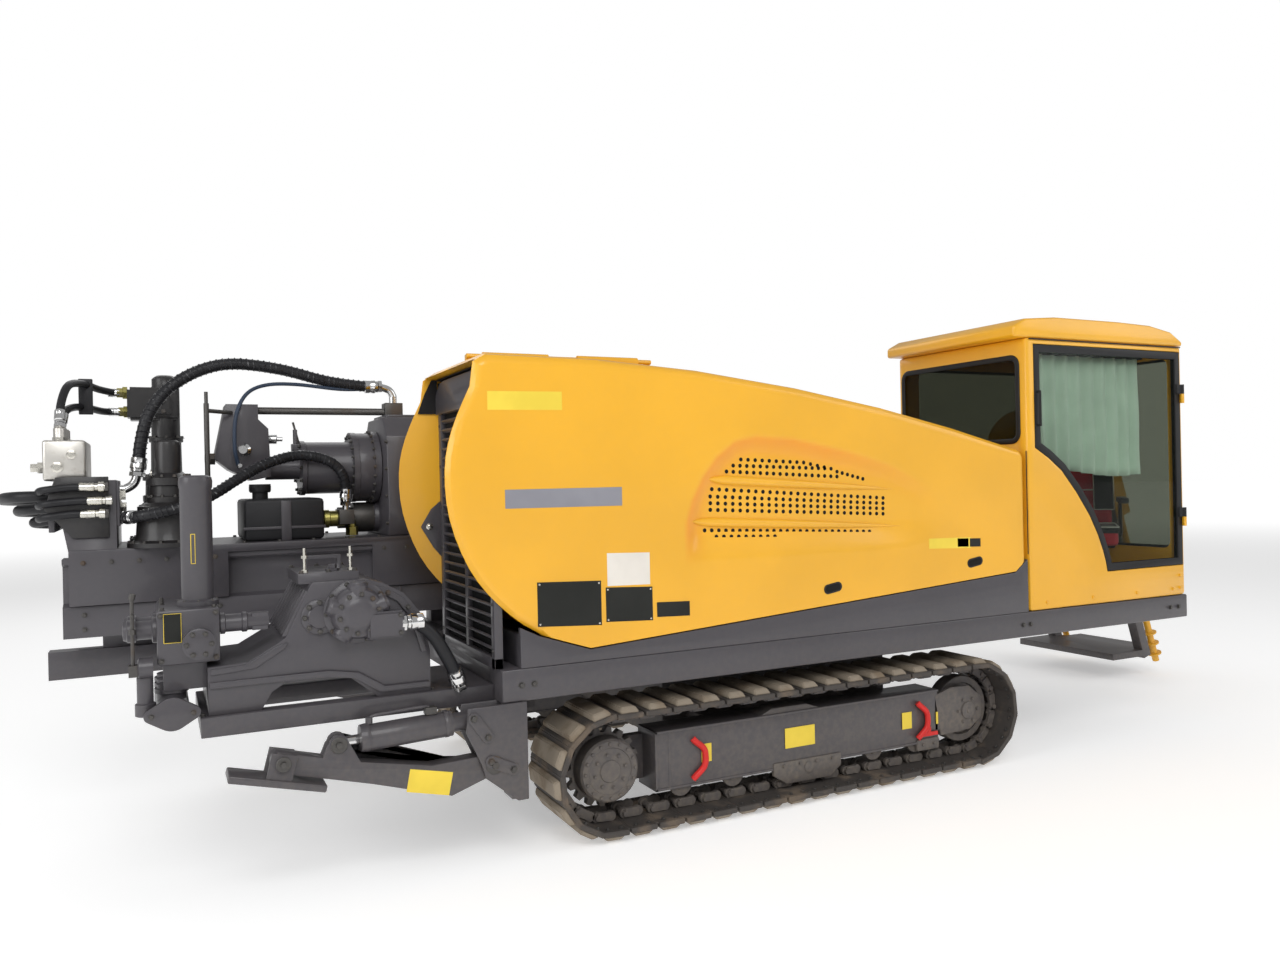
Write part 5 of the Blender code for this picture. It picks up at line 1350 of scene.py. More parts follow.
@dataclass
class Track:
    """One side's shoes, links, wheels and side beam."""

    name: str
    side: int
    drive_x: float = -1.45
    idler_x: float = 0.825
    axle: float = 0.31
    middle: float = 0.925
    shoe_width: float = 0.40
    shoes: int = 44
    plate_out: float = 0.282
    plate_in: float = 0.254
    beam: tuple[float, float, float, float] = (-1.19, 0.60, 0.165, 0.455)
    face: float = 1.02

    def loop(self, distance: float, radius: float) -> tuple[Vector, Matrix]:
        """A place on the loop and the turn of a shoe there.

        Args:
            distance: The way along the loop, going over the top towards the idler.
            radius: How far the place is from the wheels' axles.

        Returns:
            The place, and a matrix with X along the loop, Y to the left and Z outwards.
        """
        straight = self.idler_x - self.drive_x
        bend = math.pi * self.axle
        distance %= 2 * (straight + bend)
        if distance < straight:
            centre, angle = self.drive_x + distance, math.pi / 2
        elif distance < straight + bend:
            centre, angle = self.idler_x, math.pi / 2 - (distance - straight) / self.axle
        elif distance < 2 * straight + bend:
            centre, angle = self.idler_x - (distance - straight - bend), -math.pi / 2
        else:
            centre, angle = self.drive_x, -math.pi / 2 - (distance - 2 * straight - bend) / self.axle
        out = Vector((math.cos(angle), 0, math.sin(angle)))
        ahead = Vector((math.sin(angle), 0, -math.cos(angle)))
        place = Vector((centre, self.side * self.middle, self.axle)) + out * radius
        return place, Matrix((ahead, out.cross(ahead), out)).transposed()

    @property
    def pitch(self) -> float:
        """The way from one shoe to the next."""
        return 2 * (self.idler_x - self.drive_x + math.pi * self.axle) / self.shoes

    def on_loop(self, radius: float, share: float) -> list[tuple[Point, Matrix]]:
        """A place and turn for every shoe, a share of a pitch past its start."""
        return [self.loop((shoe + share) * self.pitch, radius) for shoe in range(self.shoes)]

    def belt(self) -> None:
        """Shoes with worn pads, bolts, and the links that they are bolted to."""
        half, width = self.pitch / 2, self.shoe_width / 2
        plate = gather("shoe_plate",
                       [block((-half + 0.006, -width, -0.013), (half - 0.006, width, 0.013)),
                        block((-half - 0.010, -width + 0.02, -0.013),
                              (-half + 0.012, width - 0.02, -0.001))])
        plate = soften(plate, 0.004, 1)
        shape = bmesh.new()
        shape.from_mesh(plate.data)
        bpy.data.objects.remove(plate)
        belt = REPEAT.points("shoes_" + self.name, self.on_loop((self.plate_in + self.plate_out) / 2, 0.5),
                             shape, Finish.SHOE)
        dress(belt, Finish.SHOE, "chassis", "track_" + self.name)
        pad = bmesh.new()
        bmesh.ops.create_cube(pad, size=1.0)
        for corner in pad.verts:
            taper = 0.76 if corner.co.z > 0 else 1.0
            corner.co = (corner.co.x * 0.098 * taper,
                         corner.co.y * (2 * width - 0.012 - 0.05 * (corner.co.z > 0)),
                         0.026 * (corner.co.z > 0))
        bevel_edges(pad, 0.005)
        strew("pads_" + self.name, self.on_loop(self.plate_out - 0.001, 0.5), pad, Finish.PAD, "chassis")
        bolts = []
        for place, turn in self.on_loop(self.plate_in + 0.001, 0.5):
            for u in (-0.035, 0.035):
                for v in (-0.165, 0.165):
                    inward = Matrix((turn.col[0], -turn.col[1], -turn.col[2])).transposed()
                    bolts.append((tuple(place + turn.col[0] * u + turn.col[1] * v), inward))
        strew("shoe_nuts_" + self.name, bolts, hex_bolt(0.009, 0.008), Finish.STEEL, "chassis")
        strew("links_" + self.name, self.on_loop(self.plate_in, 0.5), self.chain_link(),
              Finish.UNDERCARRIAGE, "chassis")

    @staticmethod
    def chain_link() -> bmesh.types.BMesh:
        """One link of the chain, round its own origin.

        Returns:
            Two plates with their eyes and the pin between them.
        """
        pieces = []
        for v in (-0.052, 0.052):
            for u, drop in ((-0.036, 0.010), (0.036, -0.010 if v > 0 else 0.010)):
                pieces.append(turned((u, v + drop - 0.011, -0.022), FAR, ((0, 0.025), (0.022, 0.025)), 14))
            pieces.append(block((-0.036, v - 0.010, -0.045), (0.036, v + 0.010, -0.004)))
        pieces.append(turned((0.036, -0.07, -0.022), FAR, ((0, 0.014), (0.14, 0.014)), 12))
        whole = bmesh.new()
        for piece in pieces:
            mesh = bpy.data.meshes.new("link")
            piece.to_mesh(mesh)
            piece.free()
            whole.from_mesh(mesh)
        return whole

    def y(self, depth: float) -> float:
        """A depth from the rig's middle, on this side."""
        return self.side * depth

    def wheels(self) -> None:
        """The drive hub's cover, the toothed ring, the idler and the rollers."""
        out = (0, self.side, 0)
        cover = turned((self.drive_x, self.y(0.86), self.axle), out,
                       ((0, 0.150), (0.165, 0.150), (0.176, 0.140), (0.180, 0.115), (0.181, 0.112),
                        (0.176, 0.108), (0.176, 0.055), (0.182, 0.050), (0.184, 0.020)), 48)
        idler = turned((self.idler_x, self.y(self.middle - 0.042), self.axle), out,
                       ((0, 0.185), (0.004, 0.189), (0.080, 0.189), (0.084, 0.185), (0.084, 0.150),
                        (0.066, 0.145), (0.066, 0.075), (0.090, 0.070), (0.095, 0.045), (0.098, 0.030)), 40)
        dress(gather("wheels_" + self.name, [cover, idler]), Finish.UNDERCARRIAGE, "chassis")
        ring = refine("sprocket_" + self.name, Finish.STEEL, "chassis", 0.002)
        ring.data.materials[0] = paint(Finish.UNDERCARRIAGE)
        bolts = circle((self.drive_x, self.y(1.036), self.axle), out, 0.128, 16)
        bolts += circle((self.drive_x, self.y(1.037), self.axle), out, 0.080, 8, 0.2)
        bolts += circle((self.idler_x, self.y(0.968), self.axle), out, 0.055, 6)
        strew("wheel_bolts_" + self.name, bolts, hex_bolt(0.008, 0.007), Finish.UNDERCARRIAGE, "chassis")
        height = self.axle - 0.1924 + 0.062
        centres = [((-1.05 + 1.5 * k / 5, self.y(self.middle), height), out) for k in range(6)]
        roller = turned((0, 0, -0.082), UP,
                        ((0, 0.028), (0.006, 0.030), (0.010, 0.062), (0.026, 0.062), (0.030, 0.054),
                         (0.134, 0.054), (0.138, 0.062), (0.154, 0.062), (0.158, 0.030), (0.164, 0.028)),
                        24)
        strew("rollers_" + self.name, centres, roller, Finish.UNDERCARRIAGE, "chassis")

    def slab(self, low: Point, high: Point) -> bmesh.types.BMesh:
        """A block on this side, its depths given from the rig's middle outwards."""
        inner, outer = self.span(low[1], high[1])
        return block((low[0], inner, low[2]), (high[0], outer, high[2]))

    def span(self, inner: float, outer: float) -> list[float]:
        """Two depths from the rig's middle, on this side and in rising order."""
        return sorted((self.y(inner), self.y(outer)))

    def side_beam(self) -> None:
        """The welded side beam with its flanges, guards, seams and caps."""
        x0, x1, z0, z1 = self.beam
        near, inner = self.face, 0.83
        name = self.name
        slab = self.slab
        parts = [slab((x0, inner, z0 + 0.004), (x1, near - 0.004, z1 - 0.004)),
                 slab((x0 - 0.012, inner, z1 - 0.012), (x1 + 0.006, near, z1)),
                 slab((x0 - 0.012, inner, z0), (x1 + 0.006, near, z0 + 0.012)),
                 slab((x0 - 0.012, inner, z0), (x0 + 0.002, near, z1)),
                 slab((x0 + 0.06, near - 0.006, z0 + 0.012), (x0 + 0.072, near - 0.002, z1 - 0.012)),
                 slab((-1.44, inner, 0.20), (x0 + 0.05, inner + 0.05, 0.42)),
                 slab((x1 - 0.02, inner, 0.22), (0.80, inner + 0.028, 0.40)),
                 slab((x1 - 0.02, near - 0.030, 0.225), (0.80, near - 0.004, 0.395))]
        beam = soften(gather("side_beam_" + name, parts), 0.004)
        dress(beam, Finish.GREY, "chassis", "track_frame_" + name)
        face = near - 0.001
        arch = [(-0.60, z1 - 0.006), (-0.52, z1 + 0.028), (-0.30, z1 + 0.028), (-0.20, z1 - 0.006)]
        dress(panel("top_guard_" + name, arch, "Y", *self.span(0.90, near - 0.01), 0.003),
              Finish.UNDERCARRIAGE, "chassis")
        skid = [(-0.52, 0.20), (-0.52, 0.135), (-0.44, 0.085), (-0.16, 0.085), (-0.09, 0.135), (-0.09, 0.20)]
        dress(panel("chain_guide_" + name, skid, "Y", *self.span(near - 0.02, near + 0.004), 0.004),
              Finish.UNDERCARRIAGE, "chassis")
        stop = [(0.44, 0.19), (0.44, 0.125), (0.60, 0.125), (0.60, 0.19)]
        dress(panel("end_guide_" + name, stop, "Y", *self.span(near - 0.02, near + 0.004), 0.006),
              Finish.UNDERCARRIAGE, "chassis")
        yoke = [(0.58, 0.42), (0.70, 0.455), (0.84, 0.45), (0.93, 0.38), (0.93, 0.26), (0.84, 0.20),
                (0.62, 0.19)]
        dress(panel("yoke_" + name, yoke, "Y", *self.span(near - 0.022, near - 0.002), 0.004),
              Finish.UNDERCARRIAGE, "chassis")
        hub = turned((self.idler_x, self.y(near - 0.004), self.axle), (0, self.side, 0),
                     ((0, 0.050), (0.010, 0.048), (0.014, 0.040), (0.014, 0.018), (0.018, 0.015)), 24)
        boss = turned((-0.30, self.y(near), 0.155), (0, self.side, 0),
                      ((0, 0.030), (0.008, 0.030), (0.012, 0.022)), 20)
        dress(gather("caps_" + name, [hub, boss]), Finish.UNDERCARRIAGE, "chassis")
        bolts = row((-0.46, self.y(near + 0.004), 0.180), (-0.15, self.y(near + 0.004), 0.180), 4,
                    (0, self.side, 0))
        bolts += circle((self.idler_x, self.y(near - 0.001), self.axle), (0, self.side, 0), 0.072, 6)
        bolts += row((0.48, self.y(near + 0.004), 0.160), (0.56, self.y(near + 0.004), 0.160), 2,
                     (0, self.side, 0))
        strew("beam_bolts_" + name, bolts, hex_bolt(0.008, 0.007), Finish.UNDERCARRIAGE, "chassis")
        labels = (("a", (-0.945, 0.272), (-0.888, 0.362)), ("b", (-0.445, 0.268), (-0.257, 0.372)),
                  ("c", (0.337, 0.262), (0.405, 0.354)), ("d", (0.583, 0.262), (0.598, 0.329)))
        for mark, low, high in labels:
            dress(panel(f"beam_label_{name}_{mark}", [low, (high[0], low[1]), high, (low[0], high[1])], "Y",
                        *self.span(near - 0.001, near + 0.0009)), Finish.DECAL_YELLOW, "chassis")
        arrow = [(0.455, 0.205), (0.585, 0.205), (0.585, 0.225), (0.535, 0.225), (0.535, 0.258),
                 (0.505, 0.225), (0.455, 0.225)]
        thickness = 0.0015 if self.side > 0 else 0.012
        dress(panel("red_mark_" + name, arrow, "Y", *self.span(face, face + thickness)), Finish.RED,
              "chassis")

    def grips(self) -> None:
        """The two bent red handles on the side beam."""
        for index, x in enumerate((-0.985, 0.455)):
            foot = self.y(self.face + 0.006)
            bend, crown = foot + self.side * 0.006, foot + self.side * 0.008
            route = flow(((x - 0.012, foot, 0.400), (x, bend, 0.385), (x + 0.045, crown, 0.345),
                          (x + 0.055, crown, 0.300), (x + 0.045, crown, 0.255), (x, bend, 0.215),
                          (x - 0.012, foot, 0.200)), 6)
            grip = flatten(curve_of(f"red_grip_{self.name}_{index}", route, 0.016, 4))
            dress(grip, Finish.RED, "chassis")

    def build(self) -> None:
        """Makes the side in order."""
        for step in (self.belt, self.wheels, self.side_beam, self.grips):
            step()


@dataclass
class Cab:
    """The cab's skins, seals, blind, seat, console and bolts."""

    face: float = -1.095
    blind_x: tuple[float, float] = (1.40, 2.36)
    blind_z: tuple[float, float] = (1.66, 2.385)
    blind_y: float = -1.035
    pleats: int = 9
    seat_post: Point = (2.24, -0.62, 0.16)
    seat_angle: float = 42.0
    seat_y: tuple[float, float] = (-0.80, -0.32)

    def skins(self) -> None:
        """Softly rounded copies of shell and roof."""
        refine("cab_shell", Finish.YELLOW, "chassis", 0.008)
        refine("cab_roof", Finish.YELLOW, "chassis", 0.006)
        refine("cab_door_frame", Finish.SEAL, "cab_door", 0.003)
        refine("control_console", Finish.PLASTIC, "chassis", 0.008)

    def seals(self) -> None:
        """Black rubber beads round the three fixed windows."""
        windows = (("left", "X", (-1.030, 1.860), (-0.045, 2.360), 1.263),
                   ("right", "X", (-1.030, 1.150), (-0.065, 2.400), 2.677),
                   ("far", "Y", (1.40, 1.35), (2.58, 2.40), 0.002))
        for name, axis, low, high, depth in windows:
            loop = oblong(low, high, 0.05, 6)
            loop.append(loop[0])
            route = [Vector((depth, u, v)) if axis == "X" else Vector((u, depth, v)) for u, v in loop]
            bead = flatten(curve_of("window_seal_" + name, route, 0.017, 3))
            for corner in bead.data.vertices:
                index = 0 if axis == "X" else 1
                corner.co[index] = depth + (corner.co[index] - depth) * 0.35
            dress(bead, Finish.SEAL, "chassis")

    def blind(self) -> None:
        """The pleated cloth blind that hangs inside the door glass."""
        (x0, x1), (z0, z1) = self.blind_x, self.blind_z
        across, down = self.pleats * 12, 14
        shape = bmesh.new()
        grid = []
        for j in range(down + 1):
            rowful = []
            share = j / down
            for i in range(across + 1):
                u = i / across
                wave = math.sin(2 * math.pi * self.pleats * u + 0.5 * math.sin(7 * u))
                depth = (0.014 + 0.010 * share) * wave + 0.004 * math.sin(3.1 * u + 2.2 * share)
                low = z0 + 0.025 * math.sin(5.0 * u + 0.8) + 0.16 * max(0.0, 0.28 - u) / 0.28
                x = x0 + (x1 - x0) * u + 0.006 * math.sin(9 * share + 4 * u) * share
                rowful.append(shape.verts.new((x, self.blind_y + 0.026 + depth, z1 + (low - z1) * share)))
            grid.append(rowful)
        for above, below in zip(grid, grid[1:]):
            for a, b, c, d in zip(above, above[1:], below[1:], below):
                shape.faces.new((a, b, c, d))
        made = link("pleated_blind", mesh_of("pleated_blind", shape, 80.0))
        wall = made.modifiers.new("cloth", "SOLIDIFY")
        wall.thickness = 0.0018
        settle(made)
        made.data.shade_smooth()
        dress(made, Finish.BLIND, "chassis")
        rail = gather("blind_rail", [turned((x0 - 0.02, self.blind_y + 0.026, z1 + 0.006), AHEAD,
                                            ((0, 0.009), (x1 - x0 + 0.04, 0.009)), 14),
                                     block((x0 - 0.03, self.blind_y + 0.010, z1 - 0.002),
                                           (x0 - 0.018, self.blind_y + 0.050, z1 + 0.016)),
                                     block((x1 + 0.018, self.blind_y + 0.010, z1 - 0.002),
                                           (x1 + 0.030, self.blind_y + 0.050, z1 + 0.016))])
        dress(rail, Finish.PLASTIC, "chassis")

    def swivel(self, *made: bpy.types.Object) -> None:
        """Turns the seat's pieces on their post towards the door, as it stands in the photograph.

        Args:
            made: The pieces.
        """
        x, y, drop = self.seat_post
        turn = Matrix.Translation((x, y, -drop)) @ Matrix.Rotation(math.radians(self.seat_angle), 4, "Z") \
            @ Matrix.Translation((-2.20, 0.56, 0))
        for piece in made:
            piece.data.transform(turn)

    def seat(self) -> None:
        """The operator's seat: red and black cloth with pale piping."""
        self.pedestal()
        self.cushions()
        self.wings()
        self.piping()
        self.rests()

    def pedestal(self) -> None:
        """The seat's plain foot on the cab's floor."""
        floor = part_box("seat_base")[0][2]
        foot = gather("seat_pedestal", [block((2.06, -0.70, floor), (2.34, -0.42, 1.325))])
        self.swivel(foot)
        for corner in foot.data.vertices:
            corner.co.z = max(corner.co.z, floor)
        dress(soften(foot, 0.02), Finish.PLASTIC, "chassis", "seat_base")

    def cushions(self) -> None:
        """The red cushion, back and head pad."""
        y0, y1 = self.seat_y
        cushion = ((1.96, 1.34), (2.40, 1.335), (2.44, 1.37), (2.435, 1.43), (2.38, 1.452), (2.00, 1.44))
        back = ((2.48, 1.40), (2.36, 1.40), (2.335, 1.50), (2.44, 2.00), (2.48, 2.03), (2.55, 2.02))
        head = ((2.56, 2.04), (2.465, 2.035), (2.48, 2.16), (2.505, 2.195), (2.56, 2.19), (2.575, 2.15))
        for name, loop, low, high, nodes in (("seat_cushion", cushion, y0, y1, ["operator_seat"]),
                                             ("seat_back", back, y0 + 0.01, y1 - 0.01, []),
                                             ("seat_head", head, -0.68, -0.44, [])):
            pad = panel(name, loop, "Y", low, high)
            self.swivel(pad)
            edge = pad.modifiers.new("rounded", "BEVEL")
            edge.width = 0.028
            edge.segments = 4
            edge.limit_method = "ANGLE"
            edge.angle_limit = math.radians(50)
            settle(pad)
            pad.data.shade_smooth()
            dress(pad, Finish.SEAT_RED, "chassis", *nodes)

    def wings(self) -> None:
        """The black side wings of the back and of the cushion."""
        y0, y1 = self.seat_y
        wing = ((2.395, 1.60), (2.345, 1.56), (2.395, 1.80), (2.44, 1.86))
        bolster = ((2.32, 1.42), (1.99, 1.42), (1.98, 1.458), (2.30, 1.466))
        for name, loop, low, high in (("wing_near", wing, y0 - 0.004, y0 + 0.12),
                                      ("wing_far", wing, y1 - 0.12, y1 + 0.004),
                                      ("bolster_near", bolster, y0 - 0.004, y0 + 0.13),
                                      ("bolster_far", bolster, y1 - 0.13, y1 + 0.004)):
            pad = panel("seat_" + name, loop, "Y", low, high, 0.008)
            self.swivel(pad)
            dress(pad, Finish.SEAT_BLACK, "chassis")

    def piping(self) -> None:
        """The pale piping on the seat's seams, and the posts of its head pad."""
        y0, y1 = self.seat_y
        lines = [[(2.388, y, 1.862), (2.330, y, 1.565), (2.330, inner, 1.565), (2.388, inner, 1.862),
                  (2.388, y, 1.862)]
                 for y, inner in ((y0 - 0.002, y0 + 0.122), (y1 + 0.002, y1 - 0.122))]
        lines += [[(1.985, y, 1.462), (1.985, inner, 1.462), (2.305, inner, 1.472), (2.305, y, 1.472),
                   (1.985, y, 1.462)]
                  for y, inner in ((y0 - 0.002, y0 + 0.132), (y1 + 0.002, y1 - 0.132))]
        lines += [[(1.962, y, 1.36), (1.962, y, 1.425)] for y in (y0 + 0.13, y1 - 0.13)]
        lines += [[(x, y0 + 0.125, z), (x, y1 - 0.125, z)] for x, z in ((2.352, 1.70), (2.386, 1.86))]
        for index, route in enumerate(lines):
            made = flatten(curve_of(f"seat_piping_{index}", [Vector(point) for point in route], 0.005, 2))
            self.swivel(made)
            dress(made, Finish.PIPING, "chassis")
        posts = gather("head_posts", [turned((2.515, y, 1.99), UP, ((0, 0.008), (0.09, 0.008)), 12)
                                      for y in (-0.60, -0.52)])
        self.swivel(posts)
        dress(posts, Finish.CHROME, "chassis")

    def rests(self) -> None:
        """The arm rests on their posts, the bar between them and the plate under the cushion."""
        y0, y1 = self.seat_y
        spans = [((2.10, y, 1.61), (2.41, y + 0.055, 1.65)) for y in (-0.875, -0.30)]
        spans += [((2.36, y + 0.01, 1.38), (2.40, y + 0.035, 1.62)) for y in (-0.865, -0.31)]
        spans += [((2.34, -0.83, 1.365), (2.41, -0.29, 1.40)),
                  ((2.00, y0 + 0.02, 1.325), (2.42, y1 - 0.02, 1.345))]
        rests = gather("seat_rests", [block(low, high) for low, high in spans])
        self.swivel(rests)
        dress(soften(rests, 0.010), Finish.SEAT_BLACK, "chassis")

    def console(self) -> None:
        """Lever boots and knobs on the console."""
        rows = (-0.72, -0.60, -0.50, -0.38)
        lean = (0.18, 0, 1)
        knobs = [turned((1.462, y, 1.73), lean,
                        ((0, 0.010), (0.012, 0.020), (0.045, 0.021), (0.058, 0.010)), 16) for y in rows]
        dress(gather("lever_knobs", knobs), Finish.SEAT_BLACK, "chassis")
        boots = [turned((1.422, y, 1.555), lean, ((0, 0.034), (0.016, 0.030), (0.022, 0.022), (0.034, 0.022),
                                                  (0.040, 0.015), (0.055, 0.012)), 16) for y in rows]
        dress(gather("lever_boots", boots), Finish.RUBBER, "chassis")

    def fittings(self) -> None:
        """The seams under the roof and beside the hood, and the bolts of the lower corner."""
        strip = [Vector((x, self.face - 0.0035, z)) for x, z in ((1.290, 2.462), (2.660, 2.462))]
        dress(flatten(curve_of("roof_seam", strip, 0.004, 2)), Finish.SEAL, "chassis")
        seam = [Vector((1.256, self.face + 0.004, 1.19)), Vector((1.256, self.face + 0.004, 1.80))]
        dress(flatten(curve_of("hood_seam", seam, 0.003, 2)), Finish.SEAL, "chassis")
        places = [((2.62, self.face - 0.0005, z), NEAR) for z in (0.90, 0.98)]
        places += [((x, self.face - 0.0005, 0.895), NEAR) for x in (1.40, 1.80, 2.20, 2.55)]
        strew("cab_bolts", places, hex_bolt(0.008, 0.006), Finish.YELLOW, "chassis")

    def build(self) -> None:
        """Makes the cab in order."""
        for step in (self.skins, self.seals, self.blind, self.seat, self.console, self.fittings):
            step()


@dataclass
class HosePlan:
    """One hose: its route, its size, its metal ends and what guards it."""

    name: str
    route: Sequence[Point]
    radius: float
    node: str = ""
    body: str = "carriage"
    guard: bool = True
    metal: tuple[float, float] = (0.03, 0.03)
    finish: Finish = Finish.RUBBER


class Hoses:
    """Hydraulic hoses with a spiral guard, pressed sleeves and bent metal ends."""

    bulkhead: float = -3.5154

    def __init__(self) -> None:
        """Starts with no metal end made."""
        self.ends: dict[str, list[bmesh.types.BMesh]] = {}

    def lay(self, plan: HosePlan) -> None:
        """Makes one hose with its guard and its end fittings.

        Args:
            plan: What the hose is.
        """
        path = flow(plan.route, 6)
        lengths = [0.0]
        for a, b in zip(path, path[1:]):
            lengths.append(lengths[-1] + (b - a).length)
        first = next(i for i, run in enumerate(lengths) if run >= plan.metal[0])
        last = next(i for i, run in enumerate(lengths) if run >= lengths[-1] - plan.metal[1])
        rubber = path[first:last + 1]
        tube = dress(flatten(curve_of(plan.name, rubber, plan.radius, 5)), plan.finish, plan.body,
                     *([plan.node] if plan.node else []))
        tuple(rubber[0])
        2 * plan.radius
        [tuple(point) for point in rubber]
        if plan.guard:
            self.guard(plan, rubber)
        for index, (metal, tip, after) in enumerate(((path[:first + 1], rubber[0], rubber[2]),
                                                      (path[last:], rubber[-1], rubber[-3]))):
            if len(metal) > 1:
                pipe = flatten(curve_of(f"{plan.name}_pipe_{index}", metal, plan.radius * 0.72, 4))
                dress(pipe, Finish.CHROME, plan.body)
            self.collar(plan, tip, after - tip)

    def guard(self, plan: HosePlan, inner: Sequence[Vector]) -> None:
        """A flat spiral wound round the hose from one end to the other.

        Args:
            plan: The hose.
            inner: The points of its rubber part.
        """
        turn, steps = plan.radius * 0.95, 7
        lengths = [0.0]
        for a, b in zip(inner, inner[1:]):
            lengths.append(lengths[-1] + (b - a).length)
        total = lengths[-1]
        count = int(total / turn) * steps
        side = Vector(UP) if abs((inner[1] - inner[0]).normalized().z) < 0.9 else Vector(AHEAD)
        coil, at = [], 0
        for k in range(count + 1):
            along = total * k / max(count, 1)
            while at < len(lengths) - 2 and lengths[at + 1] < along:
                at += 1
            share = (along - lengths[at]) / max(lengths[at + 1] - lengths[at], 1e-6)
            ahead = (inner[at + 1] - inner[at]).normalized()
            place = inner[at].lerp(inner[at + 1], share)
            side = (side - ahead * side.dot(ahead)).normalized()
            other = ahead.cross(side)
            angle = 2 * math.pi * k / steps
            coil.append(place + (side * math.cos(angle) + other * math.sin(angle)) * (plan.radius + 0.0005))
        dress(flatten(curve_of(plan.name + "_guard", coil, plan.radius * 0.15, 0)), Finish.GUARD, plan.body)

    def collar(self, plan: HosePlan, tip: Vector, inward: Vector) -> None:
        """A crimped sleeve and its hexagon nut at a hose's end.

        Args:
            plan: The hose.
            tip: Where its rubber ends.
            inward: The direction from there along the hose.
        """
        r = plan.radius
        sleeve = turned(tip, inward,
                        ((-0.010, r * 0.75), (-0.008, r * 1.12), (0.004, r * 1.14), (0.008, r * 1.30),
                         (0.030, r * 1.26), (0.034, r * 1.20), (0.038, r * 1.26), (0.060, r * 1.26),
                         (0.064, r * 1.02)), 18)
        nut = turned(tip, inward,
                     ((-0.034, r * 0.95), (-0.032, r * 1.22), (-0.012, r * 1.22), (-0.010, r * 0.95)), 6)
        self.ends.setdefault(plan.body, []).extend([sleeve, nut])

    def swivel_hoses(self) -> None:
        """The long hose over the power head, the one to its motor and a thin one."""
        start = self.bulkhead + 0.011
        main = ((start, 0.300, 1.690), (-3.475, 0.300, 1.692), (-3.435, 0.300, 1.725),
                (-3.418, 0.305, 1.80), (-3.405, 0.315, 1.92), (-3.365, 0.330, 2.070),
                (-3.275, 0.350, 2.200), (-3.130, 0.380, 2.300), (-2.960, 0.400, 2.345),
                (-2.720, 0.420, 2.325), (-2.480, 0.440, 2.270), (-2.280, 0.450, 2.246),
                (-2.190, 0.450, 2.244), (-2.130, 0.450, 2.227), (-2.107, 0.450, 2.195),
                (-2.105, 0.450, 2.180), (-2.105, 0.450, 2.165), (-2.105, 0.450, 2.1504))
        low = ((start, 0.185, 1.550), (-3.480, 0.184, 1.550), (-3.447, 0.130, 1.553), (-3.385, 0.066, 1.562),
               (-3.285, 0.044, 1.580), (-3.190, 0.052, 1.605), (-3.080, 0.090, 1.655), (-2.960, 0.160, 1.730),
               (-2.830, 0.235, 1.800), (-2.690, 0.295, 1.845), (-2.570, 0.308, 1.845), (-2.470, 0.308, 1.805),
               (-2.415, 0.315, 1.735), (-2.400, 0.338, 1.650), (-2.400, 0.346, 1.600), (-2.400, 0.347, 1.580),
               (-2.400, 0.347, 1.565), (-2.400, 0.347, 1.5504))
        thin = ((-2.940, 0.3896, 1.80), (-2.940, 0.380, 1.80), (-2.940, 0.372, 1.80), (-2.950, 0.345, 1.815),
                (-2.965, 0.318, 1.90), (-2.955, 0.330, 2.06), (-2.900, 0.370, 2.18), (-2.800, 0.400, 2.235),
                (-2.640, 0.420, 2.245), (-2.400, 0.440, 2.225), (-2.220, 0.450, 2.232))
        self.lay(HosePlan("main_hose", main, 0.030, "swivel_hoses", metal=(0.14, 0.16)))
        self.lay(HosePlan("low_hose", low, 0.0265, metal=(0.035, 0.06)))
        self.lay(HosePlan("thin_hose", thin, 0.010, guard=False, metal=(0.012, 0.02),
                          finish=Finish.THIN_HOSE))
        plate = block((self.bulkhead, 0.15, 1.51), (self.bulkhead + 0.015, 0.36, 1.728))
        dress(soften(gather("hose_plate", [plate]), 0.003), Finish.GREY, "carriage")

    def motor_hoses(self) -> None:
        """The two hoses from the valve block over to the far feed motor."""
        foot, high, low, face = 1.9904, 2.2108, 2.1108, -3.4704
        above = ((-3.750, 0.22, foot), (-3.750, 0.22, foot + 0.015), (-3.750, 0.22, foot + 0.03),
                 (-3.745, 0.28, high - 0.09), (-3.720, 0.38, high), (-3.670, 0.54, high + 0.025),
                 (-3.600, 0.68, high + 0.01), (-3.530, 0.748, high), (-3.505, 0.750, high),
                 (-3.490, 0.750, high), (face, 0.750, high))
        below = ((-3.750, 0.34, foot), (-3.750, 0.34, foot + 0.015), (-3.750, 0.34, foot + 0.03),
                 (-3.740, 0.41, low - 0.03), (-3.710, 0.50, low), (-3.660, 0.64, low + 0.01),
                 (-3.590, 0.76, low), (-3.530, 0.788, low), (-3.505, 0.790, low), (-3.490, 0.790, low),
                 (face, 0.790, low))
        self.lay(HosePlan("upper_motor_hose", above, 0.019, "motor_hoses", guard=False))
        self.lay(HosePlan("lower_motor_hose", below, 0.019, guard=False))
        clamp = block((-3.690, 0.575, low - 0.03), (-3.625, 0.595, high + 0.055))
        dress(soften(gather("hose_clamp", [clamp]), 0.003), Finish.RUBBER, "carriage")
        unions = [turned((face + 0.001, 0.75, high), BACK,
                         ((0, 0.036), (0.022, 0.036), (0.024, 0.028), (0.05, 0.028)), 6),
                  turned((face + 0.001, 0.79, low), BACK,
                         ((0, 0.034), (0.020, 0.034), (0.022, 0.027), (0.045, 0.027)), 6)]
        dress(gather("motor_unions", unions), Finish.BRASS, "carriage")

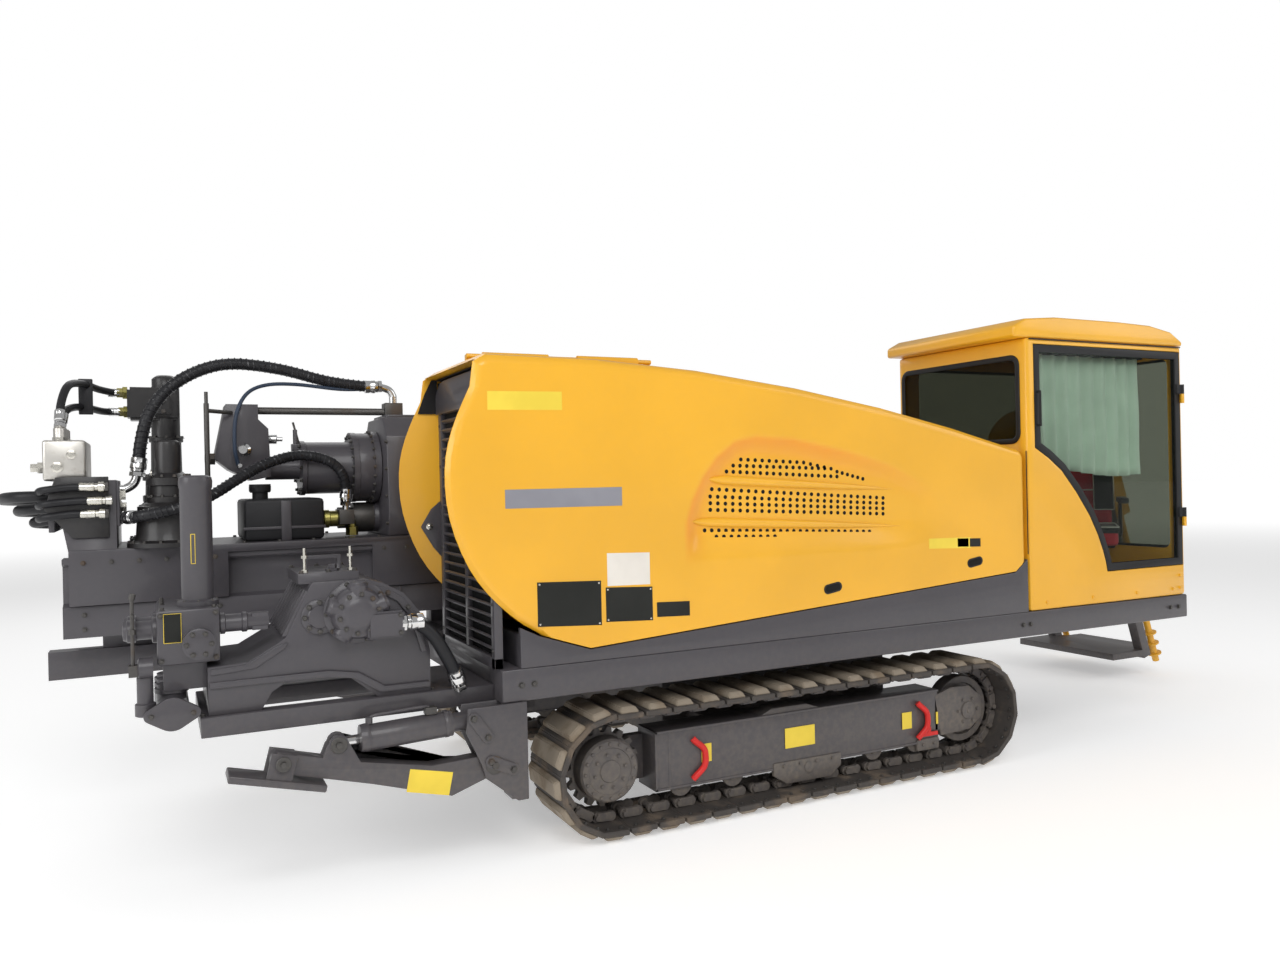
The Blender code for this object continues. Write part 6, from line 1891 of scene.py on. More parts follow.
    def feed_hoses(self) -> None:
        """Three thick hoses in a flat loop from the bulkhead and back to the far side."""
        plate, reach_to = -3.5404, -4.05
        fittings = []
        for index, (y, z) in enumerate(((0.22, 1.66), (0.34, 1.60), (0.46, 1.54))):
            reach = -reach_to - 0.028 - index * 0.065
            back = 0.80 - index * 0.075
            route = ((plate, y, z), (plate - 0.04, y, z), (plate - 0.10, y, z),
                     (-reach + 0.10, y + 0.03, z + 0.002), (-reach, (y + back) / 2, z - 0.01),
                     (-reach + 0.10, back - 0.03, z - 0.02), (plate - 0.10, back, z - 0.02),
                     (plate - 0.04, back, z - 0.02), (plate, back, z - 0.02))
            self.lay(HosePlan(f"feed_hose_{index}", route, 0.0275, "carriage_hoses" if index == 0 else "",
                              guard=False, metal=(0.04, 0.04)))
            fittings.append(turned((self.bulkhead, y, z), AHEAD,
                                   ((0, 0.036), (0.018, 0.036), (0.020, 0.026), (0.040, 0.026)), 6))
        clamp = block((-3.80, 0.16, 1.49), (-3.775, 0.84, 1.70))
        dress(soften(gather("loop_clamp", [clamp]), 0.003), Finish.GREY, "carriage")
        dress(gather("bulkhead_nuts", fittings), Finish.ZINC, "carriage")

    def pump_hoses(self) -> None:
        """One glossy drive hose from the pump's motor down into the deck."""
        y = -1.0204
        first = ((-2.3996, y, 1.09), (-2.385, y, 1.09), (-2.37, y, 1.09), (-2.34, y, 1.083),
                 (-2.27, y + 0.01, 1.02), (-2.21, y + 0.02, 0.92), (-2.17, y + 0.035, 0.84),
                 (-2.155, y + 0.045, 0.80))
        self.lay(HosePlan("drive_hose", first, 0.029, "pump_hose", "chassis", guard=False, metal=(0.02, 0.0)))

    def build(self) -> None:
        """Lays every hose and joins the metal ends of each body as one piece."""
        for step in (self.swivel_hoses, self.motor_hoses, self.feed_hoses, self.pump_hoses):
            step()
        for body, shapes in self.ends.items():
            dress(gather("hose_ends_" + body, shapes), Finish.CHROME, body)


@dataclass
class PumpGroup:
    """The mud pump, its fluid end, bottle, drive motor and base frame."""

    y: float = -0.70
    near: float = -0.945
    floor: float = 0.7704
    lid_top: float = 1.315
    drive: tuple[float, float] = (-2.587, 1.146)
    cover: tuple[float, float] = (-2.735, 1.135)
    bottle_at: tuple[float, float] = (-3.195, -0.80)
    fluid_x: tuple[float, float] = (-3.35, -3.12)
    fluid_top: float = 1.205

    def bolts(self, name: str, places: Sequence[Place], size: float = 0.009) -> None:
        """Hexagon bolts of one size on the pump."""
        strew(name, places, hex_bolt(size, size * 1.1), Finish.STEEL, "chassis")

    def crankcase(self) -> None:
        """The cast case with its webs, bearing cover, lid, studs and bolts."""
        refine("pump_crankcase", Finish.GREY, "chassis", 0.008)
        refine("pump_platform", Finish.GREY, "chassis", 0.004)
        near, (x, z) = self.near, self.cover
        parts = [turned((x, near + 0.004, z), NEAR,
                        ((0, 0.074), (0.012, 0.074), (0.017, 0.067), (0.019, 0.050), (0.023, 0.046),
                         (0.025, 0.02)), 32),
                 turned((-2.66, self.y - 0.12, self.lid_top - 0.002), UP,
                        ((0, 0.030), (0.012, 0.030), (0.013, 0.018), (0.030, 0.018)), 6)]
        dress(gather("case_cover", parts), Finish.GREY, "chassis")
        web = ((-3.16, 0.955), (-3.03, 0.962), (-2.90, 1.030), (-2.865, 1.040), (-2.875, 1.015),
               (-2.99, 0.945), (-3.16, 0.932))
        foot = ((-3.165, 0.905), (-2.70, 0.905), (-2.58, 0.885), (-2.47, 0.815), (-2.275, 0.815),
                (-2.275, 0.79), (-2.49, 0.79), (-2.60, 0.862), (-2.71, 0.880), (-3.165, 0.880))
        bow = ((-2.285, 0.95), (-2.325, 1.11), (-2.39, 1.195), (-2.475, 1.243), (-2.545, 1.262),
               (-2.55, 1.238), (-2.485, 1.220), (-2.41, 1.175), (-2.35, 1.095), (-2.31, 0.945))
        for name, loop, depth in (("case_web", web, 0.006), ("case_foot", foot, 0.012),
                                  ("case_bow", bow, 0.010)):
            dress(panel(name, loop, "Y", near - depth, near + 0.002, 0.003), Finish.GREY, "chassis")
        places = circle((x, near - 0.013, z), NEAR, 0.060, 8)
        places += [((x, y, self.lid_top), UP) for x in (-2.795, -2.685, -2.575) for y in (-0.875, -0.525)]
        places += [((x, -0.93, self.floor), UP) for x in (-3.19, -2.26)]
        places += [((x, near - 0.010, z), NEAR) for x, z in ((-2.30, 1.03), (-2.365, 1.148), (-2.45, 1.216))]
        self.bolts("case_bolts", places)
        posts = ((-2.78, -0.86), (-2.59, -0.86))
        studs = [turned((x, y, self.lid_top - 0.005), UP, ((0, 0.006), (0.110, 0.006), (0.111, 0.004)), 10)
                 for x, y in posts]
        nuts = [turned((x, y, z), UP, ((0, 0.013), (0.012, 0.013)), 6)
                for x, y in posts for z in (self.lid_top + 0.001, self.lid_top + 0.062)]
        dress(gather("case_studs", studs + nuts), Finish.ZINC, "chassis")

    def fluid_end(self) -> None:
        """The fluid end's blocks, glands, caps, valves and its blank plate."""
        skin = refine("pump_fluid_end", Finish.GREY, "chassis", 0.006)
        front = self.y - 0.276
        knife = gather("flange_knife", [block((-3.41, front - 0.01, 0.69), (-3.19, self.y - 0.2545, 0.91))])
        cut(skin, knife)
        (x0, x1), top, face = self.fluid_x, self.fluid_top, self.y - 0.23
        parts = []
        for dy in (-0.12, 0.02):
            parts.append(turned((x0 - 0.075, self.y + dy, 1.12), BACK,
                                ((0, 0.046), (0.030, 0.046), (0.034, 0.040), (0.045, 0.036),
                                 (0.047, 0.018)), 18))
            parts.append(turned((x0, self.y + dy, 1.12), BACK, ((0, 0.054), (0.014, 0.054), (0.018, 0.046)),
                                18))
        for dy in (-0.13, 0.0, 0.13):
            parts.append(turned((-3.30, self.y + dy, 0.885), DOWN,
                                ((0, 0.064), (0.018, 0.064), (0.022, 0.056)), 20))
            parts.append(turned((-3.30, self.y + dy, 0.795), DOWN,
                                ((0, 0.050), (0.020, 0.050), (0.024, 0.040)), 20))
        parts.append(turned((-3.365, self.y - 0.22, 0.985), BACK,
                            ((0, 0.040), (0.05, 0.040), (0.055, 0.030)), 18))
        parts.append(turned((-3.395, self.y - 0.20, 0.905), DOWN,
                            ((-0.04, 0.030), (0.06, 0.030), (0.064, 0.038), (0.11, 0.038), (0.114, 0.030)),
                            18))
        parts.append(turned((-3.20, self.y - 0.22, 1.07), NEAR,
                            ((0, 0.058), (0.016, 0.058), (0.020, 0.050), (0.030, 0.050), (0.034, 0.062),
                             (0.077, 0.062), (0.0796, 0.056), (0.0798, 0.034), (0.0770, 0.030),
                             (0.0770, 0.002)), 24))
        parts.append(turned((x1 + 0.004, self.y - 0.17, 1.13), AHEAD,
                            ((0, 0.044), (0.016, 0.044), (0.020, 0.037), (0.08, 0.037), (0.084, 0.042),
                             (0.10, 0.042), (0.104, 0.037)), 20))
        parts.append(block((x1 + 0.125, self.y - 0.20, 1.095), (x1 + 0.185, self.y - 0.14, 1.165)))
        dress(gather("fluid_caps", parts), Finish.GREY, "chassis")
        flange = panel("suction_plate", lozenge((-3.30, 0.80), 0.066, 0.026, 0.077), "Y", front,
                       self.y - 0.2535, 0.004)
        dress(flange, Finish.GREY, "chassis")
        places = circle((-3.20, self.y - 0.2995, 1.07), NEAR, 0.046, 6)
        places += [((x, self.y - 0.276, 0.80), NEAR) for x in (-3.375, -3.225)]
        places += [((x, y, top), UP) for x in (x0 + 0.02, x1 - 0.02) for y in (-0.91, -0.70, -0.61, -0.52)]
        places += [((x, face, z), NEAR) for x in (-3.335, -3.135) for z in (1.005, 1.185)]
        self.bolts("fluid_bolts", places, 0.008)
        plate = ((-3.325, 1.075), (-3.262, 1.075), (-3.262, 1.190), (-3.325, 1.190))
        dress(panel("fluid_plate", plate, "Y", face - 0.0016, face + 0.001), Finish.DECAL_BLACK, "chassis")
        rim = [Vector((x, face - 0.002, z)) for x, z in plate + plate[:1]]
        dress(flatten(curve_of("fluid_plate_rim", rim, 0.0014, 1)), Finish.DECAL_YELLOW, "chassis")
        bar_x, bar_y = -3.435, -0.93
        valve = [turned((bar_x, bar_y, 0.965), UP, ((0, 0.007), (0.295, 0.007)), 10),
                 turned((bar_x, bar_y, 1.262), (0.25, 0, 1), ((-0.006, 0.012), (0.018, 0.012)), 12),
                 turned((bar_x, bar_y + 0.05, 1.195), NEAR, ((0, 0.006), (0.09, 0.006)), 8),
                 turned((bar_x, bar_y, 1.12), UP, ((0, 0.014), (0.02, 0.014)), 6),
                 block((bar_x - 0.016, bar_y - 0.016, 0.955), (bar_x + 0.016, bar_y + 0.03, 1.00)),
                 turned((bar_x, bar_y + 0.01, 0.985), AHEAD, ((-0.012, 0.018), (0.07, 0.018)), 12)]
        dress(gather("bleed_valve", valve), Finish.STEEL, "chassis")

    def bottle(self) -> None:
        """The tall pulsation bottle with its rolled rims and blank mark."""
        x, y = self.bottle_at
        axis = (x, y, self.fluid_top + 0.0004)
        shape = turned(axis, UP,
                       ((0, 0.080), (0.018, 0.080), (0.024, 0.072), (0.026, 0.0615), (0.480, 0.0615),
                        (0.484, 0.064), (0.510, 0.065), (0.526, 0.062), (0.5346, 0.050)), 40)
        dress(gather("bottle", [shape]), Finish.GREY, "chassis", "pulsation_damper")
        self.bolts("bottle_bolts", circle((x, y, axis[2] + 0.018), UP, 0.071, 8), 0.006)
        ring = ((-1.95, 1.50), (-1.70, 1.50), (-1.70, 1.38), (-1.95, 1.38), (-1.95, 1.50))
        mark = [Vector((x + 0.0622 * math.cos(a), y + 0.0622 * math.sin(a), z)) for a, z in ring]
        dress(flatten(curve_of("bottle_mark", mark, 0.0018, 1)), Finish.DECAL_YELLOW, "chassis")

    def motor(self) -> None:
        """The round piston motor with its bolted lobes and its port block."""
        (x, z), near = self.drive, self.near
        parts = [turned((x, near, z), NEAR,
                        ((-0.004, 0.135), (0.024, 0.135), (0.030, 0.126), (0.034, 0.112), (0.080, 0.108),
                         (0.092, 0.098), (0.098, 0.074), (0.106, 0.066), (0.113, 0.045), (0.114, 0.02)),
                        40)]
        for k in range(5):
            angle = math.radians(90 + 72 * k)
            out = Vector((math.cos(angle), 0, math.sin(angle)))
            place = Vector((x, near - 0.058, z)) + out * 0.092
            parts.append(turned(place, out,
                                ((-0.03, 0.042), (0.024, 0.042), (0.030, 0.037), (0.038, 0.033)), 18))
        joint = block((x + 0.03, near - 0.112, 1.035), (-2.402, near - 0.040, 1.148))
        bevel_edges(joint, 0.010)
        parts.append(joint)
        dress(gather("drive_motor", parts), Finish.GREY, "chassis", "pump_motor")
        places = circle((x, near - 0.098, z), NEAR, 0.082, 10, 0.2)
        places += circle((x, near - 0.030, z), NEAR, 0.124, 10)
        places += [((-2.42, near - 0.112, level), NEAR) for level in (1.055, 1.13)]
        self.bolts("motor_bolts", places, 0.008)

    def build(self) -> None:
        """Makes the pump group in order."""
        for step in (self.crankcase, self.fluid_end, self.bottle, self.motor):
            step()


@dataclass
class Carriage:
    """The sliding frame with its feed motors, gearbox, swivel and manifold."""

    y: float = 0.50
    deck: float = 1.4004
    spindle_z: float = 1.785
    motor_x: float = -3.285
    motor_y: tuple[float, float] = (0.23, 0.77)

    def frame(self) -> None:
        """The carriage plate, its cheeks and edge bolts."""
        refine("carriage_frame", Finish.GREY, "carriage", 0.003)
        places = [((x, y, self.deck), UP) for y in (0.155, 0.845)
                  for x in [-3.45 + 0.17 * k for k in range(9)] if x >= -3.06]
        places += [((x, 0.130, 1.34), NEAR)
                   for x in (-3.66, -3.54, -3.42, -3.30, -3.18, -3.08, -2.24, -2.12, -2.0)]
        strew("carriage_bolts", places, hex_bolt(0.009, 0.009), Finish.STEEL, "carriage")

    def feed_motors(self) -> None:
        """A short near drive and a tall far one, each stacked on a bolted base."""
        foot = ((0, 0.190), (0.022, 0.190), (0.026, 0.172), (0.034, 0.160), (0.060, 0.150), (0.175, 0.142),
                (0.200, 0.142), (0.204, 0.128), (0.216, 0.116))
        near = foot + ((0.220, 0.101), (0.246, 0.101), (0.250, 0.088), (0.300, 0.086), (0.304, 0.101),
                       (0.340, 0.101), (0.346, 0.092), (0.362, 0.066), (0.366, 0.0605), (0.500, 0.0600),
                       (0.520, 0.056), (0.530, 0.045))
        far = foot + ((0.220, 0.121), (0.250, 0.121), (0.256, 0.108), (0.330, 0.106), (0.334, 0.121),
                      (0.356, 0.121), (0.362, 0.100), (0.380, 0.078), (0.540, 0.076), (0.544, 0.086),
                      (0.566, 0.086), (0.570, 0.072), (0.840, 0.072), (0.850, 0.066), (0.890, 0.066),
                      (0.900, 0.056), (0.910, 0.040))
        for name, profile, y, rings in (("near", near, self.motor_y[0],
                                         ((0.022, 0.179, 14), (0.346, 0.092, 10), (0.246, 0.094, 10))),
                                        ("far", far, self.motor_y[1],
                                         ((0.022, 0.179, 14), (0.356, 0.113, 12), (0.566, 0.080, 8)))):
            parts = [turned((self.motor_x, y, self.deck), UP, profile, 40)]
            places = [place for rise, radius, count in rings
                      for place in circle((self.motor_x, y, self.deck + rise), UP, radius, count)]
            if name == "far":
                head = block((self.motor_x - 0.186, y - 0.08, 2.062), (self.motor_x + 0.070, y + 0.08, 2.240))
                bevel_edges(head, 0.014)
                side = block((self.motor_x - 0.11, y - 0.10, 2.085), (self.motor_x + 0.03, y - 0.06, 2.190))
                bevel_edges(side, 0.010)
                parts += [head, side]
                places += circle((self.motor_x - 0.04, y - 0.10, 2.137), NEAR, 0.042, 4, 0.785)
            dress(gather("feed_drive_" + name, parts), Finish.BLACK, "carriage", "feed_motor_" + name)
            strew("feed_bolts_" + name, places, hex_bolt(0.008, 0.010), Finish.STEEL, "carriage")
        eye = [Vector((self.motor_x - 0.075, self.motor_y[0] - 0.065 + 0.016 * math.cos(a),
                       1.764 + 0.016 * math.sin(a))) for a in [math.pi * k / 8 for k in range(17)]]
        dress(flatten(curve_of("lifting_eye", eye, 0.004, 2)), Finish.ZINC, "carriage")

    def gearbox(self) -> None:
        """The gearbox, its bolted covers, the housing and the swivel's head."""
        refine("rotary_gearbox", Finish.GREY, "carriage", 0.010)
        refine("rotation_motor", Finish.STEEL, "carriage", 0.003)
        refine("oil_tank", Finish.PLASTIC, "carriage", 0.006)
        refine("swivel_tie", Finish.STEEL, "carriage", 0.003)
        refine("spindle", Finish.STEEL, "spindle", 0.003)
        head = refine("spindle_housing", Finish.GREY, "carriage", 0.006)
        head.name = "swivel_and_housing"
        rings = [turned((-2.352, self.y, self.spindle_z), AHEAD,
                        ((0, 0.198), (0.030, 0.198), (0.034, 0.190)), 48),
                 turned((-2.24, self.y, self.spindle_z), AHEAD,
                        ((0, 0.205), (0.034, 0.205), (0.038, 0.196)), 48),
                 turned((-2.625, self.y, self.spindle_z), AHEAD,
                        ((0, 0.120), (0.004, 0.152), (0.028, 0.152), (0.032, 0.146)), 40)]
        dress(gather("housing_rings", rings), Finish.GREY, "carriage")
        places = circle((-2.352, self.y, self.spindle_z), BACK, 0.176, 20)
        places += circle((-2.24, self.y, self.spindle_z), BACK, 0.200, 24)
        places += circle((-2.625, self.y, self.spindle_z), BACK, 0.138, 12)
        places += circle((-1.82, self.y, self.spindle_z), AHEAD, 0.138, 12)
        places += [((-2.20, y, z), BACK) for y in (0.20, 0.80) for z in (1.47, 1.62, 1.77, 1.92)]
        places += circle((-2.231, self.y, 1.50), BACK, 0.074, 8)
        strew("gear_bolts", places, hex_bolt(0.009, 0.010), Finish.STEEL, "carriage")
        lid = panel("gearbox_lid", oblong((-2.175, 0.33), (-1.925, 0.67), 0.02), "Z", 2.055, 2.078, 0.004)
        dress(lid, Finish.GREY, "carriage")
        valve = [turned((-2.42, self.y - 0.10, 1.50), BACK,
                        ((-0.02, 0.044), (0.06, 0.044), (0.064, 0.050), (0.09, 0.050), (0.094, 0.036),
                         (0.13, 0.036)), 12)]
        dress(gather("brass_valve", valve), Finish.BRASS, "carriage")
        cap = [turned((-2.84, self.y - 0.12, 1.655), UP,
                      ((0, 0.050), (0.012, 0.056), (0.034, 0.056), (0.044, 0.048)), 12),
               turned((-2.84, self.y - 0.12, 1.62), UP, ((0, 0.040), (0.04, 0.040)), 16)]
        dress(gather("tank_cap", cap), Finish.PLASTIC, "carriage")
        strap = [block((-2.936, self.y - 0.266, 1.46), (-2.524, self.y - 0.258, 1.475)),
                 block((-2.75, self.y - 0.268, 1.4004), (-2.70, self.y - 0.258, 1.61))]
        dress(soften(gather("tank_straps", strap), 0.002), Finish.GREY, "carriage")
        union = turned((-2.36, 0.40, 1.405), UP,
                       ((0, 0.034), (0.045, 0.034), (0.05, 0.022), (0.075, 0.022)), 6)
        dress(gather("sump_union", [union]), Finish.BRASS, "carriage")
        balls = [turned((-2.905, self.y - 0.108, 1.885), (-0.3, -1, 0),
                        ((0, 0.026), (0.016, 0.034), (0.036, 0.034), (0.050, 0.022), (0.066, 0.022)), 14),
                 turned((-2.815, self.y - 0.02, 1.945), (1, -0.2, 0),
                        ((0, 0.024), (0.05, 0.026), (0.075, 0.026), (0.08, 0.012), (0.105, 0.012)), 12)]
        dress(gather("swivel_ball", balls), Finish.CHROME, "carriage")
        pins = [turned((-2.62, self.y, 1.92), (-0.25, 0, 1), ((0, 0.006), (0.125, 0.006)), 8),
                turned((-3.075, self.y - 0.04, 1.84), BACK,
                       ((-0.02, 0.034), (0.012, 0.034), (0.016, 0.026), (0.03, 0.026)), 6),
                turned((-3.10, 0.27, 1.402), UP, ((0, 0.013), (0.72, 0.013), (0.722, 0.009), (0.78, 0.009)),
                       12),
                turned((-3.10, 0.27, 2.085), (0.9, 0.7, -0.02), ((0, 0.011), (0.16, 0.011)), 10)]
        dress(gather("swivel_pins", pins), Finish.STEEL, "carriage")

    def manifold(self) -> None:
        """The milled block on the tail shelf with its ports and plugs."""
        refine("valve_block", Finish.ALUMINIUM, "carriage", 0.004)
        ports = []
        for index in range(3):
            y = self.y - 0.28 + 0.12 * index
            ports.append(turned((-3.75, y, 1.925), UP,
                                ((0, 0.032), (0.020, 0.032), (0.022, 0.026), (0.055, 0.026), (0.057, 0.022),
                                 (0.070, 0.022)), 6))
        ports.append(turned((-3.815, 0.24, 1.80), BACK,
                            ((0, 0.030), (0.03, 0.030), (0.032, 0.022), (0.06, 0.022)), 6))
        ports.append(turned((-3.70, 0.165, 1.86), NEAR,
                            ((0, 0.022), (0.012, 0.022), (0.014, 0.012), (0.018, 0.012)), 12))
        ports.append(turned((-3.76, 0.165, 1.80), NEAR,
                            ((0, 0.026), (0.018, 0.026), (0.020, 0.016), (0.030, 0.016)), 12))
        dress(gather("manifold_ports", ports), Finish.ZINC, "carriage")

    def tail(self) -> None:
        """The dark guard on the tail shelf's cheek and the shiny hose ends in front of it."""
        guard = panel("tail_guard",
                      ((-3.767, 1.752), (-3.545, 1.752), (-3.545, 1.46), (-3.70, 1.46), (-3.815, 1.60)),
                      "Y", 0.1235, 0.1296, 0.003)
        dress(guard, Finish.BLACK, "carriage")
        ends = []
        spots = ((-3.668, 1.703), (-3.636, 1.637), (-3.665, 1.575))
        for x, z in spots:
            ends.append(turned((x, 0.098, z), AHEAD,
                               ((0, 0.018), (0.004, 0.021), (0.062, 0.021), (0.066, 0.018), (0.078, 0.018),
                                (0.080, 0.025), (0.104, 0.025), (0.106, 0.017), (-3.545 - x, 0.017)), 18))
        dress(gather("tail_hose_ends", ends), Finish.ZINC, "carriage")
        for index, (x, z) in enumerate(spots):
            route = [Vector(point)
                     for point in ((x + 0.01, 0.098, z), (x - 0.04, 0.098, z), (-3.78, 0.105, z - 0.008),
                                   (-3.825, 0.135, z - 0.014), (-3.84, 0.19, z - 0.020))]
            dress(flatten(curve_of(f"tail_hose_{index}", flow(route, 5), 0.0185, 4)), Finish.RUBBER,
                  "carriage")
        rests = [block((-3.560, 0.080, z - 0.020), (-3.545, 0.124, z + 0.020)) for _, z in spots]
        dress(soften(gather("tail_rests", rests), 0.002), Finish.STEEL, "carriage")

    def build(self) -> None:
        """Makes the carriage in order."""
        for step in (self.frame, self.feed_motors, self.gearbox, self.manifold, self.tail):
            step()


@dataclass
class Legs:
    """The two stabiliser legs with their pins, pipes and blank labels.

    Each of the pins has its body, its x and z, its radius and how far out it starts.
    """

    cheek: float = 1.105
    pins: Sequence[tuple[str, float, float, float, float]] = (
        ("chassis", -2.035, 0.445, 0.040, 1.105), ("leg", -2.689, 0.620, 0.034, 1.086),
        ("leg_barrel", -2.110, 0.644, 0.032, 1.0852), ("foot", -2.909, 0.582, 0.030, 1.120))
    keeper_half: float = 0.026

    def side(self, name: str, sign: int) -> None:
        """One leg.

        Args:
            name: Near or far.
            sign: Which way the leg lies across the machine.
        """
        for node, body, finish, width in (("leg_bracket", "chassis", Finish.GREY, 0.004),
                                          ("leg_arm", f"leg_{name}", Finish.GREY, 0.004),
                                          ("leg_foot", f"foot_{name}", Finish.GREY, 0.004),
                                          ("leg_barrel", f"leg_barrel_{name}", Finish.GREY, 0.003),
                                          ("leg_rod", f"leg_rod_{name}", Finish.CHROME, 0.0015)):
            refine(f"{node}_{name}", finish, body, width)
        out = (0, sign, 0)
        for body, x, z, radius, start in self.pins:
            cap = [turned((x, sign * (start - 0.002), z), out,
                          ((0, radius), (0.006, radius), (0.008, radius * 0.92)), 24),
                   turned((x, sign * (start + 0.004), z), out,
                          ((0, radius * 0.42), (0.012, radius * 0.42), (0.013, radius * 0.3)), 6)]
            owner = body if body == "chassis" else f"{body}_{name}"
            dress(gather(f"leg_pin_{name}_{round(-x * 1000)}", cap), Finish.STEEL, owner)
        y, wide = sign * 1.045, 0.055
        pipe = [Vector((x, y, z + wide))
                for x, z in ((-2.30, 0.642), (-2.31, 0.668), (-2.36, 0.670), (-2.48, 0.664),
                             (-2.535, 0.660), (-2.555, 0.652), (-2.560, 0.630))]
        dress(flatten(curve_of(f"leg_pipe_{name}", flow(pipe, 4), 0.007, 3)), Finish.GREY,
              f"leg_barrel_{name}")
        unions = [turned((x, y, 0.640 + wide), UP, ((-0.012, 0.015), (0.014, 0.015), (0.016, 0.010)), 6)
                  for x in (-2.30, -2.56)]
        gland = turned((-2.602, y, 0.6262), (1, 0, 0.038),
                       ((0.0, 0.036), (0.004, 0.056), (0.028, 0.0585), (0.038, 0.0585), (0.042, 0.056)), 28)
        base = turned((-2.245, y, 0.6398), (1, 0, 0.038),
                      ((0, 0.056), (0.004, 0.0585), (0.018, 0.0585), (0.022, 0.056)), 28)
        dress(gather(f"leg_unions_{name}", [*unions, gland, base]), Finish.GREY, f"leg_barrel_{name}")
        port = block((-2.325, y - 0.022, 0.636 + wide), (-2.275, y + 0.022, 0.668 + wide))
        dress(soften(gather(f"leg_port_{name}", [port]), 0.003), Finish.STEEL, f"leg_barrel_{name}")
        mark = panel(f"leg_label_{name}",
                     ((-2.419, 0.384), (-2.237, 0.340), (-2.217, 0.437), (-2.401, 0.478)), "Y",
                     *sorted((sign * 1.0855, sign * 1.0872)))
        dress(mark, Finish.DECAL_YELLOW, f"leg_{name}")
        self.keepers(name, sign)

    def keepers(self, name: str, sign: int) -> None:
        """The two bolted plates that keep the pins in the bracket.

        Args:
            name: Near or far.
            sign: Which way the leg lies across the machine.
        """
        inner, outer = sign * (self.cheek - 0.001), sign * (self.cheek + 0.009)
        for part, first, last in (("upper", (-2.127, 0.660), (-2.065, 0.572)),
                                  ("lower", (-2.053, 0.463), (-1.951, 0.416))):
            way = Vector(last) - Vector(first)
            tip = way.normalized() * self.keeper_half
            side = Vector((tip.y, -tip.x))
            loop = []
            for centre, end in ((Vector(first), -1), (Vector(last), 1)):
                for k in range(9):
                    turn = math.pi * k / 8
                    loop.append(tuple(centre + side * math.cos(turn) * end + tip * math.sin(turn) * end))
            keeper = panel(f"leg_keeper_{part}_{name}", loop, "Y", *sorted((inner, outer)), 0.002)
            dress(keeper, Finish.GREY, "chassis")
            spots = [((x, outer, z), (0, sign, 0)) for x, z in (first, last)]
            strew(f"leg_keeper_bolts_{part}_{name}", spots, hex_bolt(0.012, 0.010), Finish.STEEL, "chassis")

    def build(self) -> None:
        """Makes both legs."""
        self.side("near", -1)
        self.side("far", 1)


@dataclass
class Mast:
    """The drill mast with its racks' teeth, bolts and ribs."""

    span: tuple[float, float] = (-3.70, 2.86)
    racks: tuple[float, float] = (0.300, 0.700)
    rack_top: float = 1.330
    pitch: float = 0.040
    outer: tuple[float, float] = (0.15, 0.85)
    low: float = 0.98

    def build(self) -> None:
        """Makes the mast's trim in order."""
        refine("mast_frame", Finish.GREY, "mast", 0.004)
        refine("mast_lift_barrel", Finish.GREY, "lift_barrel", 0.003)
        refine("mast_lift_rod", Finish.CHROME, "lift_rod", 0.0015)
        count = int((self.span[1] - self.span[0]) / self.pitch)
        teeth = [((self.span[0] + 0.02 + self.pitch * k, y, self.rack_top), UP)
                 for k in range(count) for y in self.racks]
        tooth = block((-0.009, -0.014, -0.002), (0.009, 0.014, 0.017))
        for corner in tooth.verts:
            if corner.co.z > 0:
                corner.co.x *= 0.55
        strew("rack_teeth", teeth, tooth, Finish.STEEL, "mast")
        near, far = self.outer
        places = [((-3.66 + 0.60 * k, y, z), (0, way, 0))
                  for y, way in ((near, -1), (far, 1)) for k in range(12) for z in (1.02, 1.09)]
        strew("mast_bolts", places, hex_bolt(0.009, 0.009), Finish.STEEL, "mast")
        ribs = []
        for k in range(12):
            x = -3.36 + 0.60 * k
            for y0, y1 in ((near - 0.008, near + 0.004), (far - 0.004, far + 0.008)):
                ribs.append(block((x, y0, self.low + 0.004), (x + 0.012, y1, self.low + 0.146)))
        dress(soften(gather("mast_ribs", ribs), 0.002), Finish.GREY, "mast")


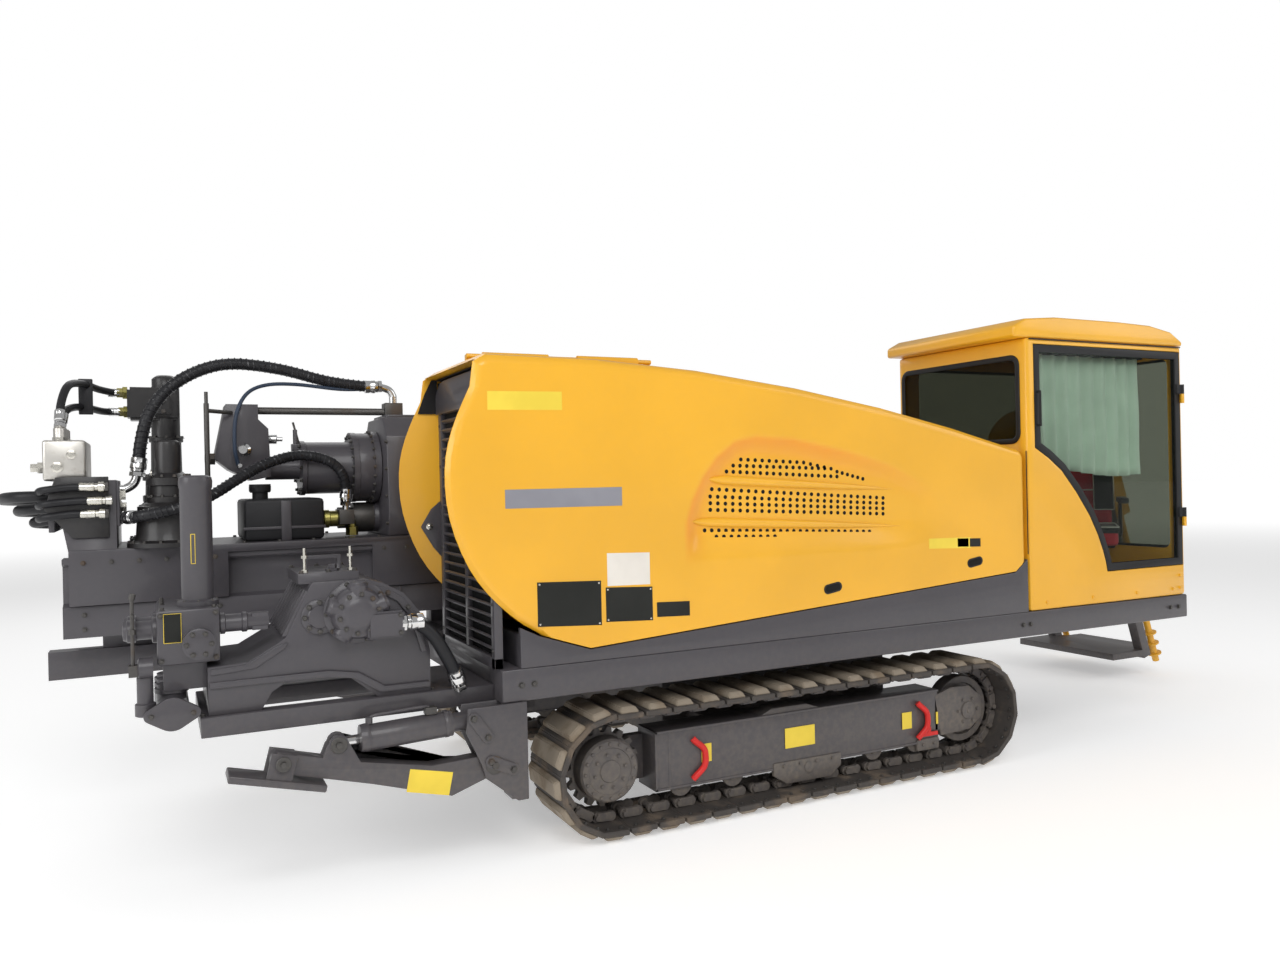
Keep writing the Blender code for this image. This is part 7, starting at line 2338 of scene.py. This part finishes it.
@dataclass
class DrillEnd:
    """The vises, the wrench's jaws and the ground anchors."""

    y: float = 0.50
    axis_z: float = 1.785
    guides: tuple[float, float] = (0.075, 0.925)
    lean: float = 18.4
    foot: tuple[float, float] = (3.985, 0.10)

    def up(self, distance: float, ahead: float, y: float) -> Vector:
        """A point on or beside a leaning anchor.

        Args:
            distance: The way up the anchor from its tip.
            ahead: The way ahead of its middle line.
            y: The anchor's place across the machine.

        Returns:
            The point.
        """
        lean = math.radians(self.lean)
        return Vector((self.foot[0] - math.sin(lean) * distance + math.cos(lean) * ahead, y,
                       self.foot[1] + math.cos(lean) * distance + math.sin(lean) * ahead))

    def vises(self) -> None:
        """The two clamps with their bolted plates and jaw cylinders."""
        refine("clamp_vise", Finish.GREY, "mast", 0.006)
        refine("breakout_vise", Finish.YELLOW, "breakout", 0.006)
        refine("anchor_guides", Finish.GREY, "mast", 0.005)
        caps = []
        for side in (-1, 1):
            caps.append(turned((3.32, self.y + side * 0.352, self.axis_z), (0, side, 0),
                               ((0, 0.082), (0.016, 0.082), (0.020, 0.070), (0.024, 0.040)), 24))
        dress(gather("jaw_caps", caps), Finish.GREY, "mast")
        ring = turned((3.421, self.y, self.axis_z), AHEAD,
                      ((0, 0.117), (0, 0.160), (0.012, 0.160), (0.016, 0.150), (0.016, 0.117), (0, 0.117)),
                      40)
        dress(gather("vise_ring", [ring]), Finish.STEEL, "mast")
        places = circle((3.437, self.y, self.axis_z), AHEAD, 0.138, 12)
        places += [((3.42, y, z), AHEAD) for y in (0.21, 0.79) for z in (1.45, 1.60, 1.97)]
        places += circle((3.32, self.y - 0.372, self.axis_z), NEAR, 0.058, 6)
        places += circle((3.32, self.y + 0.372, self.axis_z), FAR, 0.058, 6)
        strew("vise_bolts", places, hex_bolt(0.010, 0.010), Finish.STEEL, "mast")
        ears = circle((3.20, self.y, self.axis_z), AHEAD, 0.30, 12, math.radians(15))
        ears = [spot for spot in ears if abs(spot[0][1] - self.y) > 0.12]
        strew("wrench_bolts", ears, hex_bolt(0.012, 0.010), Finish.STEEL, "breakout")

    def anchors(self) -> None:
        """Each anchor with its motor and bolts."""
        for name, y in zip(("near", "far"), self.guides):
            body = f"anchor_{name}"
            refine(body, Finish.YELLOW, body, 0.004)
            axis = self.up(1, 0, y) - self.up(0, 0, y)
            parts = [turned(self.up(1.79, 0, y), axis,
                            ((0, 0.058), (0.02, 0.058), (0.024, 0.046), (0.10, 0.046), (0.104, 0.036),
                             (0.12, 0.034)), 20)]
            dress(gather(body + "_motor", parts), Finish.GREY, body)
            lean = math.radians(self.lean)
            ahead = (math.cos(lean), 0, math.sin(lean))
            spots = [(tuple(self.up(distance, 0.061, y + dy)), ahead)
                     for distance in (1.33, 1.57) for dy in (-0.036, 0.036)]
            strew(body + "_bolts", spots, hex_bolt(0.008, 0.008), Finish.STEEL, body)

    def build(self) -> None:
        """Makes the drill end in order."""
        self.vises()
        self.anchors()


@dataclass
class Chassis:
    """The deck, the body between the tracks and what stands on the deck."""

    lane: float = -1.095
    deck: tuple[float, float] = (0.705, 0.850)

    def build(self) -> None:
        """Softens the frames and puts their bolts and the engine's trim on."""
        refine("deck_frame", Finish.GREY, "chassis", 0.005)
        refine("car_body", Finish.UNDERCARRIAGE, "chassis", 0.008)
        refine("engine_block", Finish.STEEL, "chassis", 0.015)
        low, high = self.deck
        places = [((x, self.lane, 0.5 * (low + high)), NEAR) for x in (-1.90, -1.84, 1.20, 1.26, 2.52, 2.60)]
        places += [((x, 0.78, z), FAR) for x in (-1.75, -1.08, -0.40, 0.42, 1.27, 2.60)
                   for z in (0.74, 0.815)]
        strew("deck_bolts", places, hex_bolt(0.011, 0.010), Finish.STEEL, "chassis")
        covers = [block((-0.70, -0.86, 1.620), (0.30, -0.39, 1.665)),
                  block((-0.90, -0.905, 1.10), (-0.40, -0.896, 1.40))]
        dress(soften(gather("engine_covers", covers), 0.012), Finish.STEEL, "chassis")


REPEAT: Repeater = None
FRAME: dict = {}


def main() -> None:
    """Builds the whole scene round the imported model."""
    global FRAME, REPEAT
    logging.basicConfig(level=logging.INFO, format="%(message)s")
    for made in list(bpy.data.objects):
        bpy.data.objects.remove(made)
    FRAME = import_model()
    bpy.context.scene.view_settings.view_transform = "Standard"
    REPEAT = Repeater()
    Studio().build()
    Hood().build()
    Cab().build()
    PumpGroup().build()
    Carriage().build()
    Hoses().build()
    Legs().build()
    Mast().build()
    DrillEnd().build()
    Chassis().build()
    for name, side in (("near", -1), ("far", 1)):
        Track(name, side).build()
    for name, node in FRAME["nodes"].items():
        node.data.materials.clear()
        node.data.materials.append(paint(NODE_FINISH.get(name, Finish.GREY)))
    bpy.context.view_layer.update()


NODE_FINISH: dict[str, Finish] = {
    "cab_shell": Finish.YELLOW, "cab_roof": Finish.YELLOW, "cab_door_frame": Finish.SEAL,
    "cab_door_glass": Finish.GLASS, "cab_window_left": Finish.DARK_GLASS,
    "cab_window_right": Finish.DARK_GLASS, "cab_window_far": Finish.DARK_GLASS,
    "breakout_vise": Finish.YELLOW, "anchor_near": Finish.YELLOW, "anchor_far": Finish.YELLOW,
    "valve_block": Finish.ALUMINIUM, "carriage_hoses": Finish.RUBBER, "pump_hose": Finish.GUARD,
    "oil_tank": Finish.PLASTIC, "track_near": Finish.SHOE, "track_far": Finish.SHOE,
    "operator_seat": Finish.SEAT_RED, "seat_base": Finish.PLASTIC, "control_console": Finish.PLASTIC,
    "spindle": Finish.STEEL, "sprocket_near": Finish.STEEL, "sprocket_far": Finish.STEEL,
    "leg_rod_near": Finish.CHROME, "leg_rod_far": Finish.CHROME, "mast_lift_rod": Finish.CHROME,
}


if __name__ == "__main__":
    main()
